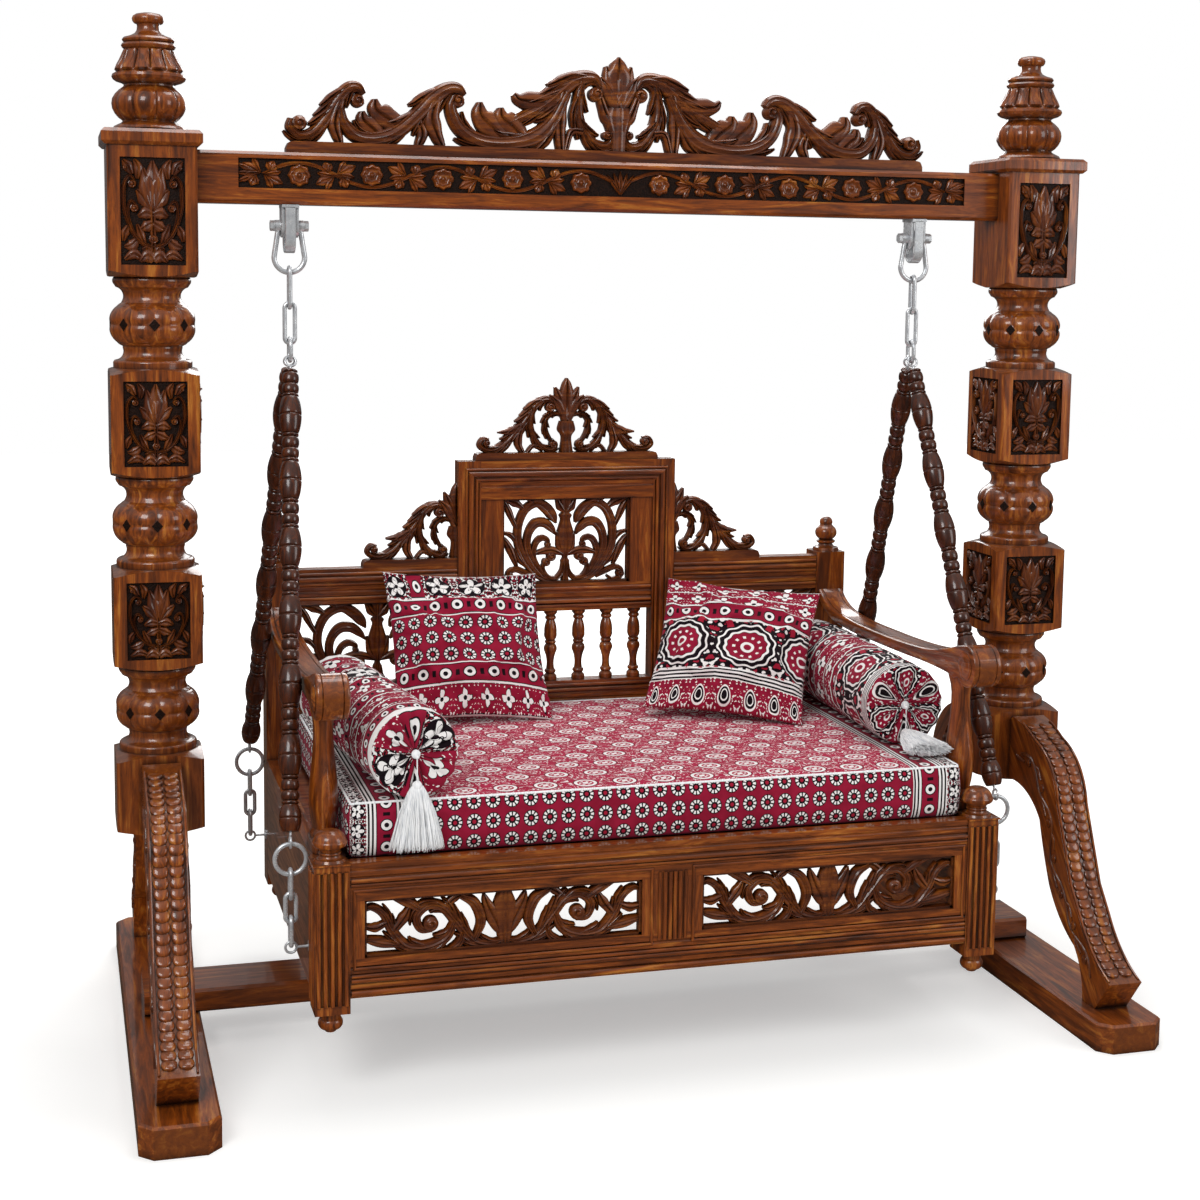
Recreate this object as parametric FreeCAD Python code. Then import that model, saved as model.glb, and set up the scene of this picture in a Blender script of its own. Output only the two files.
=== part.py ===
# Jhoola swing: a carved wooden stand whose beam carries a sofa bench on shackles, links,
# four turned rods and chains. Millimetres, +Z up, +X to the right, +Y to the back,
# origin on the ground under the middle of the beam.
import FreeCAD
import Part
import math
import os

# Clearances and helpers of the model
cut_overrun = 5.0
fit_clearance = 0.3
soft_clearance = 0.4

# Stand: feet, stretcher and braces
post_spacing = 1970.0
foot_width = 152.0
foot_length = 1220.0
foot_height = 62.0
foot_corner_chamfer = 27.0
foot_top_chamfer = 5.0
stretcher_front = -60.0
stretcher_depth = 144.0
stretcher_height = 50.0
stretcher_overhang = 39.0
stretcher_chamfer = 6.0
brace_width = 78.0
brace_reach = 477.0
brace_height = 551.0
brace_lap = 155.0

# Stand: posts, caps and finials
post_side = 176.0
post_edge_chamfer = 5.0
shoulder_height = 13.0
plain_block_height = 169.0
lower_turning_height = 176.0
third_block_height = 207.0
middle_turning_height = 188.0
second_block_height = 220.0
upper_turning_height = 184.0
top_block_height = 260.0
panel_depth = 5.0
panel_width = 126.0
panel_margin = 24.0
cap_side = 197.0
cap_height = 32.0
cap_chamfer = 7.0
finial_height = 235.0
finial_radius = 75.0

# Stand: beam and its crest
beam_depth = 64.0
beam_height = 106.0
beam_step_down = 2.0
beam_chamfer = 6.0
vine_band_length = 1624.0
vine_band_height = 60.0
vine_band_lift = 32.0
vine_band_depth = 6.0
crest_half_width = 713.0
crest_strip_height = 24.0
crest_strip_depth = 34.0
crest_strip_end = 18.0
crest_height = 200.0
crest_depth = 24.0

# Hangers
hanger_spacing = 1412.0
pivot_drop = 43.0
hanger_width = 35.0
hanger_depth = 56.0
hanger_plate = 6.0
hanger_length = 99.0
bolt_diameter = 12.0
bolt_head_height = 8.0
bolt_head_across = 19.0
washer_thickness = 2.0
washer_diameter = 22.0
roller_diameter = 36.0
shackle_wire = 11.0
shackle_bow_width = 74.0
shackle_ear_diameter = 24.0
shackle_ear_thickness = 11.5
shackle_drop = 101.0
link_wire = 9.0
upper_link_width = 30.0
upper_link_length = 92.0
junction_width = 40.0
junction_length = 55.0

# Rods and lower chains
eye_wire = 5.0
eye_radius = 11.0
eye_spread = 8.5
rod_shank = 20.0
rod_radius = 21.5
rod_barrels = 6
rod_gap_beads = 2
lower_ring_outer = 70.0
chain_link_length = 66.0
chain_link_width = 30.0
chain_links = 3
chain_reach = 37.0
chain_front = -386.0
chain_rear = 406.0
hook_drop = 185.0
hook_plate_radius = 11.0
hook_plate_thickness = 3.0

# Bench: body under the seat
bench_lift = 146.0
leg_foot_height = 43.0
leg_foot_radius = 25.0
leg_side = 69.0
leg_outer = 722.0
leg_front = -470.0
leg_height = 299.0
leg_finial_height = 61.0
leg_finial_radius = 32.0
leg_cap_flare = 3.0
flute_radius = 4.0
flute_count = 4
flute_depth = 2.5
board_thickness = 30.0
apron_setback = 2.0
bottom_rail_height = 78.0
top_rail_height = 76.0
center_stile_width = 128.0
end_stile_width = 28.0
deck_thickness = 18.0
deck_step_down = 4.0
side_face = 720.0
side_rail_height = 270.0
rear_rail_height = 188.0

# Bench: back
back_front = 384.0
back_thickness = 40.0
rear_post_side = 75.0
rear_post_setback = 4.0
rear_post_height = 751.0
rear_finial_height = 85.0
rear_finial_radius = 33.0
back_rail_bottom = 72.0
back_lower_rail_height = 83.0
baluster_height = 172.0
baluster_radius = 17.0
baluster_spacing = 70.0
baluster_count = 6
cross_rail_height = 66.0
carving_height = 207.0
carving_half_width = 158.0
carving_thickness = 20.0
carving_rim = 5.0
center_half_width = 268.0
center_stile_face = 55.0
center_top_rail_height = 92.0
side_top_rail_height = 82.0
center_crest_half_width = 225.0
center_crest_height = 177.0
center_crest_strip_height = 18.0
center_crest_strip_end = 14.0
bench_crest_depth = 20.0
reed_radius = 4.0
reed_spacing = 15.0

# Bench: arms
arm_outer = 716.0
arm_width = 64.0
arm_thickness = 25.0
arm_rear_height = 362.0
arm_sag = 50.0
drum_radius = 45.0
drum_setback = 5.0
drum_rise = 320.0
drum_groove = 2.0
drum_band = 12.0
support_thickness = 24.0
support_depth = 104.0
support_front = -398.0

# Soft pieces
mattress_half_width = 650.0
mattress_front = -432.0
mattress_rear = 370.0
mattress_height = 116.0
mattress_corner_radius = 22.0
mattress_crown_inset = 40.0
pillow_side = 372.0
pillow_thickness = 112.0
pillow_draw_in = 12.0
bolster_radius = 88.0
bolster_length = 594.0
button_radius = 9.0
button_thickness = 6.0
tassel_cord_diameter = 3.0
tassel_head_radius = 10.0
tassel_skirt_half_width = 46.0
tassel_skirt_half_depth = 13.0
tassel_length = 190.0
tassel_head_share = 0.32
left_tassel_reach = 0.0
right_tassel_reach = 128.7
left_bolster_front = (-520.0, -440.0)
left_bolster_rear = (-588.0, 150.0)
right_bolster_front = (604.0, -245.0)
right_bolster_rear = (626.1, 348.6)
left_pillow_x = -272.0
left_pillow_y = 253.0
left_pillow_yaw = 4.0
left_pillow_roll = 3.0
left_pillow_lean = 33.0
right_pillow_x = 350.0
right_pillow_y = 168.0
right_pillow_yaw = -23.0
right_pillow_roll = 5.0
right_pillow_lean = 44.0

V = FreeCAD.Vector
ORIGIN = V(0, 0, 0)
X_AXIS = V(1, 0, 0)
Y_AXIS = V(0, 1, 0)
Z_AXIS = V(0, 0, 1)

# Heights that follow from the stand's sizes
post_bottom = foot_height + brace_height - brace_lap
lower_turning_bottom = post_bottom + plain_block_height
third_block_bottom = lower_turning_bottom + lower_turning_height
middle_turning_bottom = third_block_bottom + third_block_height
second_block_bottom = middle_turning_bottom + middle_turning_height
upper_turning_bottom = second_block_bottom + second_block_height
top_block_bottom = upper_turning_bottom + upper_turning_height
post_top = top_block_bottom + top_block_height
beam_top = post_top - beam_step_down
beam_bottom = beam_top - beam_height
post_x = post_spacing / 2
post_face = post_x - post_side / 2
hanger_x = hanger_spacing / 2
pivot_height = beam_bottom - pivot_drop

# Heights and places that follow from the bench's sizes
leg_bottom = bench_lift + leg_foot_height
seat_rim = leg_bottom + leg_height
leg_inner = leg_outer - leg_side
leg_rear = leg_front + leg_side
deck_top = seat_rim - deck_step_down
rear_post_inner = side_face - rear_post_side
rear_post_front = back_front - rear_post_setback
rail_inner = side_face - board_thickness
back_rail_z = seat_rim + back_rail_bottom
baluster_z = back_rail_z + back_lower_rail_height
cross_rail_z = baluster_z + baluster_height
carving_z = cross_rail_z + cross_rail_height
center_rail_z = carving_z + carving_height
center_top = center_rail_z + center_top_rail_height
side_rail_top = baluster_z + carving_height + side_top_rail_height
back_middle = back_front + back_thickness / 2
mattress_top = deck_top + mattress_height
drum_y = leg_front - drum_setback + drum_radius
drum_z = seat_rim + drum_rise


def box(x0, x1, y0, y1, z0, z1):
    return Part.makeBox(x1 - x0, y1 - y0, z1 - z0, V(x0, y0, z0))


def mirrored(shape):
    return shape.mirror(ORIGIN, X_AXIS)


def moved(shape, x, y, z):
    return shape.translated(V(x, y, z))


def aimed(shape, start, direction):
    turned_shape = shape.copy()
    turned_shape.Placement = FreeCAD.Placement(start, FreeCAD.Rotation(Z_AXIS, direction))
    return turned_shape


def joined(shapes):
    if len(shapes) == 1:
        return shapes[0]
    return shapes[0].multiFuse(shapes[1:]).removeSplitter()


def cut_away(shape, tools):
    return shape.cut(joined(tools) if len(tools) > 1 else tools[0])


def save(name, shapes):
    shape = shapes[0] if len(shapes) == 1 else Part.makeCompound(shapes)
    shape.exportStep("parts/" + name + ".step")
    print(name, len(shape.Solids), "solids", round(shape.Volume), "mm3", shape.isValid())


# Face bounded by moves from a start: one point makes a line, two make an arc through the first.
def drawn_face(place, start, moves):
    here = place(*start)
    edges = []
    for move in moves:
        there = place(*move[-1])
        if len(move) == 2:
            edges.append(Part.Arc(here, place(*move[0]), there).toShape())
        else:
            edges.append(Part.makeLine(here, there))
        here = there
    return Part.Face(Part.Wire(edges))


# Turned piece along +Z: each step is a share of the length, of the radius, and a bulge.
def turned(length, radius, start_share, steps):
    here = V(radius * start_share, 0, 0)
    edges = [Part.makeLine(ORIGIN, here)]
    for length_share, radius_share, bulge_share in steps:
        there = V(radius * radius_share, 0, here.z + length * length_share)
        if bulge_share:
            chord = there - here
            middle = (here + there) * 0.5 + V(chord.z, 0, -chord.x) * bulge_share
            edges.append(Part.Arc(here, middle, there).toShape())
        else:
            edges.append(Part.makeLine(here, there))
        here = there
    foot = V(0, 0, here.z)
    if here.x > 0:
        edges.append(Part.makeLine(here, foot))
    edges.append(Part.makeLine(foot, ORIGIN))
    return Part.Face(Part.Wire(edges)).revolve(ORIGIN, Z_AXIS, 360)


# Scroll or leaf of carving: a smooth band through points given as shares of the panel.
def scroll_face(points, width, height):
    spots = [V(x_share * width, 0, z_share * height) for x_share, z_share, band_share in points]
    left = []
    right = []
    for index, spot in enumerate(spots):
        before = spots[max(index - 1, 0)]
        after = spots[min(index + 1, len(spots) - 1)]
        along = (after - before).normalize()
        across = V(-along.z, 0, along.x) * (points[index][2] * height / 2)
        left.append(spot + across)
        right.append(spot - across)
    left_curve = Part.BSplineCurve()
    left_curve.interpolate(left)
    right_curve = Part.BSplineCurve()
    right_curve.interpolate(right[::-1])
    end = Part.makeLine(left[-1], right[-1])
    start = Part.makeLine(right[0], left[0])
    return Part.Face(Part.Wire([left_curve.toShape(), end, right_curve.toShape(), start]))


def scroll(points, width, height, depth):
    face = scroll_face(points, width, height)
    return face.translated(V(0, -depth / 2, 0)).extrude(V(0, depth, 0))


# Round boss of carving, its place and radius as shares of the panel.
def boss(place_shares, width, height, depth):
    x_share, z_share, radius_share = place_shares
    spot = V(x_share * width, -depth / 2, z_share * height)
    return Part.makeCylinder(radius_share * height, depth, spot, Y_AXIS)


# Ring of wire with straight sides in the XZ plane, centred on the origin.
def wire_link(length, width, wire):
    bend = width / 2 - wire / 2
    rise = length / 2 - width / 2
    path = []
    top = V(0, 0, rise + bend)
    bottom = V(0, 0, -rise - bend)
    path.append(Part.Arc(V(bend, 0, rise), top, V(-bend, 0, rise)).toShape())
    if rise > 0:
        path.append(Part.makeLine(V(-bend, 0, rise), V(-bend, 0, -rise)))
    path.append(Part.Arc(V(-bend, 0, -rise), bottom, V(bend, 0, -rise)).toShape())
    if rise > 0:
        path.append(Part.makeLine(V(bend, 0, -rise), V(bend, 0, rise)))
    section = Part.Wire(Part.makeCircle(wire / 2, V(bend, 0, rise), Z_AXIS))
    return Part.Wire(path).makePipeShell([section], True, False)


def quarter_turned(shape):
    return shape.rotated(ORIGIN, Z_AXIS, 90)


def chamfered_upright(shape, size):
    edges = [edge for edge in shape.Edges if abs(edge.tangentAt(edge.FirstParameter).z) > 0.99]
    return shape.makeChamfer(size, edges)


def chamfered_along_x(shape, size):
    edges = [edge for edge in shape.Edges if abs(edge.tangentAt(edge.FirstParameter).x) > 0.99]
    return shape.makeChamfer(size, edges)


def make_foot():
    half = foot_width / 2
    reach = foot_length / 2
    foot = chamfered_upright(box(-half, half, -reach, reach, 0, foot_height), foot_corner_chamfer)
    top_edges = [edge for edge in foot.Edges if edge.BoundBox.ZMin > foot_height / 2]
    return moved(foot.makeChamfer(foot_top_chamfer, top_edges), post_x, 0, 0)


def make_stretcher():
    reach = post_x + stretcher_overhang
    back = stretcher_front + stretcher_depth
    top = foot_height + stretcher_height
    bar = box(-reach, reach, stretcher_front, back, foot_height, top)
    return chamfered_along_x(bar, stretcher_chamfer)


# Curved brace outline: shares of its reach from the post's face and of its height.
brace_start_shares = (0.774, 0.0)
brace_moves_shares = [
    [(0.885, 0.0)],
    [(1.0, 0.131)],
    [(0.83, 0.212), (0.719, 0.318)],
    [(0.623, 0.426)],
    [(0.539, 0.595), (0.476, 0.724)],
    [(0.385, 0.87), (0.235, 0.94)],
    [(0.11, 0.985), (0.03, 1.0)],
    [(0.0, 0.985)],
    [(0.0, 0.73)],
    [(0.2, 0.706), (0.321, 0.626)],
    [(0.377, 0.492), (0.434, 0.383)],
    [(0.539, 0.276), (0.683, 0.196)],
    [(0.752, 0.105), (0.774, 0.0)],
]


def make_brace(side):
    def place(out_share, up_share):
        out = post_side / 2 + out_share * brace_reach
        return V(post_x - brace_width / 2, side * out, foot_height + up_share * brace_height)

    face = drawn_face(place, brace_start_shares, brace_moves_shares)
    return face.extrude(V(brace_width, 0, 0))


# Turned stretch between two blocks of a post, upwards from the scalloped plate.
post_turning_shares = [
    (0.05, 0.90, 0.0),
    (0.04, 0.84, 0.2),
    (0.13, 0.68, -0.25),
    (0.02, 0.68, 0.0),
    (0.02, 0.76, 0.0),
    (0.44, 0.76, 0.22),
    (0.02, 0.70, 0.0),
    (0.02, 0.68, 0.0),
    (0.15, 0.82, -0.25),
    (0.03, 0.86, 0.0),
    (0.08, 0.86, 0.2),
]


def make_post():
    half = post_side / 2
    wide_share = math.sqrt(2.0)
    heights = [plain_block_height, third_block_height, second_block_height, top_block_height]
    turnings = [lower_turning_height, middle_turning_height, upper_turning_height]
    total = post_top - post_bottom
    shoulder_share = shoulder_height / total
    steps = []
    for index, height in enumerate(heights):
        steps.append((shoulder_share, wide_share, 0.0))
        steps.append((height / total - 2 * shoulder_share, wide_share, 0.0))
        if index < len(turnings):
            steps.append((shoulder_share, 0.96, 0.0))
            reach = turnings[index] / total
            steps.append((0.0, 0.90, 0.0))
            steps += [(share * reach, radius, bulge) for share, radius, bulge in post_turning_shares]
            steps.append((0.0, 0.96, 0.0))
        else:
            steps.append((shoulder_share, wide_share, 0.0))
    round_post = turned(total, half, 0.96, steps)
    square = chamfered_upright(box(-half, half, -half, half, 0, total), post_edge_chamfer)
    post = square.common(round_post)
    cuts = []
    levels = [third_block_bottom, second_block_bottom, top_block_bottom]
    for level, height in zip(levels, heights[1:]):
        low = level - post_bottom + panel_margin
        high = level - post_bottom + height - panel_margin
        outside = -half - cut_overrun
        inside = -half + panel_depth
        reach = panel_width / 2
        cuts.append(box(-reach, reach, outside, inside, low, high))
        if level < top_block_bottom:
            cuts.append(box(outside, inside, -reach, reach, low, high))
    return moved(cut_away(post, cuts), post_x, 0, post_bottom)


def make_cap():
    half = cap_side / 2
    cap = box(-half, half, -half, half, 0, cap_height)
    level_edges = [edge for edge in cap.Edges if abs(edge.tangentAt(edge.FirstParameter).z) < 0.01]
    return moved(cap.makeChamfer(cap_chamfer, level_edges), post_x, 0, post_top)


finial_shares = [
    (0.07, 0.78, -0.2),
    (0.01, 0.72, 0.0),
    (0.30, 0.72, 0.20),
    (0.015, 0.76, 0.0),
    (0.15, 0.76, 0.35),
    (0.015, 0.90, 0.0),
    (0.12, 0.66, -0.1),
    (0.065, 0.62, 0.35),
    (0.065, 0.60, 0.35),
    (0.10, 0.28, -0.2),
    (0.07, 0.22, 0.45),
    (0.02, 0.05, 0.15),
]


def make_finial():
    finial = turned(finial_height, finial_radius, 0.95, finial_shares)
    return moved(finial, post_x, 0, post_top + cap_height)


def make_beam():
    half = beam_depth / 2
    beam = chamfered_along_x(box(-post_face, post_face, -half, half, beam_bottom, beam_top), beam_chamfer)
    reach = vine_band_length / 2
    low = beam_bottom + vine_band_lift
    band = box(-reach, reach, -half - cut_overrun, -half + vine_band_depth, low, low + vine_band_height)
    return beam.cut(band)


# Strip of wood with ogee ends that carries a crest.
def crest_strip(half_width, height, end, depth):
    def place(x, z):
        return V(x, -depth / 2, z)

    shoulder = half_width - end
    lift = height * 0.4
    moves = [
        [(half_width, 0)],
        [(half_width, lift)],
        [(half_width - end * 0.3, height - lift * 0.3), (shoulder, height)],
        [(-shoulder, height)],
        [(-half_width + end * 0.3, height - lift * 0.3), (-half_width, lift)],
        [(-half_width, 0)],
    ]
    return drawn_face(place, (-half_width, 0), moves).extrude(V(0, depth, 0))


# Right half of the beam's crest, as shares of its half width and of its height.
crest_scrolls_shares = [
    [(0.056, 0.66, 0.05), (0.073, 0.755, 0.08), (0.101, 0.77, 0.10), (0.14, 0.73, 0.11),
     (0.182, 0.61, 0.11), (0.231, 0.46, 0.10), (0.287, 0.35, 0.08), (0.337, 0.27, 0.06)],
    [(0.195, 0.52, 0.10), (0.255, 0.52, 0.09), (0.317, 0.54, 0.02)],
    [(0.16, 0.60, 0.06), (0.205, 0.30, 0.10), (0.262, 0.12, 0.12), (0.345, 0.05, 0.10),
     (0.43, 0.07, 0.10), (0.49, 0.20, 0.09), (0.515, 0.40, 0.08), (0.505, 0.52, 0.06)],
    [(0.345, 0.06, 0.10), (0.395, 0.19, 0.11), (0.422, 0.45, 0.02)],
    [(0.292, 0.10, 0.09), (0.335, 0.24, 0.10), (0.367, 0.40, 0.02)],
    [(0.475, 0.53, 0.05), (0.494, 0.595, 0.08), (0.526, 0.59, 0.09), (0.568, 0.49, 0.11),
     (0.617, 0.31, 0.10), (0.673, 0.14, 0.10), (0.73, 0.06, 0.10), (0.79, 0.07, 0.09),
     (0.83, 0.20, 0.08), (0.842, 0.36, 0.06)],
    [(0.66, 0.17, 0.10), (0.708, 0.27, 0.10), (0.735, 0.445, 0.02)],
    [(0.72, 0.06, 0.08), (0.752, 0.18, 0.08), (0.772, 0.31, 0.02)],
    [(0.556, 0.52, 0.07), (0.572, 0.30, 0.11), (0.558, 0.12, 0.09), (0.54, -0.01, 0.05)],
    [(0.62, 0.30, 0.06), (0.60, 0.13, 0.08), (0.612, -0.01, 0.05)],
    [(0.774, 0.50, 0.05), (0.79, 0.57, 0.07), (0.818, 0.56, 0.08), (0.85, 0.43, 0.09),
     (0.884, 0.24, 0.09), (0.919, 0.10, 0.08), (0.959, 0.06, 0.07), (0.986, 0.14, 0.06),
     (0.982, 0.23, 0.05)],
    [(0.84, 0.44, 0.06), (0.858, 0.20, 0.09), (0.842, -0.01, 0.05)],
    [(0.115, 0.72, 0.06), (0.126, 0.50, 0.08), (0.119, 0.30, 0.08), (0.084, 0.10, 0.08),
     (0.042, 0.05, 0.07), (0.020, 0.11, 0.06), (0.031, 0.18, 0.05)],
    [(0.17, 0.62, 0.06), (0.182, 0.30, 0.09), (0.178, -0.01, 0.06)],
    [(0.112, 0.20, 0.05), (0.147, 0.19, 0.05), (0.165, -0.01, 0.04)],
]
crest_bosses_shares = [
    (0.070, 0.60, 0.070),
    (0.494, 0.48, 0.070),
    (0.79, 0.44, 0.065),
    (0.96, 0.19, 0.07),
    (0.034, 0.17, 0.045),
]
crest_palmette_shares = [
    [(0.0, 0.40, 0.10), (0.0, 0.70, 0.20), (0.0, 0.90, 0.13), (0.0, 1.0, 0.02)],
    [(0.0, 0.45, 0.10), (0.022, 0.72, 0.14), (0.040, 0.90, 0.02)],
    [(0.0, 0.45, 0.10), (0.034, 0.66, 0.12), (0.058, 0.78, 0.02)],
    [(0.0, -0.01, 0.12), (0.0, 0.20, 0.14), (0.0, 0.35, 0.20), (0.0, 0.46, 0.16)],
    [(0.0, 0.30, 0.08), (0.035, 0.36, 0.08), (0.064, 0.62, 0.04)],
]


# Both halves of a crest or pierced panel, one solid with what carries it.
def mirrored_carving(carrier, scrolls, bosses, middle, width, height, depth):
    halves = [scroll(points, width, height, depth) for points in scrolls]
    halves += [boss(place, width, height, depth) for place in bosses]
    center = [scroll(points, width, height, depth) for points in middle]
    half = joined(halves + center)
    return joined([carrier, half, mirrored(half)])


def make_beam_crest():
    strip = crest_strip(crest_half_width, crest_strip_height, crest_strip_end, crest_strip_depth)
    carrier = moved(strip, 0, 0, -crest_strip_height)
    crest = mirrored_carving(carrier, crest_scrolls_shares, crest_bosses_shares,
                             crest_palmette_shares, crest_half_width, crest_height, crest_depth)
    return moved(crest, 0, 0, beam_top + crest_strip_height)


# Inverted U strap under the beam, its two cheeks rounded below the bolt.
def make_hanger():
    half = hanger_width / 2
    deep = hanger_depth / 2
    middle_z = beam_bottom - hanger_length + deep

    def place(y, z):
        return V(hanger_x - half, y, z)

    moves = [[(deep, beam_bottom)], [(deep, middle_z)],
             [(0, middle_z - deep), (-deep, middle_z)], [(-deep, beam_bottom)]]
    block = drawn_face(place, (-deep, beam_bottom), moves).extrude(V(hanger_width, 0, 0))
    slot_half = half - hanger_plate
    low = beam_bottom - hanger_length - cut_overrun
    slot = box(hanger_x - slot_half, hanger_x + slot_half, -deep - cut_overrun, deep + cut_overrun,
               low, beam_bottom - hanger_plate)
    bore = Part.makeCylinder(bolt_diameter / 2 + fit_clearance, hanger_width + 2 * cut_overrun,
                             V(hanger_x - half - cut_overrun, 0, pivot_height), X_AXIS)
    return cut_away(block, [slot, bore])


def make_roller():
    width = hanger_width - 2 * hanger_plate - 2 * fit_clearance
    start = V(hanger_x - width / 2, 0, pivot_height)
    roller = Part.makeCylinder(roller_diameter / 2, width, start, X_AXIS)
    bore = Part.makeCylinder(bolt_diameter / 2 + fit_clearance, width + 2 * cut_overrun,
                             start - X_AXIS * cut_overrun, X_AXIS)
    return roller.cut(bore)


def hexagon(across, height, start):
    radius = across / math.sqrt(3.0)
    corners = [V(radius * math.cos(math.radians(60 * k)), radius * math.sin(math.radians(60 * k)), 0)
               for k in range(6)]
    prism = Part.Face(Part.makePolygon(corners + corners[:1])).extrude(V(0, 0, height))
    return aimed(prism, start, X_AXIS)


# Pivot bolt with a head, a nut and two washers, joined as the fastened set.
def make_pivot_bolt():
    ear_face = hanger_width / 2 + fit_clearance + shackle_ear_thickness + fit_clearance
    washer_face = ear_face + washer_thickness
    half = washer_face + bolt_head_height
    shank = Part.makeCylinder(bolt_diameter / 2, 2 * half, V(hanger_x - half, 0, pivot_height), X_AXIS)
    pieces = [shank]
    for x in (hanger_x - washer_face, hanger_x + ear_face):
        pieces.append(Part.makeCylinder(washer_diameter / 2, washer_thickness, V(x, 0, pivot_height), X_AXIS))
    for x in (hanger_x - half, hanger_x + washer_face):
        pieces.append(hexagon(bolt_head_across, bolt_head_height, V(x, 0, pivot_height)))
    return joined(pieces)


def wire_between(start, end, wire):
    along = end - start
    return Part.makeCylinder(wire / 2, along.Length, start, along)


# Bow shackle in the XZ plane: two ears on the bolt and a round bow below.
def make_shackle():
    ear_x = hanger_width / 2 + fit_clearance + shackle_ear_thickness / 2
    bow_radius = (shackle_bow_width - shackle_wire) / 2
    bow_z = -shackle_drop + shackle_wire / 2 + bow_radius
    section = Part.Wire(Part.makeCircle(shackle_wire / 2, V(bow_radius, 0, bow_z), Z_AXIS))
    half_turn = Part.Face(section).revolve(V(0, 0, bow_z), Y_AXIS, 180)
    pieces = [half_turn]
    bores = []
    for side in (-1, 1):
        shoulder = V(side * ear_x, 0, -shackle_ear_diameter / 2)
        bend = V(side * bow_radius, 0, bow_z)
        pieces.append(wire_between(V(side * ear_x, 0, 0), shoulder, shackle_wire))
        pieces.append(wire_between(shoulder, bend, shackle_wire))
        pieces.append(Part.makeSphere(shackle_wire / 2, shoulder))
        pieces.append(Part.makeSphere(shackle_wire / 2, bend))
        face = V(side * ear_x - shackle_ear_thickness / 2, 0, 0)
        pieces.append(Part.makeCylinder(shackle_ear_diameter / 2, shackle_ear_thickness, face, X_AXIS))
        bore_length = shackle_ear_thickness + 2 * cut_overrun
        bore_start = face - X_AXIS * cut_overrun
        bores.append(Part.makeCylinder(bolt_diameter / 2 + fit_clearance, bore_length, bore_start, X_AXIS))
    return moved(cut_away(joined(pieces), bores), hanger_x, 0, pivot_height)


# The wire middles down the hanger, each link resting in the one above.
hang_step = link_wire + fit_clearance
shackle_low = pivot_height - shackle_drop + shackle_wire / 2
first_link_top = shackle_low + (shackle_wire + link_wire) / 2 + fit_clearance
first_link_low = first_link_top - (upper_link_length - link_wire)
second_link_top = first_link_low + hang_step
second_link_low = second_link_top - (upper_link_length - link_wire)
junction_top = second_link_low + hang_step
junction_low = junction_top - (junction_length - link_wire)
rock_height = second_link_low


def make_upper_links():
    first = quarter_turned(wire_link(upper_link_length, upper_link_width, link_wire))
    second = wire_link(upper_link_length, upper_link_width, link_wire)
    return [moved(first, hanger_x, 0, (first_link_top + first_link_low) / 2),
            moved(second, hanger_x, 0, (second_link_top + second_link_low) / 2)]


def make_junction_ring():
    ring = quarter_turned(wire_link(junction_length, junction_width, link_wire))
    return moved(ring, hanger_x, 0, (junction_top + junction_low) / 2)


# Lower chain heights, from the hook on the bench up to the rod's end.
link_pitch = chain_link_length - link_wire
hook_wire_z = seat_rim - hook_drop + eye_radius
last_link_low = hook_wire_z - (link_wire + eye_wire) / 2 - fit_clearance
ring_low = last_link_low + chain_links * link_pitch - (chain_links - 1) * hang_step - hang_step
ring_top = ring_low + lower_ring_outer - link_wire
eye_drop = eye_radius - (link_wire + eye_wire) / 2 - fit_clearance
chain_x = side_face + chain_reach


# Where a rod's axis runs: from the junction ring's bend to the eye over the lower ring.
def rod_line(side):
    bend_radius = (junction_width - link_wire) / 2
    bend_z = junction_low + bend_radius
    drop = math.sqrt(bend_radius ** 2 - eye_spread ** 2)
    upper = V(hanger_x, side * eye_spread, bend_z - drop)
    chain_y = chain_front if side < 0 else chain_rear
    lower = V(chain_x, chain_y, ring_top + eye_drop)
    direction = (lower - upper).normalize()
    first_eye = upper + direction * eye_drop
    start = first_eye + direction * rod_shank
    end = lower - direction * rod_shank
    return first_eye, start, end, lower, direction


rod_head_shares = [
    (0.010, 0.60, 0.0),
    (0.004, 0.46, 0.0),
    (0.014, 0.46, 0.45),
    (0.014, 0.46, 0.45),
]
rod_bead_share = 0.0150
rod_cup_shares = [
    (0.004, 0.52, 0.0),
    (0.040, 0.98, -0.12),
    (0.012, 0.98, 0.2),
    (0.012, 0.66, 0.0),
]


# Rod profile: a flange, then barrels with a groove at the middle and beads between them.
def rod_steps():
    steps = list(rod_head_shares)
    used = sum(step[0] for step in rod_head_shares) + sum(step[0] for step in rod_cup_shares)
    bead_run = rod_gap_beads * rod_bead_share
    barrel = (1 - used) / rod_barrels - bead_run - 0.016
    for index in range(rod_barrels):
        steps += [(0.004, 0.62, 0.0), (barrel * 0.46, 1.0, 0.09), (0.002, 0.95, 0.0),
                  (0.002, 1.0, 0.0), (barrel * 0.46, 0.62, 0.09), (0.004, 0.62, 0.0)]
        steps += [(rod_bead_share, 0.55, 0.42)] * rod_gap_beads
        steps += [(barrel * 0.04, 0.58, 0.0), (barrel * 0.04, 0.58, 0.0), (0.004, 0.58, 0.0)]
    return steps + rod_cup_shares


def make_rod(side):
    first_eye, start, end, lower, direction = rod_line(side)
    return aimed(turned((end - start).Length, rod_radius, 0.60, rod_steps()), start, direction)


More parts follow.
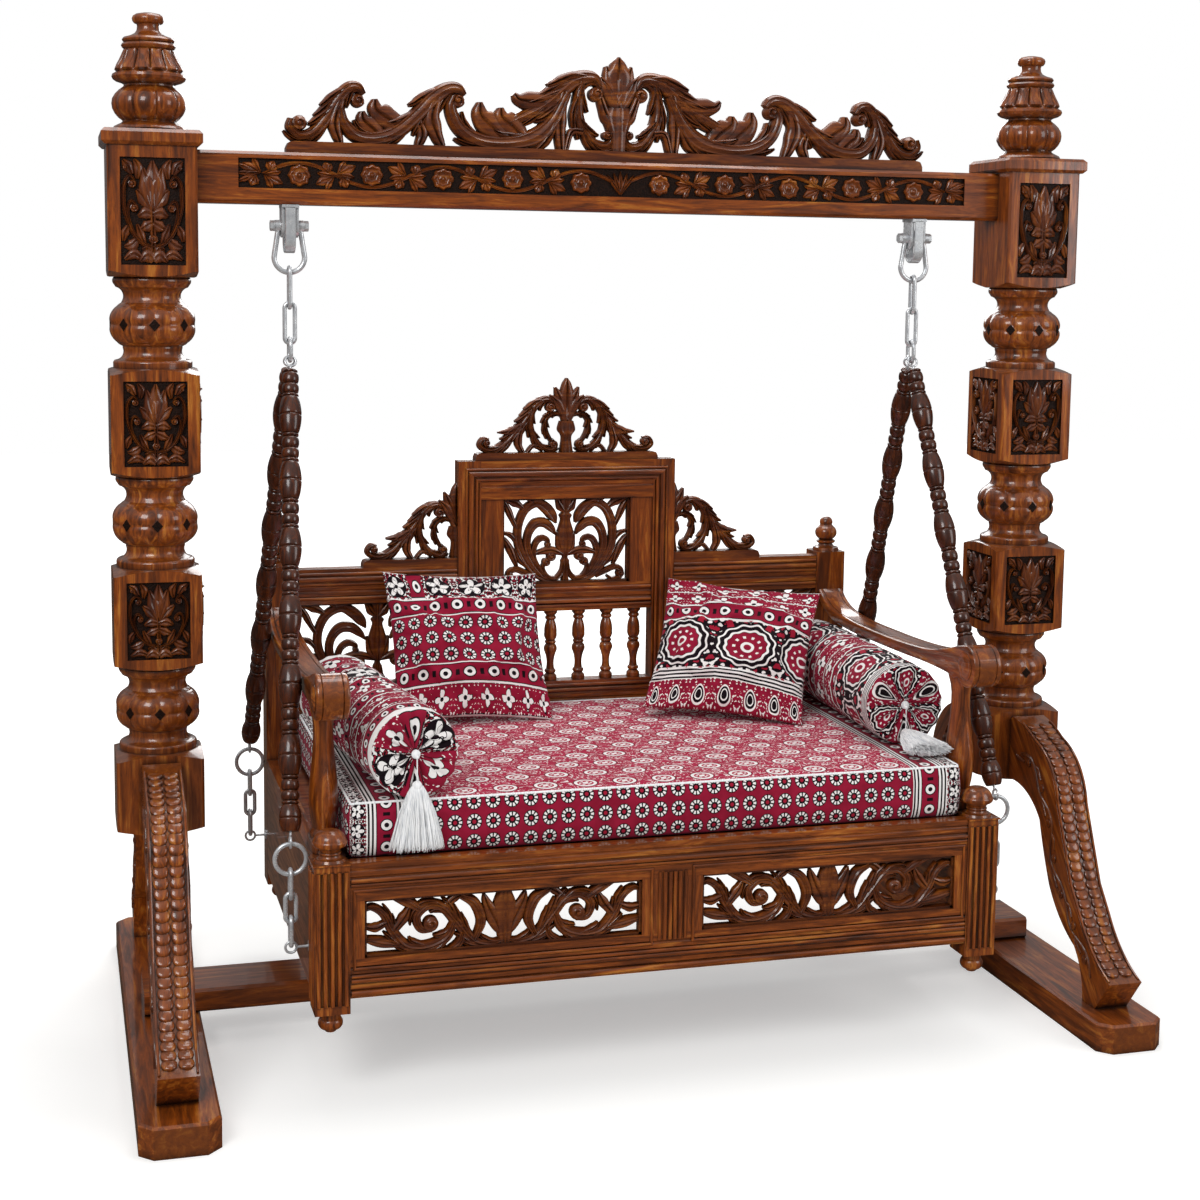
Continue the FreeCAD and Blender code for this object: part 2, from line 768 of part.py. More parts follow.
# Screw eyes at both ends of a rod: the upper stands across the rod's lean, the lower along it.
def make_rod_eyes(side):
    first_eye, start, end, lower, direction = rod_line(side)
    across = X_AXIS.cross(direction).normalize()
    upper_ring = Part.makeTorus(eye_radius, eye_wire / 2, first_eye, across)
    lower_ring = Part.makeTorus(eye_radius, eye_wire / 2, lower, X_AXIS)
    shank_reach = rod_shank - eye_radius
    upper_shank = Part.makeCylinder(eye_wire / 2, shank_reach, first_eye + direction * eye_radius, direction)
    lower_shank = Part.makeCylinder(eye_wire / 2, shank_reach, lower - direction * eye_radius, direction * -1)
    return [joined([upper_ring, upper_shank]), joined([lower_ring, lower_shank])]


def make_lower_ring(side):
    lower = rod_line(side)[3]
    ring = wire_link(lower_ring_outer, lower_ring_outer, link_wire)
    return moved(ring, lower.x, lower.y, (ring_top + ring_low) / 2)


def make_chain(side):
    lower = rod_line(side)[3]
    links = []
    top = ring_low + hang_step
    for index in range(chain_links):
        link = wire_link(chain_link_length, chain_link_width, link_wire)
        if index % 2 == 0:
            link = quarter_turned(link)
        links.append(moved(link, lower.x, lower.y, top - link_pitch / 2))
        top = top - link_pitch + hang_step
    return links


# Screw eye in the bench's side that holds the chain's last link.
def make_side_hook(side):
    lower = rod_line(side)[3]
    ring = Part.makeTorus(eye_radius, eye_wire / 2, V(lower.x, lower.y, hook_wire_z - eye_radius), Y_AXIS)
    base = V(side_face, lower.y, hook_wire_z - eye_radius)
    shank = Part.makeCylinder(eye_wire / 2, lower.x - eye_radius - side_face, base, X_AXIS)
    plate = Part.makeCylinder(hook_plate_radius, hook_plate_thickness, base, X_AXIS)
    return joined([ring, shank, plate])


# Steps of a bench leg's ball foot, upwards from the ground, and of its mushroom finial.
leg_foot_shares = [
    (0.10, 0.55, 0.0),
    (0.55, 0.80, 0.30),
    (0.08, 0.80, 0.0),
    (0.27, 1.0, -0.15),
]
leg_finial_shares = [
    (0.08, 0.92, 0.0),
    (0.12, 0.62, -0.2),
    (0.10, 0.62, 0.35),
    (0.16, 0.92, -0.15),
    (0.22, 1.0, 0.25),
    (0.32, 0.08, 0.20),
]
rear_finial_shares = [
    (0.10, 0.95, 0.0),
    (0.12, 0.50, -0.2),
    (0.08, 0.70, 0.3),
    (0.04, 0.50, 0.0),
    (0.38, 0.55, 0.30),
    (0.05, 0.45, 0.0),
    (0.23, 0.08, 0.28),
]


def make_front_leg():
    half = leg_side / 2
    middle_x = leg_outer - half
    middle_y = leg_front + half
    block = box(-half, half, -half, half, 0, leg_height)
    grooves = []
    span = leg_side / (flute_count + 1)
    for index in range(flute_count):
        x = -half + span * (index + 1)
        start = V(x, -half - flute_radius + flute_depth, leg_side / 4)
        grooves.append(Part.makeCylinder(flute_radius, leg_height - leg_side / 2, start, Z_AXIS))
    block = cut_away(block, grooves)
    rim = half + leg_cap_flare
    cap = Part.makeBox(2 * rim, 2 * rim, leg_cap_flare, V(-rim, -rim, leg_height - leg_cap_flare))
    clear = box(-rim - cut_overrun, -half, -rim - cut_overrun, rim + cut_overrun, 0, leg_height)
    back = box(-rim - cut_overrun, rim + cut_overrun, half, rim + cut_overrun, 0, leg_height)
    cap = cut_away(cap, [clear, back])
    foot = turned(leg_foot_height, leg_foot_radius, 0.40, leg_foot_shares)
    finial = moved(turned(leg_finial_height, leg_finial_radius, 1.0, leg_finial_shares), 0, 0, leg_height)
    leg = joined([block, cap, moved(foot, 0, 0, -leg_foot_height), finial])
    return moved(leg, middle_x, middle_y, leg_bottom)


def make_rear_post():
    half = rear_post_side / 2
    block = chamfered_upright(box(-half, half, -half, half, 0, rear_post_height), fit_clearance * 10)
    foot = turned(leg_foot_height, leg_foot_radius, 0.40, leg_foot_shares)
    finial = turned(rear_finial_height, rear_finial_radius, 1.0, rear_finial_shares)
    post = joined([block, moved(foot, 0, 0, -leg_foot_height), moved(finial, 0, 0, rear_post_height)])
    return moved(post, side_face - half, rear_post_front + half, leg_bottom)


# Board across the front or back with reeds along its face.
def reeded_board(x0, x1, front, thickness, z0, z1, reeds):
    board = box(x0, x1, front, front + thickness, z0, z1)
    grooves = []
    for z in reeds:
        start = V(x0 - cut_overrun, front - reed_radius / 2, z)
        grooves.append(Part.makeCylinder(reed_radius, x1 - x0 + 2 * cut_overrun, start, X_AXIS))
    return cut_away(board, grooves) if grooves else board


apron_front = leg_front + apron_setback
apron_back = apron_front + board_thickness
opening_low = leg_bottom + bottom_rail_height + board_thickness
opening_high = seat_rim - top_rail_height


def make_apron_top_rail():
    reeds = [seat_rim - reed_spacing * (k + 1) for k in range(3)]
    return reeded_board(-leg_inner, leg_inner, apron_front, board_thickness, opening_high, seat_rim, reeds)


def make_apron_bottom_rail():
    low = leg_bottom + board_thickness
    reeds = [low + reed_spacing * (k + 1) for k in range(4)]
    return reeded_board(-leg_inner, leg_inner, apron_front, board_thickness, low, opening_low, reeds)


def make_apron_stiles():
    half = center_stile_width / 2
    center = box(-half, half, apron_front, apron_back, opening_low, opening_high)
    end = box(leg_inner - end_stile_width, leg_inner, apron_front, apron_back, opening_low, opening_high)
    return [center, end, mirrored(end)]


# Pierced apron carving: half of one panel as shares of its half width and its height.
apron_scrolls_shares = [
    [(0.0, 0.10, 0.08), (0.10, 0.04, 0.12), (0.22, 0.12, 0.15), (0.33, 0.42, 0.16),
     (0.44, 0.74, 0.15), (0.55, 0.80, 0.14), (0.63, 0.62, 0.13), (0.60, 0.40, 0.12), (0.52, 0.38, 0.10)],
    [(0.36, 0.50, 0.10), (0.42, 0.22, 0.15), (0.55, 0.08, 0.16), (0.70, 0.12, 0.15),
     (0.80, 0.40, 0.14), (0.86, 0.70, 0.12), (0.94, 0.84, 0.10), (1.0, 0.80, 0.06)],
    [(0.22, 0.14, 0.08), (0.17, 0.45, 0.14), (0.22, 0.78, 0.15), (0.33, 0.94, 0.08)],
    [(0.44, 0.74, 0.10), (0.36, 0.90, 0.12), (0.28, 1.0, 0.06)],
    [(0.60, 0.74, 0.10), (0.70, 0.90, 0.16), (0.80, 1.0, 0.08)],
    [(0.80, 0.38, 0.10), (0.72, 0.62, 0.14), (0.68, 0.82, 0.04)],
    [(0.74, 0.16, 0.10), (0.88, 0.22, 0.16), (1.0, 0.30, 0.08)],
    [(0.30, 0.30, 0.08), (0.33, 0.10, 0.12), (0.40, 0.0, 0.08)],
    [(0.84, 0.56, 0.08), (0.92, 0.48, 0.12), (1.0, 0.52, 0.06)],
]
apron_bosses_shares = [(0.53, 0.47, 0.12)]
apron_middle_shares = [
    [(0.0, 0.0, 0.16), (0.0, 0.30, 0.24), (0.0, 0.66, 0.34), (0.0, 1.0, 0.16)],
    [(0.0, 0.18, 0.12), (0.07, 0.45, 0.22), (0.13, 0.76, 0.14), (0.15, 0.92, 0.04)],
]


# Thin frame that a pierced board keeps round its carving.
def carving_rim_frame(half_width, height, depth, front):
    outer = box(-half_width, half_width, front, front + depth, 0, height)
    inner_half = half_width - carving_rim
    inner = box(-inner_half, inner_half, front - cut_overrun, front + depth + cut_overrun,
                carving_rim, height - carving_rim)
    return outer.cut(inner)


def trimmed(panel, half_width, height):
    deep = carving_thickness / 2
    return panel.common(box(-half_width, half_width, -deep, deep, 0, height))


def make_apron_carving():
    half = (leg_inner - end_stile_width - center_stile_width / 2) / 2
    middle = center_stile_width / 2 + half
    height = opening_high - opening_low
    rim = carving_rim_frame(half, height, carving_thickness, -carving_thickness / 2)
    panel = mirrored_carving(rim, apron_scrolls_shares, apron_bosses_shares, apron_middle_shares,
                             half, height, carving_thickness)
    panel = trimmed(panel, half, height)
    return moved(panel, middle, apron_front + board_thickness / 2, opening_low)


def make_side_rail():
    low = seat_rim - side_rail_height
    return box(rail_inner, side_face, leg_rear, rear_post_front, low, seat_rim)


def make_rear_rail():
    low = seat_rim - rear_rail_height
    return box(-rear_post_inner, rear_post_inner, back_front, back_front + back_thickness, low, seat_rim)


def make_deck():
    low = deck_top - deck_thickness
    middle = box(-rail_inner, rail_inner, leg_rear, rear_post_front, low, deck_top)
    ends = box(-rear_post_inner, rear_post_inner, apron_back, back_front, low, deck_top)
    return joined([middle, ends])


def make_back_lower_rail():
    high = back_rail_z + back_lower_rail_height
    reeds = [high - reed_spacing * (k + 1) for k in range(3)]
    return reeded_board(-rear_post_inner, rear_post_inner, back_front, back_thickness,
                        back_rail_z, high, reeds)


baluster_shares = [
    (0.06, 0.95, 0.0),
    (0.04, 0.60, 0.0),
    (0.06, 0.60, 0.35),
    (0.26, 0.90, -0.08),
    (0.10, 0.62, 0.15),
    (0.05, 0.62, 0.35),
    (0.10, 0.90, 0.12),
    (0.19, 0.55, 0.06),
    (0.06, 0.60, 0.35),
    (0.04, 0.95, 0.0),
    (0.04, 0.95, 0.0),
]


def make_balusters():
    spindle = turned(baluster_height, baluster_radius, 0.95, baluster_shares)
    first = -baluster_spacing * (baluster_count - 1) / 2
    places = [first + baluster_spacing * k for k in range(baluster_count)]
    return [moved(spindle, x, back_middle, baluster_z) for x in places]


def make_cross_rail():
    inner = center_half_width - center_stile_face
    reeds = [cross_rail_z + reed_spacing * (k + 1) for k in range(3)]
    return reeded_board(-inner, inner, back_front, back_thickness, cross_rail_z, carving_z, reeds)


def make_center_stile():
    inner = center_half_width - center_stile_face
    back = back_front + back_thickness
    stile = box(inner, center_half_width, rear_post_front, back, baluster_z, center_top)
    grooves = []
    for k in range(2):
        x = inner + reed_spacing * (k + 0.5)
        start = V(x, rear_post_front - reed_radius / 2, baluster_z - cut_overrun)
        length = center_top - center_top_rail_height / 2 - baluster_z
        grooves.append(Part.makeCylinder(reed_radius, length, start, Z_AXIS))
    return cut_away(stile, grooves)


def make_center_margin():
    inner = center_half_width - center_stile_face
    return box(carving_half_width, inner, back_front, back_front + back_thickness, carving_z, center_rail_z)


def make_center_top_rail():
    inner = center_half_width - center_stile_face
    reeds = [center_rail_z + center_top_rail_height / 2 - reed_spacing * k for k in range(2)]
    return reeded_board(-inner, inner, rear_post_front, back_thickness + rear_post_setback,
                        center_rail_z, center_top, reeds)


# Pierced back carving: right half as shares of its half width and its height.
back_scrolls_shares = [
    [(0.02, 0.24, 0.045), (0.07, 0.09, 0.055), (0.215, 0.03, 0.06), (0.43, 0.07, 0.06),
     (0.63, 0.21, 0.065), (0.75, 0.41, 0.065), (0.77, 0.65, 0.065), (0.67, 0.85, 0.06),
     (0.48, 0.94, 0.055), (0.31, 0.87, 0.05), (0.215, 0.75, 0.03)],
    [(0.25, 0.045, 0.045), (0.48, 0.17, 0.055), (0.575, 0.37, 0.06), (0.525, 0.53, 0.06),
     (0.38, 0.63, 0.055), (0.24, 0.63, 0.05), (0.165, 0.57, 0.02)],
    [(0.52, 0.21, 0.045), (0.46, 0.34, 0.045), (0.37, 0.42, 0.05), (0.24, 0.44, 0.045), (0.06, 0.38, 0.04)],
    [(0.76, 0.52, 0.04), (0.88, 0.60, 0.06), (1.0, 0.62, 0.03)],
    [(0.74, 0.74, 0.04), (0.86, 0.84, 0.07), (1.0, 0.98, 0.04)],
    [(0.68, 0.26, 0.04), (0.86, 0.36, 0.08), (1.0, 0.50, 0.03)],
    [(0.40, 0.06, 0.04), (0.66, 0.05, 0.06), (0.86, 0.10, 0.09), (1.0, 0.16, 0.03)],
    [(0.60, 0.90, 0.04), (0.64, 0.97, 0.05), (0.66, 1.0, 0.04)],
    [(0.30, 0.86, 0.04), (0.22, 0.95, 0.06), (0.16, 1.0, 0.04)],
]
back_bosses_shares = [(0.38, 0.40, 0.055)]
back_middle_shares = [
    [(0.0, 0.0, 0.05), (0.0, 0.26, 0.06), (0.0, 0.33, 0.08), (0.0, 0.42, 0.17),
     (0.0, 0.55, 0.14), (0.0, 0.68, 0.08)],
    [(0.0, 0.66, 0.08), (0.0, 0.78, 0.12), (0.0, 0.90, 0.10), (0.0, 1.0, 0.06)],
    [(0.0, 0.68, 0.05), (0.10, 0.76, 0.11), (0.20, 0.84, 0.04)],
]


def back_carving(half_width):
    rim = carving_rim_frame(half_width, carving_height, carving_thickness, -carving_thickness / 2)
    panel = mirrored_carving(rim, back_scrolls_shares, back_bosses_shares, back_middle_shares,
                             half_width, carving_height, carving_thickness)
    return trimmed(panel, half_width, carving_height)


def make_center_carving():
    return moved(back_carving(carving_half_width), 0, back_middle, carving_z)


def make_side_carving():
    half = (rear_post_inner - center_half_width) / 2
    return moved(back_carving(half), center_half_width + half, back_middle, baluster_z)


def make_side_top_rail():
    low = baluster_z + carving_height
    reeds = [low + reed_spacing * (k + 1) for k in range(4)]
    return reeded_board(center_half_width, rear_post_inner, back_front, back_thickness,
                        low, side_rail_top, reeds)


# Bench crest: right half as shares of its half width and of its height.
bench_crest_scrolls_shares = [
    [(0.147, 0.66, 0.045), (0.209, 0.715, 0.07), (0.307, 0.68, 0.085), (0.391, 0.55, 0.09),
     (0.462, 0.42, 0.09), (0.551, 0.29, 0.09), (0.653, 0.14, 0.085), (0.778, 0.045, 0.075),
     (0.88, 0.035, 0.06), (0.945, 0.10, 0.055), (0.91, 0.18, 0.05), (0.85, 0.17, 0.045)],
    [(0.50, 0.37, 0.07), (0.60, 0.29, 0.085), (0.75, 0.27, 0.02)],
    [(0.36, 0.60, 0.055), (0.40, 0.40, 0.065), (0.356, 0.19, 0.065), (0.253, 0.06, 0.06),
     (0.164, 0.035, 0.055), (0.12, 0.10, 0.05), (0.164, 0.165, 0.04)],
    [(0.06, 0.50, 0.045), (0.16, 0.52, 0.05), (0.235, 0.42, 0.05), (0.225, 0.28, 0.05), (0.17, 0.15, 0.04)],
    [(0.48, 0.40, 0.055), (0.53, 0.14, 0.08), (0.48, -0.01, 0.05)],
    [(0.27, 0.05, 0.04), (0.364, 0.085, 0.045), (0.436, -0.01, 0.04)],
]
bench_crest_bosses_shares = [(0.182, 0.61, 0.062), (0.145, 0.11, 0.05), (0.872, 0.13, 0.045)]
bench_crest_middle_shares = [
    [(0.0, 0.38, 0.10), (0.0, 0.66, 0.16), (0.0, 0.88, 0.12), (0.0, 1.0, 0.02)],
    [(0.0, 0.42, 0.08), (0.07, 0.70, 0.12), (0.13, 0.88, 0.02)],
    [(0.0, 0.42, 0.08), (0.10, 0.66, 0.10), (0.185, 0.77, 0.02)],
    [(0.0, -0.01, 0.14), (0.0, 0.20, 0.10), (0.0, 0.30, 0.18), (0.0, 0.42, 0.14)],
]


def bench_crest_strip():
    strip = crest_strip(center_crest_half_width, center_crest_strip_height,
                        center_crest_strip_end, back_thickness)
    return moved(strip, 0, 0, -center_crest_strip_height)


def make_center_crest():
    carrier = bench_crest_strip()
    crest = mirrored_carving(carrier, bench_crest_scrolls_shares, bench_crest_bosses_shares,
                             bench_crest_middle_shares, center_crest_half_width, center_crest_height,
                             bench_crest_depth)
    return moved(crest, 0, back_middle, center_top + center_crest_strip_height)


# Half a bench crest that leans its cut side on the centre frame.
def make_side_crest():
    width = center_crest_half_width
    depth = bench_crest_depth
    height = center_crest_height
    pieces = [bench_crest_strip()]
    pieces += [scroll(points, width, height, depth) for points in bench_crest_scrolls_shares]
    pieces += [boss(place, width, height, depth) for place in bench_crest_bosses_shares]
    pieces += [scroll(points, width, height, depth) for points in bench_crest_middle_shares]
    low = -center_crest_strip_height
    half = box(0, width, -back_thickness, back_thickness, low, height + cut_overrun)
    return moved(joined(pieces).common(half), center_half_width, back_middle, side_rail_top - low)


# Arm seen from the side: it sags from the rear post and runs into the drum.
def make_arm():
    rear_y = rear_post_front
    rear_z = seat_rim + arm_rear_height
    low_z = rear_z - arm_sag
    sweep = rear_y - drum_y

    def place(y, z):
        return V(arm_outer - arm_width, y, z)

    top_moves = [
        [(rear_y - sweep * 0.10, rear_z - arm_sag * 0.72), (rear_y - sweep * 0.26, low_z)],
        [(drum_y + sweep * 0.24, low_z)],
        [(drum_y + sweep * 0.12, low_z + arm_sag * 0.16),
         (drum_y + drum_radius * 0.5, drum_z + drum_radius * 0.85)],
        [(drum_y, drum_z)],
        [(drum_y + drum_radius * 0.6, drum_z - arm_thickness * 0.9)],
        [(drum_y + sweep * 0.24, low_z - arm_thickness)],
        [(rear_y - sweep * 0.26, low_z - arm_thickness)],
        [(rear_y - sweep * 0.10, rear_z - arm_thickness - arm_sag * 0.72), (rear_y, rear_z - arm_thickness)],
        [(rear_y, rear_z)],
    ]
    board = drawn_face(place, (rear_y, rear_z), top_moves).extrude(V(arm_width, 0, 0))
    drum = Part.makeCylinder(drum_radius, arm_width, V(arm_outer - arm_width, drum_y, drum_z), X_AXIS)
    arm = joined([board, drum])
    grooves = []
    for x in (arm_outer - drum_band, arm_outer - arm_width + drum_band - drum_groove):
        disc = Part.makeCylinder(drum_radius + cut_overrun, drum_groove, V(x, drum_y, drum_z), X_AXIS)
        core = Part.makeCylinder(drum_radius - drum_groove, drum_groove, V(x, drum_y, drum_z), X_AXIS)
        front = box(x, x + drum_groove, drum_y - 2 * drum_radius, drum_y, drum_z - 2 * drum_radius,
                    drum_z + 2 * drum_radius)
        grooves.append(disc.cut(core).common(front))
    return cut_away(arm, grooves)


# Vase shaped board under the arm, shares of its depth and height.
support_moves_shares = [
    [(1.0, 0.0)],
    [(1.0, 0.08)],
    [(0.94, 0.08)],
    [(1.02, 0.30), (0.86, 0.52)],
    [(0.72, 0.66), (0.70, 0.80)],
    [(0.76, 0.92), (0.90, 1.0)],
    [(0.10, 1.0)],
    [(0.24, 0.92), (0.30, 0.80)],
    [(0.28, 0.66), (0.14, 0.52)],
    [(-0.02, 0.30), (0.06, 0.08)],
    [(0.0, 0.08)],
    [(0.0, 0.0)],
]


def make_arm_support():
    low_z = seat_rim + arm_rear_height - arm_sag - arm_thickness
    height = low_z - seat_rim + drum_radius

    def place(out_share, up_share):
        return V(arm_outer - support_thickness, support_front + out_share * support_depth,
                 seat_rim + up_share * height)

    board = drawn_face(place, (0.0, 0.0), support_moves_shares).extrude(V(support_thickness, 0, 0))
    pieces = board.cut(make_arm()).Solids
    return min(pieces, key=lambda piece: piece.BoundBox.ZMin)


# Closed solid through level outlines: each level has a height and an outline wire.
def lofted(wires, ruled):
    return Part.makeLoft(wires, True, ruled)


# Upright rectangle outline with rounded corners at one height.
def rounded_outline(x0, x1, y0, y1, radius, z):
    turn = radius * math.sqrt(0.5)
    low_x = x0 + radius
    high_x = x1 - radius
    low_y = y0 + radius
    high_y = y1 - radius
    edges = [
        Part.makeLine(V(low_x, y0, z), V(high_x, y0, z)),
        Part.Arc(V(high_x, y0, z), V(high_x + turn, low_y - turn, z), V(x1, low_y, z)).toShape(),
        Part.makeLine(V(x1, low_y, z), V(x1, high_y, z)),
        Part.Arc(V(x1, high_y, z), V(high_x + turn, high_y + turn, z), V(high_x, y1, z)).toShape(),
        Part.makeLine(V(high_x, y1, z), V(low_x, y1, z)),
        Part.Arc(V(low_x, y1, z), V(low_x - turn, high_y + turn, z), V(x0, high_y, z)).toShape(),
        Part.makeLine(V(x0, high_y, z), V(x0, low_y, z)),
        Part.Arc(V(x0, low_y, z), V(low_x - turn, low_y - turn, z), V(low_x, y0, z)).toShape(),
    ]
    return Part.Wire(edges)


# Mattress levels: share of the height, then the inset as a share of the crown's inset.
mattress_levels_shares = [
    (0.0, 0.12),
    (0.10, 0.02),
    (0.30, 0.0),
    (0.78, 0.0),
    (0.92, 0.05),
    (0.975, 0.30),
    (1.0, 1.0),
]


def make_mattress():
    wires = []
    for height_share, inset_share in mattress_levels_shares:
        inset = mattress_crown_inset * inset_share
        z = deck_top + fit_clearance + (mattress_height - fit_clearance) * height_share
        reach = mattress_half_width - inset
        wires.append(rounded_outline(-reach, reach, mattress_front + inset, mattress_rear - inset,
                                     mattress_corner_radius, z))
    return lofted(wires, True)


# Pillow outline with four drawn-in sides, at a share of the full size.
def pillow_outline(scale_share, z):
    half = pillow_side / 2 * scale_share
    waist = half - pillow_draw_in * scale_share
    corners = [V(half, -half, z), V(half, half, z), V(-half, half, z), V(-half, -half, z)]
    waists = [V(waist, 0, z), V(0, waist, z), V(-waist, 0, z), V(0, -waist, z)]
    edges = [Part.Arc(corners[k], waists[k], corners[(k + 1) % 4]).toShape() for k in range(4)]
    return Part.Wire(edges)


# Pillow lens: the outline shrinks as its half thickness grows, by a root formula.
pillow_level_shares = [-0.985, -0.88, -0.66, -0.36, 0.0, 0.36, 0.66, 0.88, 0.985]


def make_pillow_form():
    wires = []
    for level in pillow_level_shares:
        scale = math.sqrt(1 - abs(level) ** 1.7)
        wires.append(pillow_outline(scale, level * pillow_thickness / 2))
    return lofted(wires, True)


# Stands a pillow on the mattress: turned about Z, then leant back by an angle.
def stood_pillow(base_x, base_y, yaw, roll, lean):
    form = make_pillow_form()
    upright = form.rotated(ORIGIN, X_AXIS, 90).rotated(ORIGIN, Y_AXIS, roll)
    leant = upright.rotated(ORIGIN, X_AXIS, -lean).rotated(ORIGIN, Z_AXIS, yaw)
    low = leant.BoundBox.ZMin
    return moved(leant, base_x, base_y, mattress_top + soft_clearance - low)


def make_left_pillow():
    return stood_pillow(left_pillow_x, left_pillow_y, left_pillow_yaw,
                        left_pillow_roll, left_pillow_lean)


def make_right_pillow():
    return stood_pillow(right_pillow_x, right_pillow_y, right_pillow_yaw,
                        right_pillow_roll, right_pillow_lean)


bolster_shares = [
    (0.012, 0.70, 0.10),
    (0.030, 0.96, 0.16),
    (0.100, 1.0, 0.025),
    (0.716, 1.0, 0.0),
    (0.100, 0.96, 0.025),
    (0.030, 0.70, 0.16),
    (0.012, 0.12, 0.10),
]


# The left bolster is placed by its front end, the right one by its end at the back of the seat.
def bolster_line(side):
    z = mattress_top + soft_clearance + bolster_radius
    ends = (left_bolster_front, left_bolster_rear) if side < 0 else (right_bolster_front, right_bolster_rear)
    front = V(ends[0][0], ends[0][1], z)
    rear = V(ends[1][0], ends[1][1], z)
    direction = (rear - front).normalize()
    return (front if side < 0 else rear - direction * bolster_length), direction


def make_bolster(side):
    base, direction = bolster_line(side)
    return aimed(turned(bolster_length, bolster_radius, 0.12, bolster_shares), base, direction)


# Covered buttons drawn into both ends of a bolster.
def make_buttons(side):
    base, direction = bolster_line(side)
    near = Part.makeCylinder(button_radius, button_thickness, base - direction * button_thickness, direction)
    far = Part.makeCylinder(button_radius, button_thickness, base + direction * bolster_length, direction)
    return [near, far]


# Run down the skirt and its spread.
tassel_skirt_shares = [(0.0, 0.45), (0.12, 0.40), (0.45, 0.72), (1.0, 1.0)]


# Tassel: a cord down from the button, a bound head and a flat fan of yarn.
def make_tassel(side, skirt_reach):
    base, direction = bolster_line(side)
    top = base - direction * (button_thickness + tassel_cord_diameter / 2 + fit_clearance)
    cord_length = tassel_length * tassel_head_share
    skirt_length = tassel_length - cord_length
    head_at = top - Z_AXIS * cord_length
    cord = Part.makeCylinder(tassel_cord_diameter / 2, cord_length, head_at, Z_AXIS)
    head = Part.makeSphere(tassel_head_radius, head_at)
    drop = math.sqrt(skirt_length ** 2 - skirt_reach ** 2)
    along = V(0, -skirt_reach, -drop)
    wires = []
    for run_share, spread_share in tassel_skirt_shares:
        half_x = tassel_skirt_half_width * spread_share
        half_y = tassel_skirt_half_depth * (1 + spread_share) / 2
        run = skirt_length * run_share
        wires.append(rounded_outline(-half_x, half_x, -half_y, half_y, half_y * 0.8, run))
    tilt = math.degrees(math.atan2(skirt_reach, drop))
    skirt = lofted(wires, True).rotated(ORIGIN, X_AXIS, 180 - tilt)
    return joined([cord, head, moved(skirt, head_at.x, head_at.y, head_at.z)]), top


# One node per sub-part; groups hold identical pieces or a fitted pair.
def both_sides(name, shape):
    save("right_" + name, [shape])
    save("left_" + name, [mirrored(shape)])


def with_mirrors(pieces):
    return pieces + [mirrored(piece) for piece in pieces]


def export_stand():
    both_sides("foot", make_foot())
    save("stretcher", [make_stretcher()])
    for side, place in ((-1, "front"), (1, "rear")):
        both_sides(place + "_brace", make_brace(side))
    both_sides("post", make_post())
    save("post_caps", with_mirrors([make_cap()]))
    save("post_finials", with_mirrors([make_finial()]))
    save("beam", [make_beam()])
    save("beam_crest", [make_beam_crest()])
    save("hangers", with_mirrors([make_hanger()]))
    save("hanger_rollers", with_mirrors([make_roller()]))
    save("pivot_bolts", with_mirrors([make_pivot_bolt()]))


def export_hanging():
    both_sides("shackle", make_shackle())
    links = make_upper_links()
    save("right_upper_links", links)
    save("left_upper_links", [mirrored(link) for link in links])
    save("junction_rings", with_mirrors([make_junction_ring()]))
    for side, place in ((-1, "front"), (1, "rear")):
        both_sides(place + "_rod", make_rod(side))
    sides = (-1, 1)
    save("rod_eyes", with_mirrors([eye for side in sides for eye in make_rod_eyes(side)]))
    save("lower_rings", with_mirrors([make_lower_ring(side) for side in sides]))
    save("lower_chain_links", with_mirrors([link for side in sides for link in make_chain(side)]))
    save("side_hooks", with_mirrors([make_side_hook(side) for side in sides]))


def export_seat():
    save("front_legs", with_mirrors([make_front_leg()]))
    save("rear_posts", with_mirrors([make_rear_post()]))
    save("apron_top_rail", [make_apron_top_rail()])
    save("apron_bottom_rail", [make_apron_bottom_rail()])
    save("apron_stiles", make_apron_stiles())
    save("apron_carvings", with_mirrors([make_apron_carving()]))
    save("side_rails", with_mirrors([make_side_rail()]))
    save("rear_seat_rail", [make_rear_rail()])
    save("seat_deck", [make_deck()])
    both_sides("arm", make_arm())
    save("arm_supports", with_mirrors([make_arm_support()]))


def export_back():
    save("back_lower_rail", [make_back_lower_rail()])
    save("balusters", make_balusters())
    save("cross_rail", [make_cross_rail()])
    save("center_stiles", with_mirrors([make_center_stile()]))
    save("center_margins", with_mirrors([make_center_margin()]))
    save("center_top_rail", [make_center_top_rail()])
    save("center_carving", [make_center_carving()])
    save("side_carvings", with_mirrors([make_side_carving()]))
    save("side_top_rails", with_mirrors([make_side_top_rail()]))
    save("center_crest", [make_center_crest()])
    save("side_crests", with_mirrors([make_side_crest()]))


def export_soft():
    save("mattress", [make_mattress()])
    save("left_pillow", [make_left_pillow()])
    save("right_pillow", [make_right_pillow()])
    buttons = []
    for name, side, reach in (("left", -1, left_tassel_reach), ("right", 1, right_tassel_reach)):
        save(name + "_bolster", [make_bolster(side)])
        tassel, top = make_tassel(side, reach)
        save(name + "_tassel", [tassel])
        print(name, "tassel turns about", top)
        buttons += make_buttons(side)
    save("bolster_buttons", buttons)


os.makedirs("parts", exist_ok=True)
export_stand()
export_hanging()
export_seat()
export_back()
export_soft()
print("pivot height", pivot_height, "rock height", rock_height, "hanger x", hanger_x)
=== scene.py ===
import math

import bmesh
import bpy
import numpy as np
from mathutils import Matrix, Vector
from mathutils.bvhtree import BVHTree
from mathutils.kdtree import KDTree


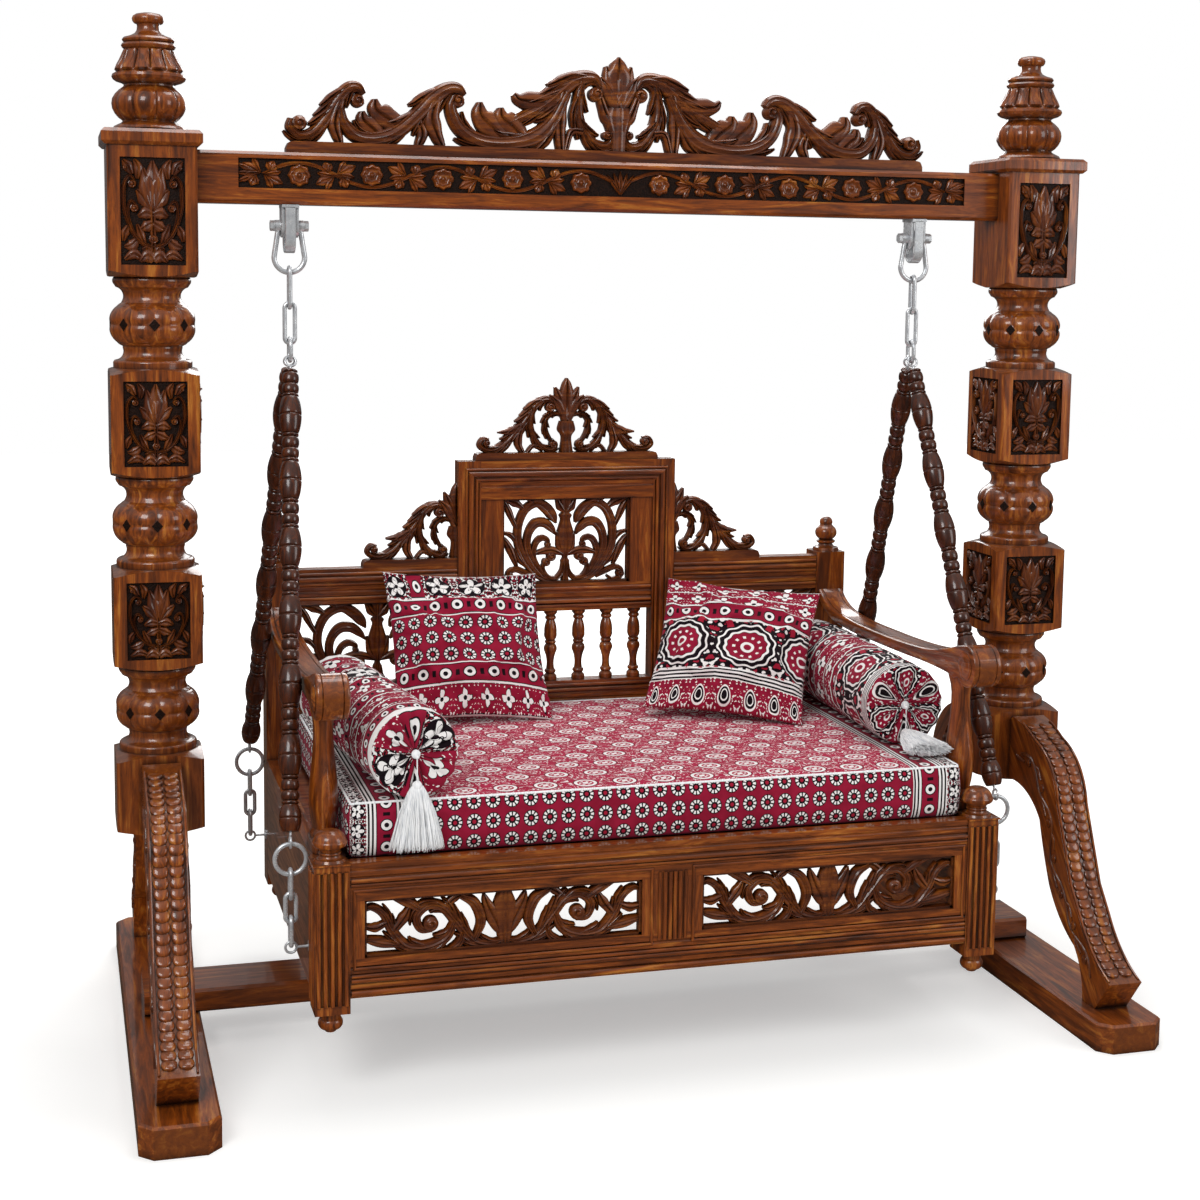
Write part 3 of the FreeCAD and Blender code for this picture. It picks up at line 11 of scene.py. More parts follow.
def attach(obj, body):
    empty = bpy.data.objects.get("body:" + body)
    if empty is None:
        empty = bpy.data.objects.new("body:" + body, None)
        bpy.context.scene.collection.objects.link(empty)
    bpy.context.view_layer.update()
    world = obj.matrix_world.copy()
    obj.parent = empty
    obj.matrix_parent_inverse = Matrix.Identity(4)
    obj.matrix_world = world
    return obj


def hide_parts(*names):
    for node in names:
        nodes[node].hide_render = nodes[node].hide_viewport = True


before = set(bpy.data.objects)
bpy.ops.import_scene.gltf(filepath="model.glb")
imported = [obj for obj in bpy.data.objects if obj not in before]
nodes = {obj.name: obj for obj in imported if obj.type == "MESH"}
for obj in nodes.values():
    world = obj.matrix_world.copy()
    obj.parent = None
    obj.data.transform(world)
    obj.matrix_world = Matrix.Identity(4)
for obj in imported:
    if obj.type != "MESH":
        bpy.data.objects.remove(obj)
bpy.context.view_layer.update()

mm = 0.001  # the tables below are in millimetres, Blender is in metres
print("frame loaded:", len(nodes), "nodes")


def linearColour(hexText):
    # sRGB hex to the linear values that Blender's sockets take
    shares = [int(hexText[k:k + 2], 16) / 255 for k in (1, 3, 5)]
    linear = [s / 12.92 if s <= 0.04045 else ((s + 0.055) / 1.055) ** 2.4 for s in shares]
    return tuple(linear) + (1.0,)


def setInputs(tree, node, inputs):
    # inputs: a list by place or a dict by name; a node or socket is linked, anything else is set
    pairs = inputs.items() if isinstance(inputs, dict) else enumerate(inputs)
    for name, value in pairs:
        if isinstance(value, bpy.types.Node):
            value = value.outputs[0]
        if isinstance(value, bpy.types.NodeSocket):
            tree.links.new(value, node.inputs[name])
        elif value is not None:
            node.inputs[name].default_value = value


def addNode(tree, kind, inputs=(), **settings):
    node = tree.nodes.new("ShaderNode" + kind)
    for name, value in settings.items():
        setattr(node, name, value)
    setInputs(tree, node, inputs)
    return node


def startMaterial(name):
    # an empty material: its tree, its shader and the socket that takes the surface
    material = bpy.data.materials.new(name)
    material.use_nodes = True
    tree = material.node_tree
    tree.nodes.clear()
    output = addNode(tree, "OutputMaterial")
    shader = addNode(tree, "BsdfPrincipled")
    tree.links.new(shader.outputs[0], output.inputs["Surface"])
    return material, tree, shader


def setStops(ramp, stops):
    # stops: (place, hex colour) pairs of a colour ramp
    while len(ramp.color_ramp.elements) < len(stops):
        ramp.color_ramp.elements.new(0.5)
    for element, (place, colour) in zip(ramp.color_ramp.elements, stops):
        element.position = place
        element.color = linearColour(colour)
    return ramp


# Sheesham under gloss lacquer: dark and orange streaks run with the grain, fine pores break
# them up, and painted shade, deepest where a point is most hidden, makes recesses nearly black.
sheesham = {
    "grainWidth": 16 * mm, "grainStretch": 11, "poreWidth": 1.6 * mm,
    "streaks": ((0.28, "#2c1206"), (0.42, "#693009"), (0.55, "#95480f"), (0.72, "#c97f30")),
    "recess": "#120602", "recessReach": 15 * mm, "roughness": 0.33, "coat": 0.75, "coatRoughness": 0.07,
    "specular": 0.35, "endGrain": 0.72, "endColour": "#6f3810",
    # shares: the noise or hollow from and to, then how much of the second colour there
    "poreShare": (0.56, 0.72, 0.0, 0.55), "patchShare": (0.35, 0.7, 0.0, 0.42),
    "recessShare": (0.35, 0.92, 0.92, 0.0),
}
darkRod = {
    **sheesham, "grainWidth": 9 * mm,
    "streaks": ((0.3, "#1c0b05"), (0.48, "#3d1b0d"), (0.62, "#572811"), (0.8, "#774019")),
    "recess": "#0e0503", "roughness": 0.28, "coat": 0.6,
}
carvedWood = {
    **sheesham,
    "streaks": ((0.28, "#2a1006"), (0.44, "#5a270b"), (0.58, "#80400f"), (0.76, "#ab6624")),
    "recessReach": 10 * mm, "roughness": 0.36, "coat": 0.5,
}


def lacqueredWood(name, recipe, along, tilt=0.0):
    # along: 0, 1 or 2, the axis that the grain follows; tilt turns it about X, in degrees
    material, tree, shader = startMaterial(name)
    place = addNode(tree, "TexCoord").outputs["Object"]
    if tilt:
        place = addNode(tree, "Mapping", {"Vector": place, "Rotation": (math.radians(tilt), 0, 0)})
    across = 1 / recipe["grainWidth"]
    scale = [across] * 3
    scale[along] = across / recipe["grainStretch"]
    grainPlace = addNode(tree, "Mapping", {"Vector": place, "Scale": scale})
    grain = addNode(tree, "TexNoise", {"Vector": grainPlace, "Scale": 1.0, "Detail": 5.0, "Roughness": 0.62,
            "Distortion": 0.9})
    streaks = setStops(addNode(tree, "ValToRGB", [grain.outputs[0]]), recipe["streaks"])
    poreScale = [1 / recipe["poreWidth"]] * 3
    poreScale[along] = poreScale[along] / 14
    porePlace = addNode(tree, "Mapping", {"Vector": place, "Scale": poreScale})
    pores = addNode(tree, "TexNoise", {"Vector": porePlace, "Scale": 1.0, "Detail": 2.0})
    poreShare = addNode(tree, "MapRange", [pores.outputs[0], *recipe["poreShare"]])
    patches = addNode(tree, "TexNoise", {"Vector": place, "Scale": 3.5, "Detail": 2.0})
    patchShare = addNode(tree, "MapRange", [patches.outputs[0], *recipe["patchShare"]])
    # end grain is plain and darker: its share follows how far the surface faces along the grain
    facing = addNode(tree, "SeparateXYZ", [addNode(tree, "TexCoord").outputs["Normal"]]).outputs[along]
    endOn = addNode(tree, "Math", [addNode(tree, "Math", [facing], operation="ABSOLUTE"), 4.0],
            operation="POWER")
    endShare = addNode(tree, "Math", [endOn, recipe["endGrain"]], operation="MULTIPLY")
    streaks = addNode(tree, "MixRGB", [endShare, streaks, linearColour(recipe["endColour"])])
    toned = addNode(tree, "MixRGB", [patchShare, streaks, linearColour(recipe["streaks"][1][1])])
    pored = addNode(tree, "MixRGB", [poreShare, toned, linearColour(recipe["streaks"][0][1])])
    # painted shade: the more hidden a point is, the nearer its colour comes to the recess colour
    hollow = addNode(tree, "AmbientOcclusion", {"Distance": recipe["recessReach"]}, samples=5)
    hollowShare = addNode(tree, "MapRange", [hollow.outputs["AO"], *recipe["recessShare"]])
    recessShaded = addNode(tree, "MixRGB", [hollowShare, pored, linearColour(recipe["recess"])])
    sheen = addNode(tree, "MapRange", [grain.outputs[0], 0.3, 0.7, recipe["roughness"] + 0.07,
            recipe["roughness"] - 0.05])
    relief = addNode(tree, "Bump", {"Height": pores.outputs[0], "Strength": 0.1, "Distance": 0.4 * mm})
    waves = addNode(tree, "Bump", {"Height": grain.outputs[0], "Normal": relief, "Strength": 0.2,
            "Distance": 1.2 * mm})
    setInputs(tree, shader, {"Base Color": recessShaded, "Roughness": sheen, "Normal": waves, "IOR": 1.5,
            "Specular IOR Level": recipe["specular"], "Coat Weight": recipe["coat"],
            "Coat Roughness": recipe["coatRoughness"]})
    return material


grainAcross, grainDeep, grainUp = [lacqueredWood("lacquered_sheesham_grain_" + "xyz"[k], sheesham, k)
        for k in range(3)]
carvedAcross = lacqueredWood("carved_sheesham_grain_x", carvedWood, 0)
carvedUp = lacqueredWood("carved_sheesham_grain_z", carvedWood, 2)
turnedDark = lacqueredWood("turned_rod_dark_lacquer", darkRod, 2)
braceTilt = 41  # the braces' boards lean this much from upright
grainFrontBrace = lacqueredWood("lacquered_sheesham_leaning_back", sheesham, 2, braceTilt)
grainRearBrace = lacqueredWood("lacquered_sheesham_leaning_forward", sheesham, 2, -braceTilt)


# Bright zinc plate on mild steel: pale grey mirror broken by a faint grain and handling marks, with painted
# shade darkening its hollows.
zinc = {"colour": "#eceef0", "shade": "#cbced2", "roughness": 0.27, "spot": 14 * mm, "metallic": 0.58,
        "hollow": "#3c3e41"}


def zincPlatedSteel(name):
    material, tree, shader = startMaterial(name)
    place = addNode(tree, "TexCoord").outputs["Object"]
    spots = addNode(tree, "TexNoise", {"Vector": place, "Scale": 1 / zinc["spot"], "Detail": 4.0})
    tone = setStops(addNode(tree, "ValToRGB", [spots.outputs[0]]), ((0.35, zinc["shade"]),
            (0.62, zinc["colour"])))
    # painted shade: hollows are darkened towards the hollow colour by how hidden they are
    hollow = addNode(tree, "AmbientOcclusion", {"Distance": 6 * mm}, samples=4)
    hollowShare = addNode(tree, "MapRange", [hollow.outputs["AO"], 0.2, 0.8, 0.6, 0.0])
    hollowShaded = addNode(tree, "MixRGB", [hollowShare, tone, linearColour(zinc["hollow"])])
    rough = addNode(tree, "MapRange", [spots.outputs[0], 0.3, 0.7, zinc["roughness"] + 0.1,
            zinc["roughness"] - 0.04])
    setInputs(tree, shader, {"Base Color": hollowShaded, "Roughness": rough, "Metallic": zinc["metallic"]})
    return material


zincSteel = zincPlatedSteel("zinc_plated_steel")

# which way the grain runs in each wooden CAD piece, by the words in its name
grainOfPieces = {
    grainDeep: ("foot", "side_rails", "arm"), grainUp: ("post", "finial", "front_legs", "stiles", "margins",
        "balusters", "supports"),
    grainFrontBrace: ("front_brace",), grainRearBrace: ("rear_brace",),
    turnedDark: ("_rod",), zincSteel: ("hanger", "roller", "bolts", "shackle", "links", "rings", "eyes",
        "hooks"),
}


def finishCadPieces():
    for name, piece in nodes.items():
        chosen = grainAcross
        for material, words in grainOfPieces.items():
            if any(word in name for word in words):
                chosen = material
        piece.data.materials.clear()
        piece.data.materials.append(chosen)


finishCadPieces()
print("CAD pieces have their wood and steel")


# Surfaces are worked out as arrays and joined into one mesh per piece.
def smoothLine(points, perSpan=7):
    # Catmull-Rom line: each span is the cubic that passes its ends with its neighbours' slope
    p = np.asarray(points, float)
    padded = np.vstack([2 * p[0] - p[1], p, 2 * p[-1] - p[-2]])
    t = np.linspace(0, 1, perSpan, endpoint=False)[:, None, None]
    a, b, c, d = padded[:-3], padded[1:-2], padded[2:-1], padded[3:]
    spans = 0.5 * (2 * b + (c - a) * t + (2 * a - 5 * b + 4 * c - d) * t ** 2 + (3 * b - a - 3 * c + d)
            * t ** 3)
    return np.vstack([spans.transpose(1, 0, 2).reshape(-1, p.shape[1]), p[-1:]])


def ringShell(rings):
    # rings: stations x points x 3; neighbours are joined, each ring closes on itself, ends are capped
    index = np.arange(rings.shape[0] * rings.shape[1]).reshape(rings.shape[:2])
    a, b = index[:-1], index[1:]
    quads = np.stack([a, np.roll(a, -1, 1), np.roll(b, -1, 1), b], -1).reshape(-1, 4).tolist()
    return rings.reshape(-1, 3), quads + [index[0, ::-1].tolist(), index[-1].tolist()]


def prismShell(outline, front, back):
    # flat outline in x and z, from front to back along y
    flat = np.asarray(outline, float)
    rings = [np.column_stack([flat[:, 0], np.full(len(flat), y), flat[:, 1]]) for y in (front, back)]
    return ringShell(np.array(rings))


def boxShell(x0, x1, y0, y1, z0, z1):
    return prismShell([(x0, z0), (x1, z0), (x1, z1), (x0, z1)], y0, y1)


def moved(shells, shift, turn=0.0):
    # each shell turned about Z by degrees, then shifted
    c, s = math.cos(math.radians(turn)), math.sin(math.radians(turn))
    spin = np.array([[c, s, 0], [-s, c, 0], [0, 0, 1]])
    return [(verts @ spin + np.asarray(shift), faces) for verts, faces in shells]


def wholeTurn(count):
    # angles evenly round one turn, in radians
    return np.linspace(0, 2 * math.pi, count, endpoint=False)


def scaled(shells):
    # from millimetres to metres
    return [(verts * mm, faces) for verts, faces in shells]


def mirrored(shells):
    return [(verts * (-1, 1, 1), [face[::-1] for face in faces]) for verts, faces in shells]


def makePiece(name, shells, material, body, replaced=(), sharp=38):
    # one object at the origin, outward faces, smooth but for edges sharper than the angle
    verts, faces, count = [], [], 0
    for shellVerts, shellFaces in shells:
        verts.append(shellVerts)
        faces += [[i + count for i in face] for face in shellFaces]
        count += len(shellVerts)
    mesh = bpy.data.meshes.new(name)
    mesh.from_pydata(np.vstack(verts), [], faces)
    turnOutwards(mesh)
    mesh.shade_smooth()
    mesh.set_sharp_from_angle(angle=math.radians(sharp))
    mesh.materials.append(material)
    piece = bpy.data.objects.new(name, mesh)
    bpy.context.scene.collection.objects.link(piece)
    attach(piece, body)
    if replaced:
        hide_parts(*replaced)


def turnOutwards(mesh):
    work = bmesh.new()
    work.from_mesh(mesh)
    bmesh.ops.recalc_face_normals(work, faces=work.faces)
    work.to_mesh(mesh)
    work.free()


# Carved band or leaf: a cross section carried along a smooth line in the panel's plane. Across it
# the face is a dome, with two gouge grooves on a scroll or one vein and wavy edges on a leaf.
relief = {"ridges": 3, "grooveDepth": 0.42, "veinDepth": 0.5, "ripple": 0.07}


def carvedBand(points, depth, leaf=False, lift=0.0, perSpan=7, across=15):
    line = smoothLine(points, perSpan)
    width = np.maximum(line[:, 2], 0.9 * mm)
    along = np.gradient(line[:, :2], axis=0)
    along /= np.linalg.norm(along, axis=1)[:, None] + 1e-12
    sideways = np.column_stack([-along[:, 1], along[:, 0]])
    s = np.sin(np.linspace(-math.pi / 2, math.pi / 2, across))
    dome = np.clip(1 - np.abs(s) ** 2.4, 0, 1) ** 0.55
    run = np.linspace(0, 1, len(line))
    if leaf:
        cut = relief["veinDepth"] * np.exp(-(s / 0.14) ** 2)
        ripple = 1 + relief["ripple"] * np.sin(run * math.pi * 5) * np.sin(run * math.pi)
        width = width * ripple
    else:
        cut = relief["grooveDepth"] * (0.5 - 0.5 * np.cos(relief["ridges"] * math.pi * s)) ** 1.5
    fullness = 0.3 + 0.7 * np.clip(width / (0.75 * width.max()), 0, 1) ** 0.5
    rise = depth / 2 * fullness
    front = -rise[:, None] * (0.05 + 0.95 * dome * (1 - cut))[None, :] - lift
    side = line[:, None, :2] + sideways[:, None, :] * (s[None, :, None] * width[:, None, None] / 2)
    face = np.stack([side[..., 0], front, side[..., 1]], -1)
    back = np.stack([side[:, [-1, 0], 0], np.full((len(line), 2), depth / 2), side[:, [-1, 0], 1]], -1)
    return ringShell(np.concatenate([face, back], 1))


def polarShell(x, z, radius, depth, outline, height, rings=9, around=36):
    # round carved form: radius times outline(angle), standing height(share, angle) of half the depth
    angle = wholeTurn(around)
    share = np.linspace(1, 0.02, rings)
    q, a = np.meshgrid(share, angle, indexing="ij")
    reach = radius * q * outline(a)
    face = np.stack([x + reach * np.cos(a), -depth / 2 * height(q, a), z + reach * np.sin(a)], -1)
    back = face[:1].copy()
    back[..., 1] = depth / 2
    return ringShell(np.concatenate([back, face]))


def volute(x, z, radius, depth):
    # scroll end: a ball whose spiral groove makes one and a half turns
    def height(q, a):
        spiral = 0.5 + 0.5 * np.cos(2 * math.pi * (1.5 * q - a / (2 * math.pi)))
        return (0.3 + 0.85 * np.sqrt(np.clip(1 - q ** 2.2, 0, 1))) * (1 - 0.3 * spiral * (q > 0.25)
                * (q < 0.97))
    return polarShell(x, z, radius, depth, np.ones_like, height, rings=12)


def acanthusLobes(points, depth, perSpan, across):
    # leaf blades laid along a scroll, in turn on the outer and the inner side of its bend; each
    # keeps close to the band and lifts away from it only at its tip
    line = smoothLine(points, 8)
    step = np.gradient(line[:, :2], axis=0)
    run = np.r_[0, np.cumsum(np.linalg.norm(np.diff(line[:, :2], axis=0), axis=1))]
    heading = np.unwrap(np.arctan2(step[:, 1], step[:, 0]))
    width = line[:, 2].max()
    count = max(int(run[-1] / (1.25 * width)), 1)
    shells = []
    for k in range(count):
        start = run[-1] * (0.04 + 0.72 * k / count)
        bend = np.interp(start + 2 * width, run, heading) - np.interp(start, run, heading)
        hand = (-1 if bend > 0 else 1) * (1 if k % 3 else -1)
        tip = []
        for forward, outward, share in ((0.0, 0.05, 0.42), (0.7, 0.3, 0.56), (1.35, 0.5, 0.54),
                (1.85, 0.66, 0.42), (2.15, 0.8, 0.22)):
            at = start + forward * width
            x, z, w, h = [np.interp(at, run, values) for values in (line[:, 0], line[:, 1], line[:, 2],
                    heading)]
            w = max(w, 0.6 * width)
            tip.append((x - w * hand * outward * math.sin(h), z + w * hand * outward * math.cos(h),
                    w * share))
        shells.append(carvedBand(tip, depth * 0.86, True, 0.05 * depth * (k % 2), perSpan=max(perSpan - 3,
                3), across=across - 4))
    return shells


def carvedShells(strokes, bosses, halfWidth, height, depth, swell=1.0, perSpan=7, across=15, lobed=True):
    # strokes and bosses as shares of the half width and the height, worked out for the right half
    shells = []
    for number, stroke in enumerate(strokes):
        points = [(x * halfWidth, z * height, w * height * swell) for x, z, w in stroke]
        leaf = len(stroke) <= 4 and stroke[-1][2] <= 0.06
        shells.append(carvedBand(points, depth * (0.8 if leaf else 1.0), leaf, (number % 3) * 0.05 * depth,
                perSpan, across))
        if lobed and len(stroke) > 4:
            shells += acanthusLobes(points, depth, perSpan, across)
    shells += [volute(x * halfWidth, z * height, r * height * 1.12, depth * 1.22) for x, z, r in bosses]
    return shells


def bothHalves(strokes, bosses, middle, halfWidth, height, depth, **shaping):
    half = carvedShells(strokes, bosses, halfWidth, height, depth, **shaping)
    half += carvedShells([s for s in middle if s[-1][0] > 0], [], halfWidth, height, depth, **shaping)
    centre = carvedShells([s for s in middle if s[-1][0] == 0], [], halfWidth, height, depth * 1.15,
            **{**shaping, "lobed": False})
    return half + mirrored(half) + centre


def stripShell(halfWidth, height, end, depth, halved=False):
    # strip with ogee ends under a crest
    lift, shoulder = height * 0.4, halfWidth - end
    right = [(halfWidth, -height), (halfWidth, lift - height), (halfWidth - end * 0.12, -lift * 0.9),
            (halfWidth - end * 0.3, -lift * 0.3), (halfWidth - end * 0.65, -lift * 0.08), (shoulder, 0)]
    left = [(0, 0), (0, -height)] if halved else [(-x, z) for x, z in right[::-1]]
    return prismShell(right + left, -depth / 2, depth / 2)


# Carving strokes: (across, up, width) as shares of half the panel and of its height.
crestScrolls = [
    [(0.056, 0.66, 0.05), (0.073, 0.755, 0.08), (0.101, 0.77, 0.1), (0.14, 0.73, 0.11),
     (0.182, 0.61, 0.11), (0.231, 0.46, 0.1), (0.287, 0.35, 0.08), (0.337, 0.27, 0.06)],
    [(0.195, 0.52, 0.1), (0.255, 0.5, 0.13), (0.305, 0.51, 0.09), (0.325, 0.57, 0.03)],
    [(0.16, 0.6, 0.06), (0.205, 0.3, 0.1), (0.262, 0.12, 0.12), (0.345, 0.05, 0.1),
     (0.43, 0.07, 0.1), (0.49, 0.2, 0.09), (0.515, 0.4, 0.08), (0.505, 0.52, 0.06)],
    [(0.345, 0.06, 0.1), (0.385, 0.2, 0.16), (0.423, 0.33, 0.13), (0.427, 0.47, 0.04)],
    [(0.292, 0.1, 0.09), (0.325, 0.22, 0.15), (0.36, 0.32, 0.12), (0.364, 0.42, 0.04)],
    [(0.475, 0.53, 0.05), (0.494, 0.595, 0.08), (0.526, 0.59, 0.09), (0.568, 0.49, 0.11),
     (0.617, 0.31, 0.1), (0.673, 0.14, 0.1), (0.73, 0.06, 0.1), (0.79, 0.07, 0.09),
     (0.83, 0.2, 0.08), (0.842, 0.36, 0.06)],
    [(0.66, 0.17, 0.1), (0.7, 0.26, 0.15), (0.736, 0.35, 0.12), (0.74, 0.46, 0.04)],
    [(0.72, 0.06, 0.08), (0.748, 0.16, 0.12), (0.774, 0.24, 0.1), (0.778, 0.33, 0.04)],
    [(0.556, 0.52, 0.07), (0.572, 0.3, 0.11), (0.558, 0.12, 0.09), (0.54, -0.01, 0.05)],
    [(0.62, 0.3, 0.06), (0.6, 0.13, 0.08), (0.612, -0.01, 0.05)],
    [(0.774, 0.5, 0.05), (0.79, 0.57, 0.07), (0.818, 0.56, 0.08), (0.85, 0.43, 0.09),
     (0.884, 0.24, 0.09), (0.919, 0.1, 0.08), (0.959, 0.06, 0.07), (0.986, 0.14, 0.06),
     (0.982, 0.23, 0.05)],
    [(0.84, 0.44, 0.06), (0.858, 0.2, 0.09), (0.842, -0.01, 0.05)],
    [(0.115, 0.72, 0.06), (0.126, 0.5, 0.08), (0.119, 0.3, 0.08), (0.084, 0.1, 0.08),
     (0.042, 0.05, 0.07), (0.02, 0.11, 0.06), (0.031, 0.18, 0.05)],
    [(0.17, 0.62, 0.06), (0.182, 0.3, 0.09), (0.178, -0.01, 0.06)],
    [(0.112, 0.2, 0.05), (0.147, 0.19, 0.05), (0.165, -0.01, 0.04)],
]
crestBosses = [
    (0.07, 0.6, 0.07),
    (0.494, 0.48, 0.07),
    (0.79, 0.44, 0.065),
    (0.96, 0.19, 0.07),
    (0.034, 0.17, 0.045),
]
crestPalmette = [
    [(0.0, 0.4, 0.1), (0.0, 0.7, 0.2), (0.0, 0.9, 0.13), (0.0, 1.0, 0.02)],
    [(0.0, 0.45, 0.1), (0.022, 0.72, 0.14), (0.04, 0.9, 0.02)],
    [(0.0, 0.45, 0.1), (0.034, 0.66, 0.12), (0.058, 0.78, 0.02)],
    [(0.0, -0.01, 0.12), (0.0, 0.2, 0.14), (0.0, 0.35, 0.2), (0.0, 0.46, 0.16)],
    [(0.0, 0.3, 0.08), (0.035, 0.36, 0.08), (0.064, 0.62, 0.04)],
]
apronScrolls = [
    [(0.0, 0.1, 0.08), (0.1, 0.04, 0.12), (0.22, 0.12, 0.15), (0.33, 0.42, 0.16),
     (0.44, 0.74, 0.15), (0.55, 0.8, 0.14), (0.63, 0.62, 0.13), (0.6, 0.4, 0.12), (0.52, 0.38, 0.1)],
    [(0.36, 0.5, 0.1), (0.42, 0.22, 0.15), (0.55, 0.08, 0.16), (0.7, 0.12, 0.15),
     (0.8, 0.4, 0.14), (0.86, 0.7, 0.12), (0.94, 0.84, 0.1), (1.0, 0.8, 0.06)],
    [(0.22, 0.14, 0.08), (0.17, 0.45, 0.14), (0.22, 0.78, 0.15), (0.33, 0.94, 0.08)],
    [(0.44, 0.74, 0.1), (0.36, 0.9, 0.12), (0.28, 1.0, 0.06)],
    [(0.6, 0.74, 0.1), (0.7, 0.9, 0.16), (0.8, 1.0, 0.08)],
    [(0.8, 0.38, 0.1), (0.72, 0.62, 0.14), (0.68, 0.82, 0.04)],
    [(0.74, 0.16, 0.1), (0.88, 0.22, 0.16), (1.0, 0.3, 0.08)],
    [(0.3, 0.3, 0.08), (0.33, 0.1, 0.12), (0.4, 0.0, 0.08)],
    [(0.84, 0.56, 0.08), (0.92, 0.48, 0.12), (1.0, 0.52, 0.06)],
]
apronBosses = [(0.53, 0.47, 0.12)]
apronMiddle = [
    [(0.0, 0.0, 0.16), (0.0, 0.3, 0.24), (0.0, 0.66, 0.34), (0.0, 1.0, 0.16)],
    [(0.0, 0.18, 0.12), (0.07, 0.45, 0.22), (0.13, 0.76, 0.14), (0.15, 0.92, 0.04)],
]
backScrolls = [
    [(0.035, 0.24, 0.022), (0.055, 0.13, 0.03), (0.15, 0.05, 0.034), (0.28, 0.07, 0.034),
     (0.355, 0.17, 0.03),
     (0.31, 0.26, 0.02)],
    [(0.15, 0.035, 0.03), (0.31, 0.05, 0.044), (0.48, 0.13, 0.052), (0.64, 0.29, 0.054),
     (0.74, 0.48, 0.052),
     (0.74, 0.68, 0.05), (0.64, 0.86, 0.052), (0.46, 0.94, 0.054), (0.31, 0.88, 0.066),
     (0.205, 0.78, 0.058),
     (0.15, 0.7, 0.012)],
    [(0.34, 0.08, 0.034), (0.5, 0.24, 0.044), (0.6, 0.42, 0.048), (0.585, 0.58, 0.048), (0.48, 0.7, 0.058),
     (0.34, 0.71, 0.058), (0.225, 0.64, 0.044), (0.155, 0.565, 0.01)],
    [(0.3, 0.08, 0.028), (0.43, 0.19, 0.034), (0.505, 0.33, 0.036), (0.465, 0.47, 0.038),
     (0.37, 0.53, 0.04),
     (0.28, 0.5, 0.03), (0.27, 0.44, 0.012)],
    [(0.03, 0.33, 0.018), (0.2, 0.38, 0.05), (0.35, 0.375, 0.045), (0.5, 0.34, 0.012)],
    [(0.48, 0.07, 0.03), (0.64, 0.13, 0.038), (0.78, 0.17, 0.038), (0.885, 0.13, 0.034), (0.87, 0.05, 0.03),
     (0.74, 0.03, 0.026), (0.66, 0.07, 0.016)],
    [(0.76, 0.2, 0.02), (0.83, 0.34, 0.044), (0.92, 0.48, 0.04), (1.0, 0.56, 0.016)],
    [(0.745, 0.62, 0.022), (0.84, 0.76, 0.034), (0.92, 0.9, 0.038), (1.0, 1.0, 0.016)],
    [(0.66, 0.88, 0.02), (0.8, 0.95, 0.052), (0.97, 0.99, 0.016)],
    [(0.75, 0.46, 0.02), (0.86, 0.57, 0.032), (1.0, 0.6, 0.018)],
    [(0.56, 0.18, 0.02), (0.7, 0.27, 0.036), (0.8, 0.42, 0.012)],
    [(0.5, 0.94, 0.02), (0.56, 0.98, 0.03), (0.63, 1.0, 0.016)],
]
backBosses = [(0.3, 0.245, 0.045), (0.22, 0.31, 0.05), (0.875, 0.09, 0.045), (0.275, 0.45, 0.032)]
backMiddle = [
    [(0.0, 0.0, 0.05), (0.0, 0.1, 0.036), (0.0, 0.2, 0.036), (0.0, 0.25, 0.052), (0.0, 0.3, 0.03),
     (0.0, 0.36, 0.055), (0.0, 0.46, 0.1), (0.0, 0.56, 0.108), (0.0, 0.66, 0.08), (0.0, 0.74, 0.058),
     (0.0, 0.79, 0.076), (0.0, 0.83, 0.046), (0.0, 0.9, 0.052), (0.0, 0.96, 0.08), (0.0, 1.0, 0.084)],
    [(0.01, 0.32, 0.018), (0.085, 0.44, 0.05), (0.135, 0.6, 0.012)],
    [(0.01, 0.32, 0.018), (0.035, 0.48, 0.05), (0.045, 0.66, 0.012)],
    [(0.01, 0.83, 0.018), (0.085, 0.89, 0.046), (0.15, 1.0, 0.016)],
]
benchCrestScrolls = [
    [(0.147, 0.66, 0.045), (0.209, 0.715, 0.07), (0.307, 0.68, 0.085), (0.391, 0.55, 0.09),
     (0.462, 0.42, 0.09), (0.551, 0.29, 0.09), (0.653, 0.14, 0.085), (0.778, 0.045, 0.075),
     (0.88, 0.035, 0.06), (0.945, 0.1, 0.055), (0.91, 0.18, 0.05), (0.85, 0.17, 0.045)],
    [(0.5, 0.37, 0.07), (0.6, 0.29, 0.085), (0.75, 0.27, 0.02)],
    [(0.36, 0.6, 0.055), (0.4, 0.4, 0.065), (0.356, 0.19, 0.065), (0.253, 0.06, 0.06),
     (0.164, 0.035, 0.055), (0.12, 0.1, 0.05), (0.164, 0.165, 0.04)],
    [(0.06, 0.5, 0.045), (0.16, 0.52, 0.05), (0.235, 0.42, 0.05), (0.225, 0.28, 0.05), (0.17, 0.15, 0.04)],
    [(0.48, 0.4, 0.055), (0.53, 0.14, 0.08), (0.48, -0.01, 0.05)],
    [(0.27, 0.05, 0.04), (0.364, 0.085, 0.045), (0.436, -0.01, 0.04)],
]
benchCrestBosses = [(0.182, 0.61, 0.062), (0.145, 0.11, 0.05), (0.872, 0.13, 0.045)]
benchCrestMiddle = [
    [(0.0, 0.38, 0.1), (0.0, 0.66, 0.16), (0.0, 0.88, 0.12), (0.0, 1.0, 0.02)],
    [(0.0, 0.42, 0.08), (0.07, 0.7, 0.12), (0.13, 0.88, 0.02)],
    [(0.0, 0.42, 0.08), (0.1, 0.66, 0.1), (0.185, 0.77, 0.02)],
    [(0.0, -0.01, 0.14), (0.0, 0.2, 0.1), (0.0, 0.3, 0.18), (0.0, 0.42, 0.14)],
]


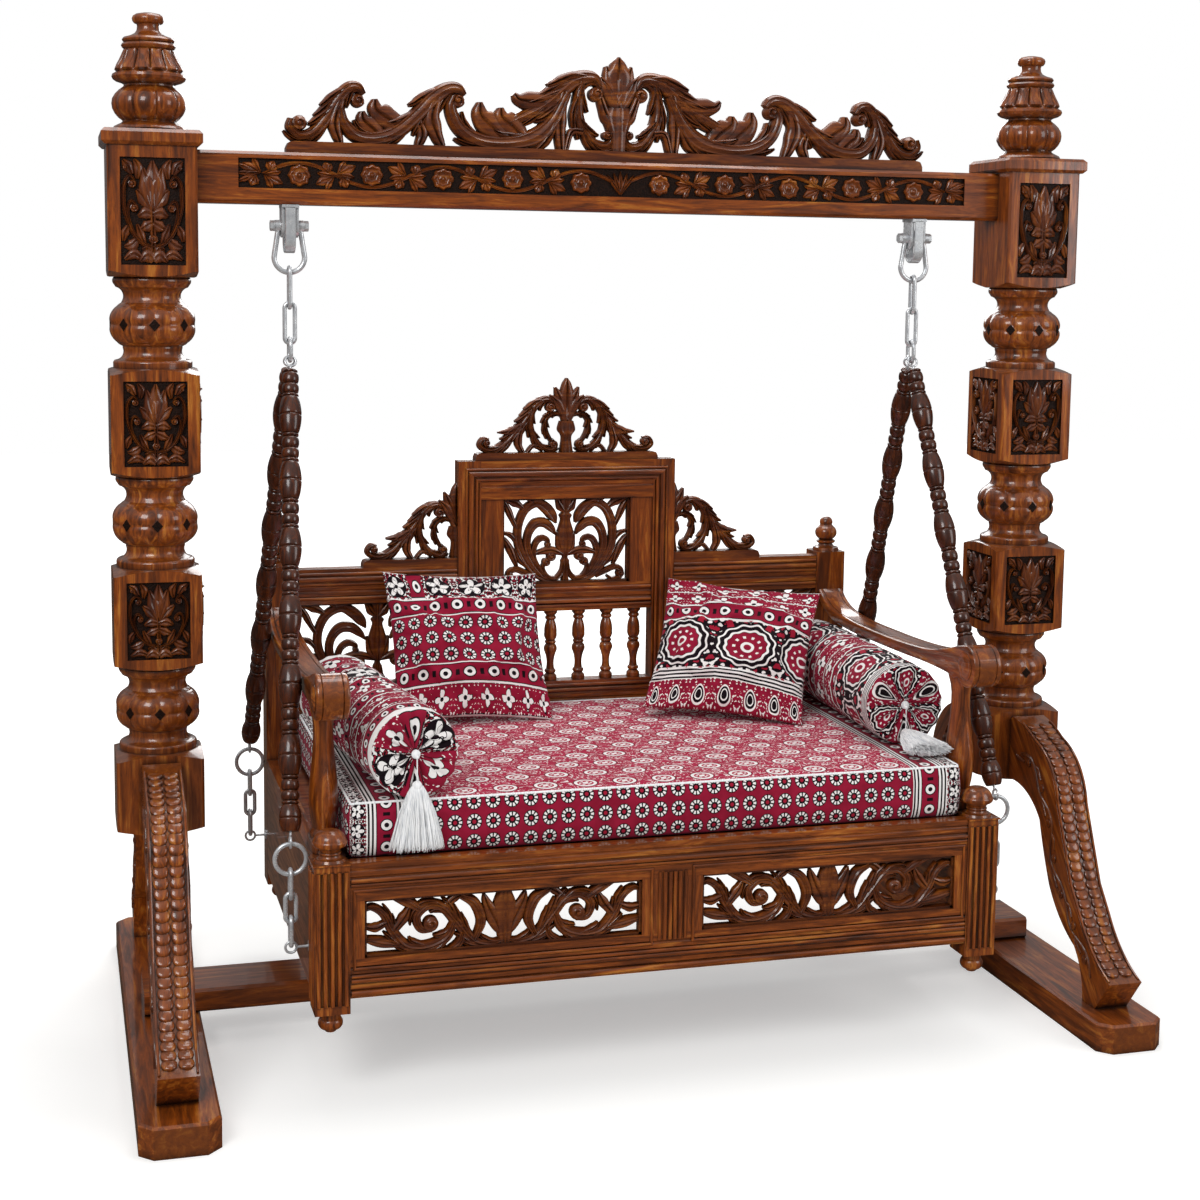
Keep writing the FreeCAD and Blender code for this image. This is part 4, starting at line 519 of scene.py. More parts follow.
# Carved pieces that stand for the CAD's flat ones: place and size of each, in millimetres.
carvings = {
    "beamCrest": {"halfWidth": 713, "height": 200, "depth": 28, "base": (0, 0, 1884),
        "strip": (24, 18, 34), "swell": 1.65},
    "centreCrest": {"halfWidth": 225, "height": 177, "depth": 20, "base": (0, 404, 1198),
        "strip": (18, 14, 40), "swell": 1.35},
    "sideCrest": {"halfWidth": 225, "height": 177, "depth": 20, "base": (268, 404, 950), "swell": 1.35},
    "centreBack": {"halfWidth": 158, "height": 207, "depth": 20, "base": (0, 404, 881), "swell": 2.0},
    "sideBack": {"halfWidth": 188.5, "height": 207, "depth": 20, "base": (456.5, 404, 643), "swell": 2.0},
    "apron": {"halfWidth": 280.5, "height": 115, "depth": 20, "base": (344.5, -453, 297), "swell": 1.25},
    "rim": 5,
}


def sizes(name):
    row = carvings[name]
    return [row[k] * mm for k in ("halfWidth", "height", "depth")] + [np.array(row["base"]) * mm]


def rimShells(halfWidth, height, depth):
    rim = carvings["rim"] * mm
    half = depth / 2
    return [boxShell(-halfWidth, halfWidth, -half, half, 0, rim), boxShell(-halfWidth, halfWidth, -half,
            half, height - rim, height),
            boxShell(-halfWidth, rim - halfWidth, -half, half, 0, height), boxShell(halfWidth - rim,
            halfWidth, -half, half, 0, height)]


def makeCrests():
    halfWidth, height, depth, base = sizes("beamCrest")
    stripHeight, end, stripDepth = np.array(carvings["beamCrest"]["strip"]) * mm
    shells = bothHalves(crestScrolls, crestBosses, crestPalmette, halfWidth, height, depth,
            swell=carvings["beamCrest"]["swell"])
    shells.append(stripShell(halfWidth, stripHeight, end, stripDepth))
    makePiece("beam_crest_carving", moved(shells, base), carvedAcross, "frame",
            ["beam_crest"])
    halfWidth, height, depth, base = sizes("centreCrest")
    stripHeight, end, stripDepth = np.array(carvings["centreCrest"]["strip"]) * mm
    swell = carvings["centreCrest"]["swell"]
    shells = bothHalves(benchCrestScrolls, benchCrestBosses, benchCrestMiddle, halfWidth, height, depth,
            swell=swell)
    shells.append(stripShell(halfWidth, stripHeight, end, stripDepth))
    makePiece("centre_crest_carving", moved(shells, base), carvedAcross, "bench",
            ["center_crest"])
    halfWidth, height, depth, base = sizes("sideCrest")
    half = carvedShells(benchCrestScrolls, benchCrestBosses, halfWidth, height, depth, swell)
    half += carvedShells(benchCrestMiddle, [], halfWidth, height, depth, swell)
    half = [cutAtMiddle(shell) for shell in half]
    half.append(stripShell(halfWidth, stripHeight, end, stripDepth, halved=True))
    right = moved(half, base)
    makePiece("side_crest_carvings", right + mirrored(right), carvedAcross, "bench",
            ["side_crests"])


def cutAtMiddle(shell):
    # what would reach past the cut side of a half crest is pressed flat against it
    verts, faces = shell
    return np.column_stack([np.maximum(verts[:, 0], 0), verts[:, 1:]]), faces


def makePanels():
    for name, piece, replaced, tables in (
            ("centreBack", "centre_back_carving", "center_carving", (backScrolls, backBosses, backMiddle)),
            ("sideBack", "side_back_carvings", "side_carvings", (backScrolls, backBosses, backMiddle)),
            ("apron", "apron_panel_carvings", "apron_carvings", (apronScrolls, apronBosses, apronMiddle))):
        halfWidth, height, depth, base = sizes(name)
        shells = bothHalves(*tables, halfWidth, height, depth * 0.86, swell=carvings[name]["swell"],
                across=13,
                lobed=name == "apron")
        shells += rimShells(halfWidth, height, depth * 0.9)
        shells = [(np.clip(v, (-halfWidth, -depth, 0), (halfWidth, depth, height)), f) for v, f in shells]
        placed = moved(shells, base)
        if base[0] > 0:
            placed = placed + mirrored(placed)
        makePiece(piece, placed, carvedAcross, "bench", [replaced])


makeCrests()
makePanels()
print("crests and pierced panels are carved")


# Relief on the stand. Sizes of the posts in millimetres, as the CAD has them.
stand = {
    "postX": 985, "postHalf": 88, "panelDepth": 5, "panelHalf": 63, "panelMargin": 24, "relief": 17,
    "blocks": ((803, 1010, True), (1198, 1418, True), (1602, 1862, False)),
    "turnings": ((627, 803), (1010, 1198), (1418, 1602)),
    "bulb": (0.26, 0.7), "bulbRadius": 66.9, "bulbBulge": 0.22, "petals": 8, "proud": 4.5,
    "notch": (11, 12),
}
# Bouquet on a post panel: right half, shares of the half width and of the height, then band width.
bouquetStems = (
    ((0.0, 0.17, 0.03), (0.34, 0.2, 0.036), (0.66, 0.31, 0.036), (0.82, 0.46, 0.034), (0.72, 0.585, 0.032),
     (0.56, 0.55, 0.028), (0.6, 0.49, 0.02)),
    ((0.78, 0.38, 0.03), (0.93, 0.55, 0.034), (0.92, 0.73, 0.032), (0.74, 0.82, 0.03), (0.6, 0.77, 0.026),
     (0.68, 0.72, 0.02)),
)
bouquetLeaves = (
    ((0.0, 0.52, 0.05), (0.16, 0.72, 0.115), (0.3, 0.9, 0.02)), ((0.0, 0.51, 0.05), (0.27, 0.62, 0.1),
        (0.52, 0.7, 0.02)),
    ((0.0, 0.47, 0.05), (0.24, 0.48, 0.09), (0.48, 0.45, 0.02)), ((0.0, 0.4, 0.04), (0.2, 0.36, 0.08),
        (0.42, 0.33, 0.02)),
    ((0.5, 0.24, 0.04), (0.7, 0.18, 0.085), (0.93, 0.17, 0.02)), ((0.8, 0.36, 0.03), (0.9, 0.3, 0.06),
        (0.96, 0.22, 0.02)),
    ((0.0, 0.04, 0.05), (0.2, 0.085, 0.09), (0.44, 0.03, 0.02)), ((0.0, 0.05, 0.05), (0.18, 0.15, 0.06),
        (0.36, 0.14, 0.02)),
    ((0.4, 0.07, 0.04), (0.64, 0.1, 0.075), (0.93, 0.05, 0.02)), ((0.66, 0.84, 0.03), (0.8, 0.92, 0.07),
        (0.95, 0.97, 0.02)),
    ((0.5, 0.8, 0.03), (0.46, 0.9, 0.07), (0.58, 0.98, 0.02)), ((0.28, 0.2, 0.03), (0.4, 0.28, 0.06),
        (0.52, 0.38, 0.02)),
)
bouquetMiddle = (((0.0, 0.03, 0.05), (0.0, 0.3, 0.04), (0.0, 0.55, 0.05)),
        ((0.0, 0.55, 0.06), (0.0, 0.76, 0.14), (0.0, 0.97, 0.02)))
bouquetBosses = ((0.6, 0.53, 0.036), (0.66, 0.755, 0.036), (0.0, 0.24, 0.04), (0.86, 0.9, 0.022))


# Ground of the relief: punched all over with a small round punch and nearly black, its stain and the shade
# of the sunk ground both painted into its colour.
def stippledGround(name):
    material, tree, shader = startMaterial(name)
    place = addNode(tree, "TexCoord").outputs["Object"]
    punch = addNode(tree, "TexVoronoi", {"Vector": place, "Scale": 1 / (3.2 * mm), "Randomness": 0.75})
    tone = setStops(addNode(tree, "ValToRGB", [punch.outputs["Distance"]]),
            ((0.15, "#080301"), (0.75, "#241006")))
    dents = addNode(tree, "Bump", {"Height": punch.outputs["Distance"], "Strength": 0.7, "Distance": 1.2
            * mm})
    setInputs(tree, shader, {"Base Color": tone, "Normal": dents, "Roughness": 0.55,
            "Specular IOR Level": 0.15})
    return material


punchedShadedGround = stippledGround("punched_ground_with_painted_shade")


def panelShells(height):
    half, depth = stand["panelHalf"], stand["relief"]
    shells = bothHalves(bouquetStems + bouquetLeaves, bouquetBosses, bouquetMiddle, half * 0.96, height,
            depth, swell=1.42,
            perSpan=5, across=9, lobed=False)
    return [(np.clip(v, (-half, -depth, 0.5), (half, depth, height - 0.5)), f) for v, f in shells]


def makePostPanels():
    carved, grounds = [], []
    margin, half, face = stand["panelMargin"], stand["panelHalf"], stand["postHalf"] - stand["panelDepth"]
    for low, high, inner in stand["blocks"]:
        height = high - low - 2 * margin
        shells = panelShells(height)
        # a thin sheet on the sunk floor in the punched ground, whose near-black is partly painted shade of
        # the recess
        ground = [boxShell(-half, half, -0.5, 0.5, 0, height)]
        for side in (-1, 1):
            spots = [((side * stand["postX"], -face, low + margin), 0)]
            if inner:
                spots.append(((side * (stand["postX"] - face), 0, low + margin), -side * 90))
            for spot, turn in spots:
                carved += moved(shells, spot, turn)
                grounds += moved(ground, spot, turn)
    makePiece("post_panel_bouquets", scaled(carved), carvedUp, "frame")
    makePiece("post_panel_grounds", scaled(grounds), punchedShadedGround, "frame")


def bulged(share, low, high, end, bulge):
    # radius of a turned bulb: an arc over the chord from low to high, bulge times the chord deep
    chord = high - low
    sagitta = bulge * chord
    radius = (chord ** 2 / 4 + sagitta ** 2) / (2 * sagitta)
    return end + np.sqrt(radius ** 2 - (chord * (share - 0.5)) ** 2) - (radius - sagitta)


def petalShell(x, z0, z1, radiusAt, middle, halfAngle, proud, cutLow, cutHigh):
    # one lobe over a turned surface: domed both ways, its corners cut where cutLow or cutHigh asks
    s = np.linspace(-1, 1, 9)
    rings = []
    for v in np.linspace(0.01, 0.99, 11):
        z = z0 + (z1 - z0) * v
        narrow = 1 - cutLow * math.exp(-(v / 0.22) ** 2) - cutHigh * math.exp(-((1 - v) / 0.22) ** 2)
        angle = middle + halfAngle * 0.97 * narrow * s
        base = radiusAt(z)
        rise = np.sqrt(np.clip(1 - s ** 2 * 0.96, 0, 1)) * (math.sin(math.pi * v) ** 0.45)
        radius = base - 1.0 + (proud + 1.0) * rise
        angle = np.r_[angle, angle[-1], angle[0]]
        radius = np.r_[radius, base - 3, base - 3]
        rings.append(np.stack([x + radius * np.sin(angle), -radius * np.cos(angle),
                np.full(len(angle), z)], -1))
    return ringShell(np.array(rings))


def notchShell(x, z, radius, angle, wide, tall):
    # nearly black diamond of painted shade that fills the notch where four lobes meet, standing for its
    # depth
    rings = []
    for v in np.linspace(-1, 1, 5):
        half = max(wide * (1 - abs(v)), 0.3) / radius
        a = angle + half * np.array([-1, 0, 1, 1, -1])
        r = radius + np.array([0.4, 0.4, 0.4, -3, -3])
        rings.append(np.stack([x + r * np.sin(a), -r * np.cos(a), np.full(5, z + v * tall)], -1))
    return ringShell(np.array(rings))


def makeTurnedLobes():
    lobes, notchShades, count = [], [], stand["petals"]
    halfAngle = math.pi / count
    for side in (-1, 1):
        x = side * stand["postX"]
        for low, high in stand["turnings"]:
            z0, z1 = [low + (high - low) * share for share in stand["bulb"]]
            middle = (z0 + z1) / 2

            def radiusAt(z):
                return bulged((z - z0) / (z1 - z0), z0, z1, stand["bulbRadius"], stand["bulbBulge"])
            for k in range(count):
                turn = (2 * k + 1) * halfAngle
                lobes.append(petalShell(x, z0 + 2, middle - 0.8, radiusAt, turn, halfAngle, stand["proud"],
                        0.1, 0.34))
                lobes.append(petalShell(x, middle + 0.8, z1 - 2, radiusAt, turn, halfAngle, stand["proud"],
                        0.34, 0.1))
                notchShades.append(notchShell(x, middle, radiusAt(middle), 2 * k * halfAngle, *stand["notch"]))
    makePiece("turned_lobes", scaled(lobes), grainUp, "frame")
    makePiece("lobe_notch_shades", scaled(notchShades), punchedShadedGround, "frame")


# Finial on each post: (height, radius, ribs, rib depth as a share) from the cap upwards.
finial = {"foot": 1894, "tongues": 12}
finialProfile = (
    (0, 71, 0, 0), (4, 73, 0, 0), (9, 70, 0, 0), (13, 62, 0, 0), (16, 56, 0, 0), (19, 53, 0, 0),
    (21, 54, 9, 0.03),
    (26, 61, 9, 0.07), (34, 68, 9, 0.085), (44, 73, 9, 0.09), (54, 74.5, 9, 0.09), (64, 73, 9, 0.09),
    (74, 67, 9, 0.085), (82, 59, 9, 0.07),
    (87, 52, 9, 0.03), (89, 50, 0, 0), (92, 50, 0, 0), (95, 55, 0, 0), (98, 65, 0, 0), (102, 71, 0, 0),
    (107, 73.5, 0, 0), (112, 72, 0, 0),
    (115, 67, 0, 0), (117, 64, 0, 0), (119, 66, 12, 0.04), (122, 69, 12, 0.12), (130, 65, 12, 0.13),
    (140, 59, 12, 0.13), (150, 54.5, 12, 0.13),
    (158, 52, 12, 0.12), (160, 50, 0, 0), (162, 48, 0, 0), (165, 52, 0, 0), (169, 54, 0, 0),
    (173, 52, 0, 0), (175, 48, 0, 0), (178, 51, 0, 0),
    (181, 52, 0, 0), (185, 49, 0, 0), (187, 42, 0, 0), (190, 34, 0, 0), (194, 27, 0, 0), (200, 23, 0, 0),
    (208, 22, 0, 0), (212, 23, 0, 0),
    (214, 28, 0, 0), (218, 31, 0, 0), (223, 32, 0, 0), (228, 30, 0, 0), (232, 24, 0, 0), (234.5, 12, 0, 0),
    (235, 2, 0, 0))


def makeFinials():
    # a rib is a round lobe between sharp valleys: one less the depth times |cos| folded over
    angle = wholeTurn(216)
    rings = []
    for height, radius, ribs, depth in finialProfile:
        lobe = 1 - depth * (1 - np.abs(np.sin(ribs * angle / 2)) ** 0.55) if ribs else np.ones_like(angle)
        rings.append(np.stack([radius * lobe * np.cos(angle), radius * lobe * np.sin(angle),
                np.full(216, finial["foot"] + height)], -1))
    shell = ringShell(np.array(rings))
    # a raised border and a vein on each tongue of the cone
    borders = []
    for k in range(finial["tongues"]):
        middle = (k + 0.5) * 2 * math.pi / finial["tongues"]
        for aside in (-0.62, 0.0, 0.62):
            points = []
            for q in np.linspace(0, 1, 9):
                height = 122 + 34 * q
                radius = np.interp(height, [row[0] for row in finialProfile],
                        [row[1] for row in finialProfile]) - 1.2
                turn = middle + aside * (0.5 + 0.5 * q if aside else 0) * math.pi / finial["tongues"]
                ring = wholeTurn(6)
                half = 1.6 * math.sin(math.pi * (0.12 + 0.76 * q))
                out = np.array([math.cos(turn), math.sin(turn), 0.0])
                away = np.array([-math.sin(turn), math.cos(turn), 0.0])
                points.append(out * radius + (0, 0, finial["foot"] + height)
                        + np.outer(half * np.cos(ring), away) + np.outer(half * np.sin(ring), out))
            borders.append(ringShell(np.array(points)))
    both = moved([shell] + borders, (stand["postX"], 0, 0)) + moved([shell] + borders,
            (-stand["postX"], 0, 0))
    makePiece("post_finials_turned", scaled(both), grainUp, "frame", ["post_finials"])


makePostPanels()
makeTurnedLobes()
makeFinials()
print("posts and finials are carved")


# Scales up the outer face of each brace, shaped flat as (run, across, height) and bent on to it.
braces = {
    "reach": 477, "height": 551, "foot": 62, "half": 39, "rows": 30, "scaleHalf": 15.2, "scaleLength": 27,
    "rise": 6.0, "start": 22, "end": 46, "beadAt": 35, "beadHalf": 2.6,
}
# outer and middle lines of a brace: shares of its reach out from the post and of its height
braceOuter = ((1.0, 0.131), (0.83, 0.212), (0.719, 0.318), (0.623, 0.426), (0.539, 0.595), (0.476, 0.724),
        (0.385, 0.87), (0.235, 0.94), (0.11, 0.985), (0.03, 1.0))
braceMiddle = ((0.88, 0.055), (0.8, 0.155), (0.7, 0.25), (0.58, 0.345), (0.5, 0.44), (0.44, 0.56),
        (0.385, 0.69), (0.27, 0.81), (0.12, 0.86), (0.03, 0.87))


def braceLine(shares):
    points = [(stand["postHalf"] + out * braces["reach"], braces["foot"] + up * braces["height"]) for out,
            up in shares]
    return smoothLine(points, 12)


def bentOnLine(shells, line, x, side):
    # (run, across, height) on to the face: run along the line, height along its outward normal
    run = np.r_[0, np.cumsum(np.linalg.norm(np.diff(line, axis=0), axis=1))]
    step = np.gradient(line, axis=0)
    step /= np.linalg.norm(step, axis=1)[:, None]
    normal = np.column_stack([-step[:, 1], step[:, 0]])
    bent = []
    for verts, faces in shells:
        at = verts[:, 0]
        place = np.column_stack([np.interp(at, run, line[:, k]) for k in (0, 1)])
        out = np.column_stack([np.interp(at, run, normal[:, k]) for k in (0, 1)])
        spot = place + out * verts[:, 2:3]
        bent.append((np.column_stack([x + verts[:, 1], side * spot[:, 0], spot[:, 1]]), faces))
    return bent


def scaleShell(run, across):
    # U-shaped tongue: wide at its upper end, round at its tip, domed, its tip standing higher
    half, length, rise = braces["scaleHalf"], braces["scaleLength"], braces["rise"]
    rings = []
    for q in (1.0, 0.93, 0.72, 0.42, 0.04):
        angle = wholeTurn(12)
        u, v = np.cos(angle), np.sin(angle)
        v = np.sign(v) * np.abs(v) ** np.where(u > 0, 0.9, 0.45)
        height = rise * (0.25 + 0.75 * math.sqrt(max(1 - q ** 2.5, 0))) * (1 + 0.38 * u * q)
        rings.append(np.stack([run + u * q * length / 2, across + v * q * half, height], -1))
    floor = rings[0].copy()
    floor[:, 2] = -2
    return ringShell(np.array([floor] + rings))


def beadShell(low, high, across):
    rings = []
    for run in np.linspace(low, high, 64):
        angle = wholeTurn(8)
        half = braces["beadHalf"]
        rings.append(np.stack([np.full(8, run), across + half * np.cos(angle), 1.2 + half * np.sin(angle)],
                -1))
    return ringShell(np.array(rings))


# Scroll on the brace's side faces: its stem swings about the middle line and ends in volutes.
sideScroll = {"swing": 13, "turns": 3.5, "width": 8, "relief": 7, "from": 0.06, "to": 0.93, "volute": 9.5,
        "leaf": 17}


def sideScrollShells(mirror):
    # local x is outward from the post when mirror is 1, inward when it is -1
    line = braceLine(braceMiddle)
    run = np.r_[0, np.cumsum(np.linalg.norm(np.diff(line, axis=0), axis=1))]
    step = np.gradient(line, axis=0)
    step /= np.linalg.norm(step, axis=1)[:, None]
    normal = np.column_stack([step[:, 1], -step[:, 0]])

    def spot(share, aside):
        at = share * run[-1]
        return [np.interp(at, run, line[:, k]) + aside * np.interp(at, run, normal[:, k]) for k in (0, 1)]

    shells, stem = [], []
    low, high, turns, swing = (sideScroll[k] for k in ("from", "to", "turns", "swing"))
    for t in np.linspace(0, 1, 26):
        x, z = spot(low + (high - low) * t, swing * math.sin(2 * math.pi * turns * t))
        stem.append((mirror * x, z, sideScroll["width"]))
    shells.append(carvedBand(stem, sideScroll["relief"], perSpan=4, across=9))
    for k in range(int(2 * turns)):
        t = (k + 0.5) / (2 * turns)
        bend = 1 if k % 2 == 0 else -1
        x, z = spot(low + (high - low) * t, -bend * 2)
        shells.append(volute(mirror * x, z, sideScroll["volute"], sideScroll["relief"] * 1.15))
        tip = []
        for ahead, aside, wide in ((0.0, 0.9, 0.25), (0.035, 1.35, 0.55), (0.065, 0.9, 0.12)):
            x, z = spot(low + (high - low) * (t + 0.055) + ahead - 0.02, -bend * aside * swing * 0.75)
            tip.append((mirror * x, z, wide * sideScroll["leaf"]))
        shells.append(carvedBand(tip, sideScroll["relief"] * 0.9, True, perSpan=5, across=9))
    return shells


def onBrace(line):
    # the line moved on to the real face of the front left brace, found by rays along the normals
    mesh = nodes["left_front_brace"].data
    tree = BVHTree.FromPolygons([v.co[:] for v in mesh.vertices], [p.vertices[:] for p in mesh.polygons])
    step = np.gradient(line, axis=0)
    step /= np.linalg.norm(step, axis=1)[:, None]
    found = []
    for (out, up), (dy, dz) in zip(line, step):
        outward = Vector((0, dz, dy))
        start = Vector((-stand["postX"], -out, up)) * mm + outward * 40 * mm
        hit = tree.ray_cast(start, -outward)[0]
        found.append((-hit.y / mm, hit.z / mm) if hit and (hit - start).length < 0.08 else (out, up))
    return np.array(found)


def makeBraceCarving():
    line = onBrace(braceLine(braceOuter)[::-1])
    length = np.linalg.norm(np.diff(line, axis=0), axis=1).sum()
    rows, start, end = braces["rows"], braces["start"], braces["end"]
    flat = []
    for row in range(rows):
        run = end + (length - start - end) * (row + 0.5) / rows
        flat += [scaleShell(run, side * (braces["scaleHalf"] + 0.6)) for side in (-1, 1)]
    flat += [beadShell(end * 0.8, length - 8, side * braces["beadAt"]) for side in (-1, 1)]
    scales, scrolls = [], []
    for side in (-1, 1):
        for facing in (-1, 1):
            scales += bentOnLine(flat, line, side * stand["postX"], facing)
            for outward in (-1, 1):
                # the face that looks along outward * X; a front brace reaches along -Y
                shells = sideScrollShells(facing * outward)
                scrolls += moved(shells, (side * stand["postX"] + outward * braces["half"], 0, 0),
                        outward * 90)
    makePiece("brace_scales", scaled(scales), grainFrontBrace, "frame")
    makePiece("brace_side_scrolls", scaled(scrolls), carvedUp, "frame")


# Vine on the beam: an undulating stem with a flower in each bend and ivy leaves between them.
vine = {
    "half": 812, "low": 1786, "high": 1846, "front": -32, "deep": 6, "relief": 15, "first": 88,
    "pitch": 150,
    "flowers": 5, "flower": 24, "swing": 23, "stem": 9, "leafWidth": 19,
}


def ivyLeaf(x, z, acrossBy, upBy, depth):
    # three blunt lobes from one foot: a long middle one between two short ones
    length, wide = math.hypot(acrossBy, upBy), vine["leafWidth"]
    ux, uz = acrossBy / length, upBy / length
    shells = []
    for aside, ahead, share in ((0.0, 1.0, 1.0), (0.5, 0.68, 0.75), (-0.5, 0.68, 0.75)):
        tip = (x + length * (ux * ahead - uz * aside), z + length * (uz * ahead + ux * aside))
        belly = (x + length * 0.62 * (ux * ahead - uz * aside * 0.9), z + length * 0.62
                * (uz * ahead + ux * aside * 0.9))
        shells.append(carvedBand(((x, z, 4), (*belly, wide * share), (*tip, 3)), depth * 0.82, True,
                perSpan=5, across=9))
    return shells


def cupFlower(x, z, radius, depth):
    # open cup with a scalloped rim, a deep ring inside it and a bud in the middle
    def outline(a):
        return 0.93 + 0.07 * np.cos(8 * a)

    def height(q, a):
        rim = np.exp(-((q - 0.8) / 0.16) ** 2)
        bud = 0.75 * np.exp(-(q / 0.2) ** 2)
        return 0.12 + np.maximum(rim * (0.85 + 0.15 * np.cos(8 * a)), bud)
    return polarShell(x, z, radius, depth, outline, height, rings=14, around=40)


def makeVine():
    middle, pitch = (vine["low"] + vine["high"]) / 2, vine["pitch"]
    depth = vine["relief"]
    shells, stem = [], []
    end = vine["first"] + pitch * (vine["flowers"] - 1) + pitch * 0.62
    for x in np.arange(14, end, pitch / 8):
        z = middle + vine["swing"] * math.cos(math.pi * (x - vine["first"]) / pitch)
        stem.append((x, z, vine["stem"] * (1 if x < end - 40 else 0.6)))
    shells.append(carvedBand(stem, depth * 0.75, perSpan=4, across=9))
    for k in range(vine["flowers"]):
        x, bend = vine["first"] + pitch * k, 1 if k % 2 == 0 else -1
        shells.append(cupFlower(x, middle - bend * 2, vine["flower"], depth * 1.1))
        # ivy leaves spring from the stem where it crosses the band, two long ones into the free
        # corners and two short ones along the stem
        for foot, drop, reach, rise in ((4, -2, 37, -18), (-4, 2, -37, 18), (15, 5, 8, 21),
                (-15, -5, -8, -21)):
            shells += ivyLeaf(x + pitch / 2 - foot, middle + bend * drop, -reach, bend * rise, depth)
    tip = end
    for lift in (-1, 0, 1):
        shells.append(carvedBand(((tip - 6, middle + lift * 3, 6), (tip + 18, middle + lift * 12, 12),
                (tip + 40, middle + lift * 20, 2)), depth * 0.8, True, perSpan=6, across=9))
    both = shells + mirrored(shells)
    for lean in (-1, -0.5, 0, 0.5, 1):
        both.append(carvedBand(((0, middle - 24, 6), (lean * 16, middle - 2, 13 - 4 * abs(lean)),
                (lean * 30, middle + 25 - 8 * abs(lean), 2)), depth * 0.9, True, perSpan=6,
                across=9))
    both = [(np.clip(v, (-vine["half"], -depth, vine["low"] + 0.5),
            (vine["half"], depth, vine["high"] - 0.5)), f) for v, f in both]
    placed = moved(both, (0, vine["front"] + vine["deep"], 0))
    makePiece("beam_vine", scaled(placed), grainAcross, "frame")
    # a thin sheet behind the vine in the punched ground, whose near-black is partly painted shade of the
    # sunk band
    face = vine["front"] + vine["deep"]
    ground = boxShell(-vine["half"], vine["half"], face - 0.5, face + 0.5, vine["low"], vine["high"])
    makePiece("beam_vine_ground", [(ground[0] * mm, ground[1])], punchedShadedGround, "frame")


makeBraceCarving()
makeVine()
print("braces and beam are carved")


# Arms: a board that sags between the rear post and its front end, where it rolls into a scroll.
# The outline is in y and z: the top from the rear, round the scroll, and back along the underside.
arms = {
    "inner": 652, "outer": 716, "round": 5, "grooveAt": 12, "grooveDeep": 1.8, "scroll": (-430, 808, 45),
    "top": ((384, 850), (350, 826), (290, 808), (180, 800), (40, 800), (-110, 803), (-240, 812),
        (-330, 829), (-390, 846)),
    "under": ((-372, 772), (-340, 778), (-240, 780), (-110, 777), (40, 775), (180, 775), (290, 783),
        (350, 801), (384, 825)),
    "rosette": 30,
}


def armOutline():
    y, z, radius = arms["scroll"]
    roll = [(y + radius * math.cos(a), z + radius * math.sin(a)) for a in np.radians(np.linspace(88, 318,
            26))]
    top, under = smoothLine(arms["top"], 4), smoothLine(arms["under"], 4)
    return np.vstack([top, roll, under])


def insetOutline(outline, inset):
    # every point moved inwards by the inset along its normal
    step = np.roll(outline, -1, 0) - np.roll(outline, 1, 0)
    step /= np.linalg.norm(step, axis=1)[:, None]
    return outline + inset * np.column_stack([-step[:, 1], step[:, 0]])


def makeArms():
    outline, edge = armOutline(), arms["round"]
    stations = [(0, edge), (0.7, edge * 0.45), (2, edge * 0.15), (edge, 0)]
    groove = arms["grooveAt"]
    stations += [(groove - 1.5, 0), (groove, arms["grooveDeep"]), (groove + 1.5, 0)]
    width = arms["outer"] - arms["inner"]
    stations += [(width - at, inset) for at, inset in stations[::-1]]
    rings = [np.column_stack([np.full(len(outline), arms["inner"] + at), insetOutline(outline, inset)])
            for at, inset in stations]
    y, z, _ = arms["scroll"]
    shells = [ringShell(np.array(rings))]
    shells += moved([volute(0, 0, arms["rosette"], 9)], (arms["outer"], y, z), 90)
    shells += moved([volute(0, 0, arms["rosette"], 9)], (arms["inner"], y, z), -90)
    both = scaled(shells)
    makePiece("right_arm_scrolled", both, grainDeep, "bench", ["right_arm"])
    makePiece("left_arm_scrolled", mirrored(both), grainDeep, "bench", ["left_arm"])


# Vase-shaped supports under the arms: (height, half width in x, half depth in y), with a ridge all
# the way up the front, on a small moulded plinth.
supports = {"x": 687, "y": -346, "foot": 488.5, "ridge": 1.25}
supportProfile = (
    (0, 28, 52), (18, 28, 52), (19, 26, 49), (24, 24, 46), (26, 27, 50), (33, 28, 51), (36, 26, 48),
    (42, 22, 42), (60, 26, 46),
    (85, 29, 50), (105, 29, 50), (130, 28, 46), (160, 25, 38), (190, 22, 32), (220, 20, 29), (245, 20, 29),
    (262, 22, 32),
    (274, 25, 37), (284, 27, 43), (291, 28, 46))


def makeSupports():
    angle = wholeTurn(48)
    rings = []
    for height, wide, deep in supportProfile:
        square = height < 20
        power = 0.35 if square else supports["ridge"]
        c, s = np.cos(angle), np.sin(angle)
        x = np.sign(c) * np.abs(c) ** power * wide
        y = np.sign(s) * np.abs(s) ** power * deep
        rings.append(np.column_stack([supports["x"] + x, supports["y"] + y,
                np.full(48, supports["foot"] + height)]))
    shell = [ringShell(np.array(rings) * mm)]
    makePiece("arm_supports_carved", shell + mirrored(shell), grainUp, "bench",
            ["arm_supports"])


makeArms()
makeSupports()
print("arms are rolled and their supports carved")


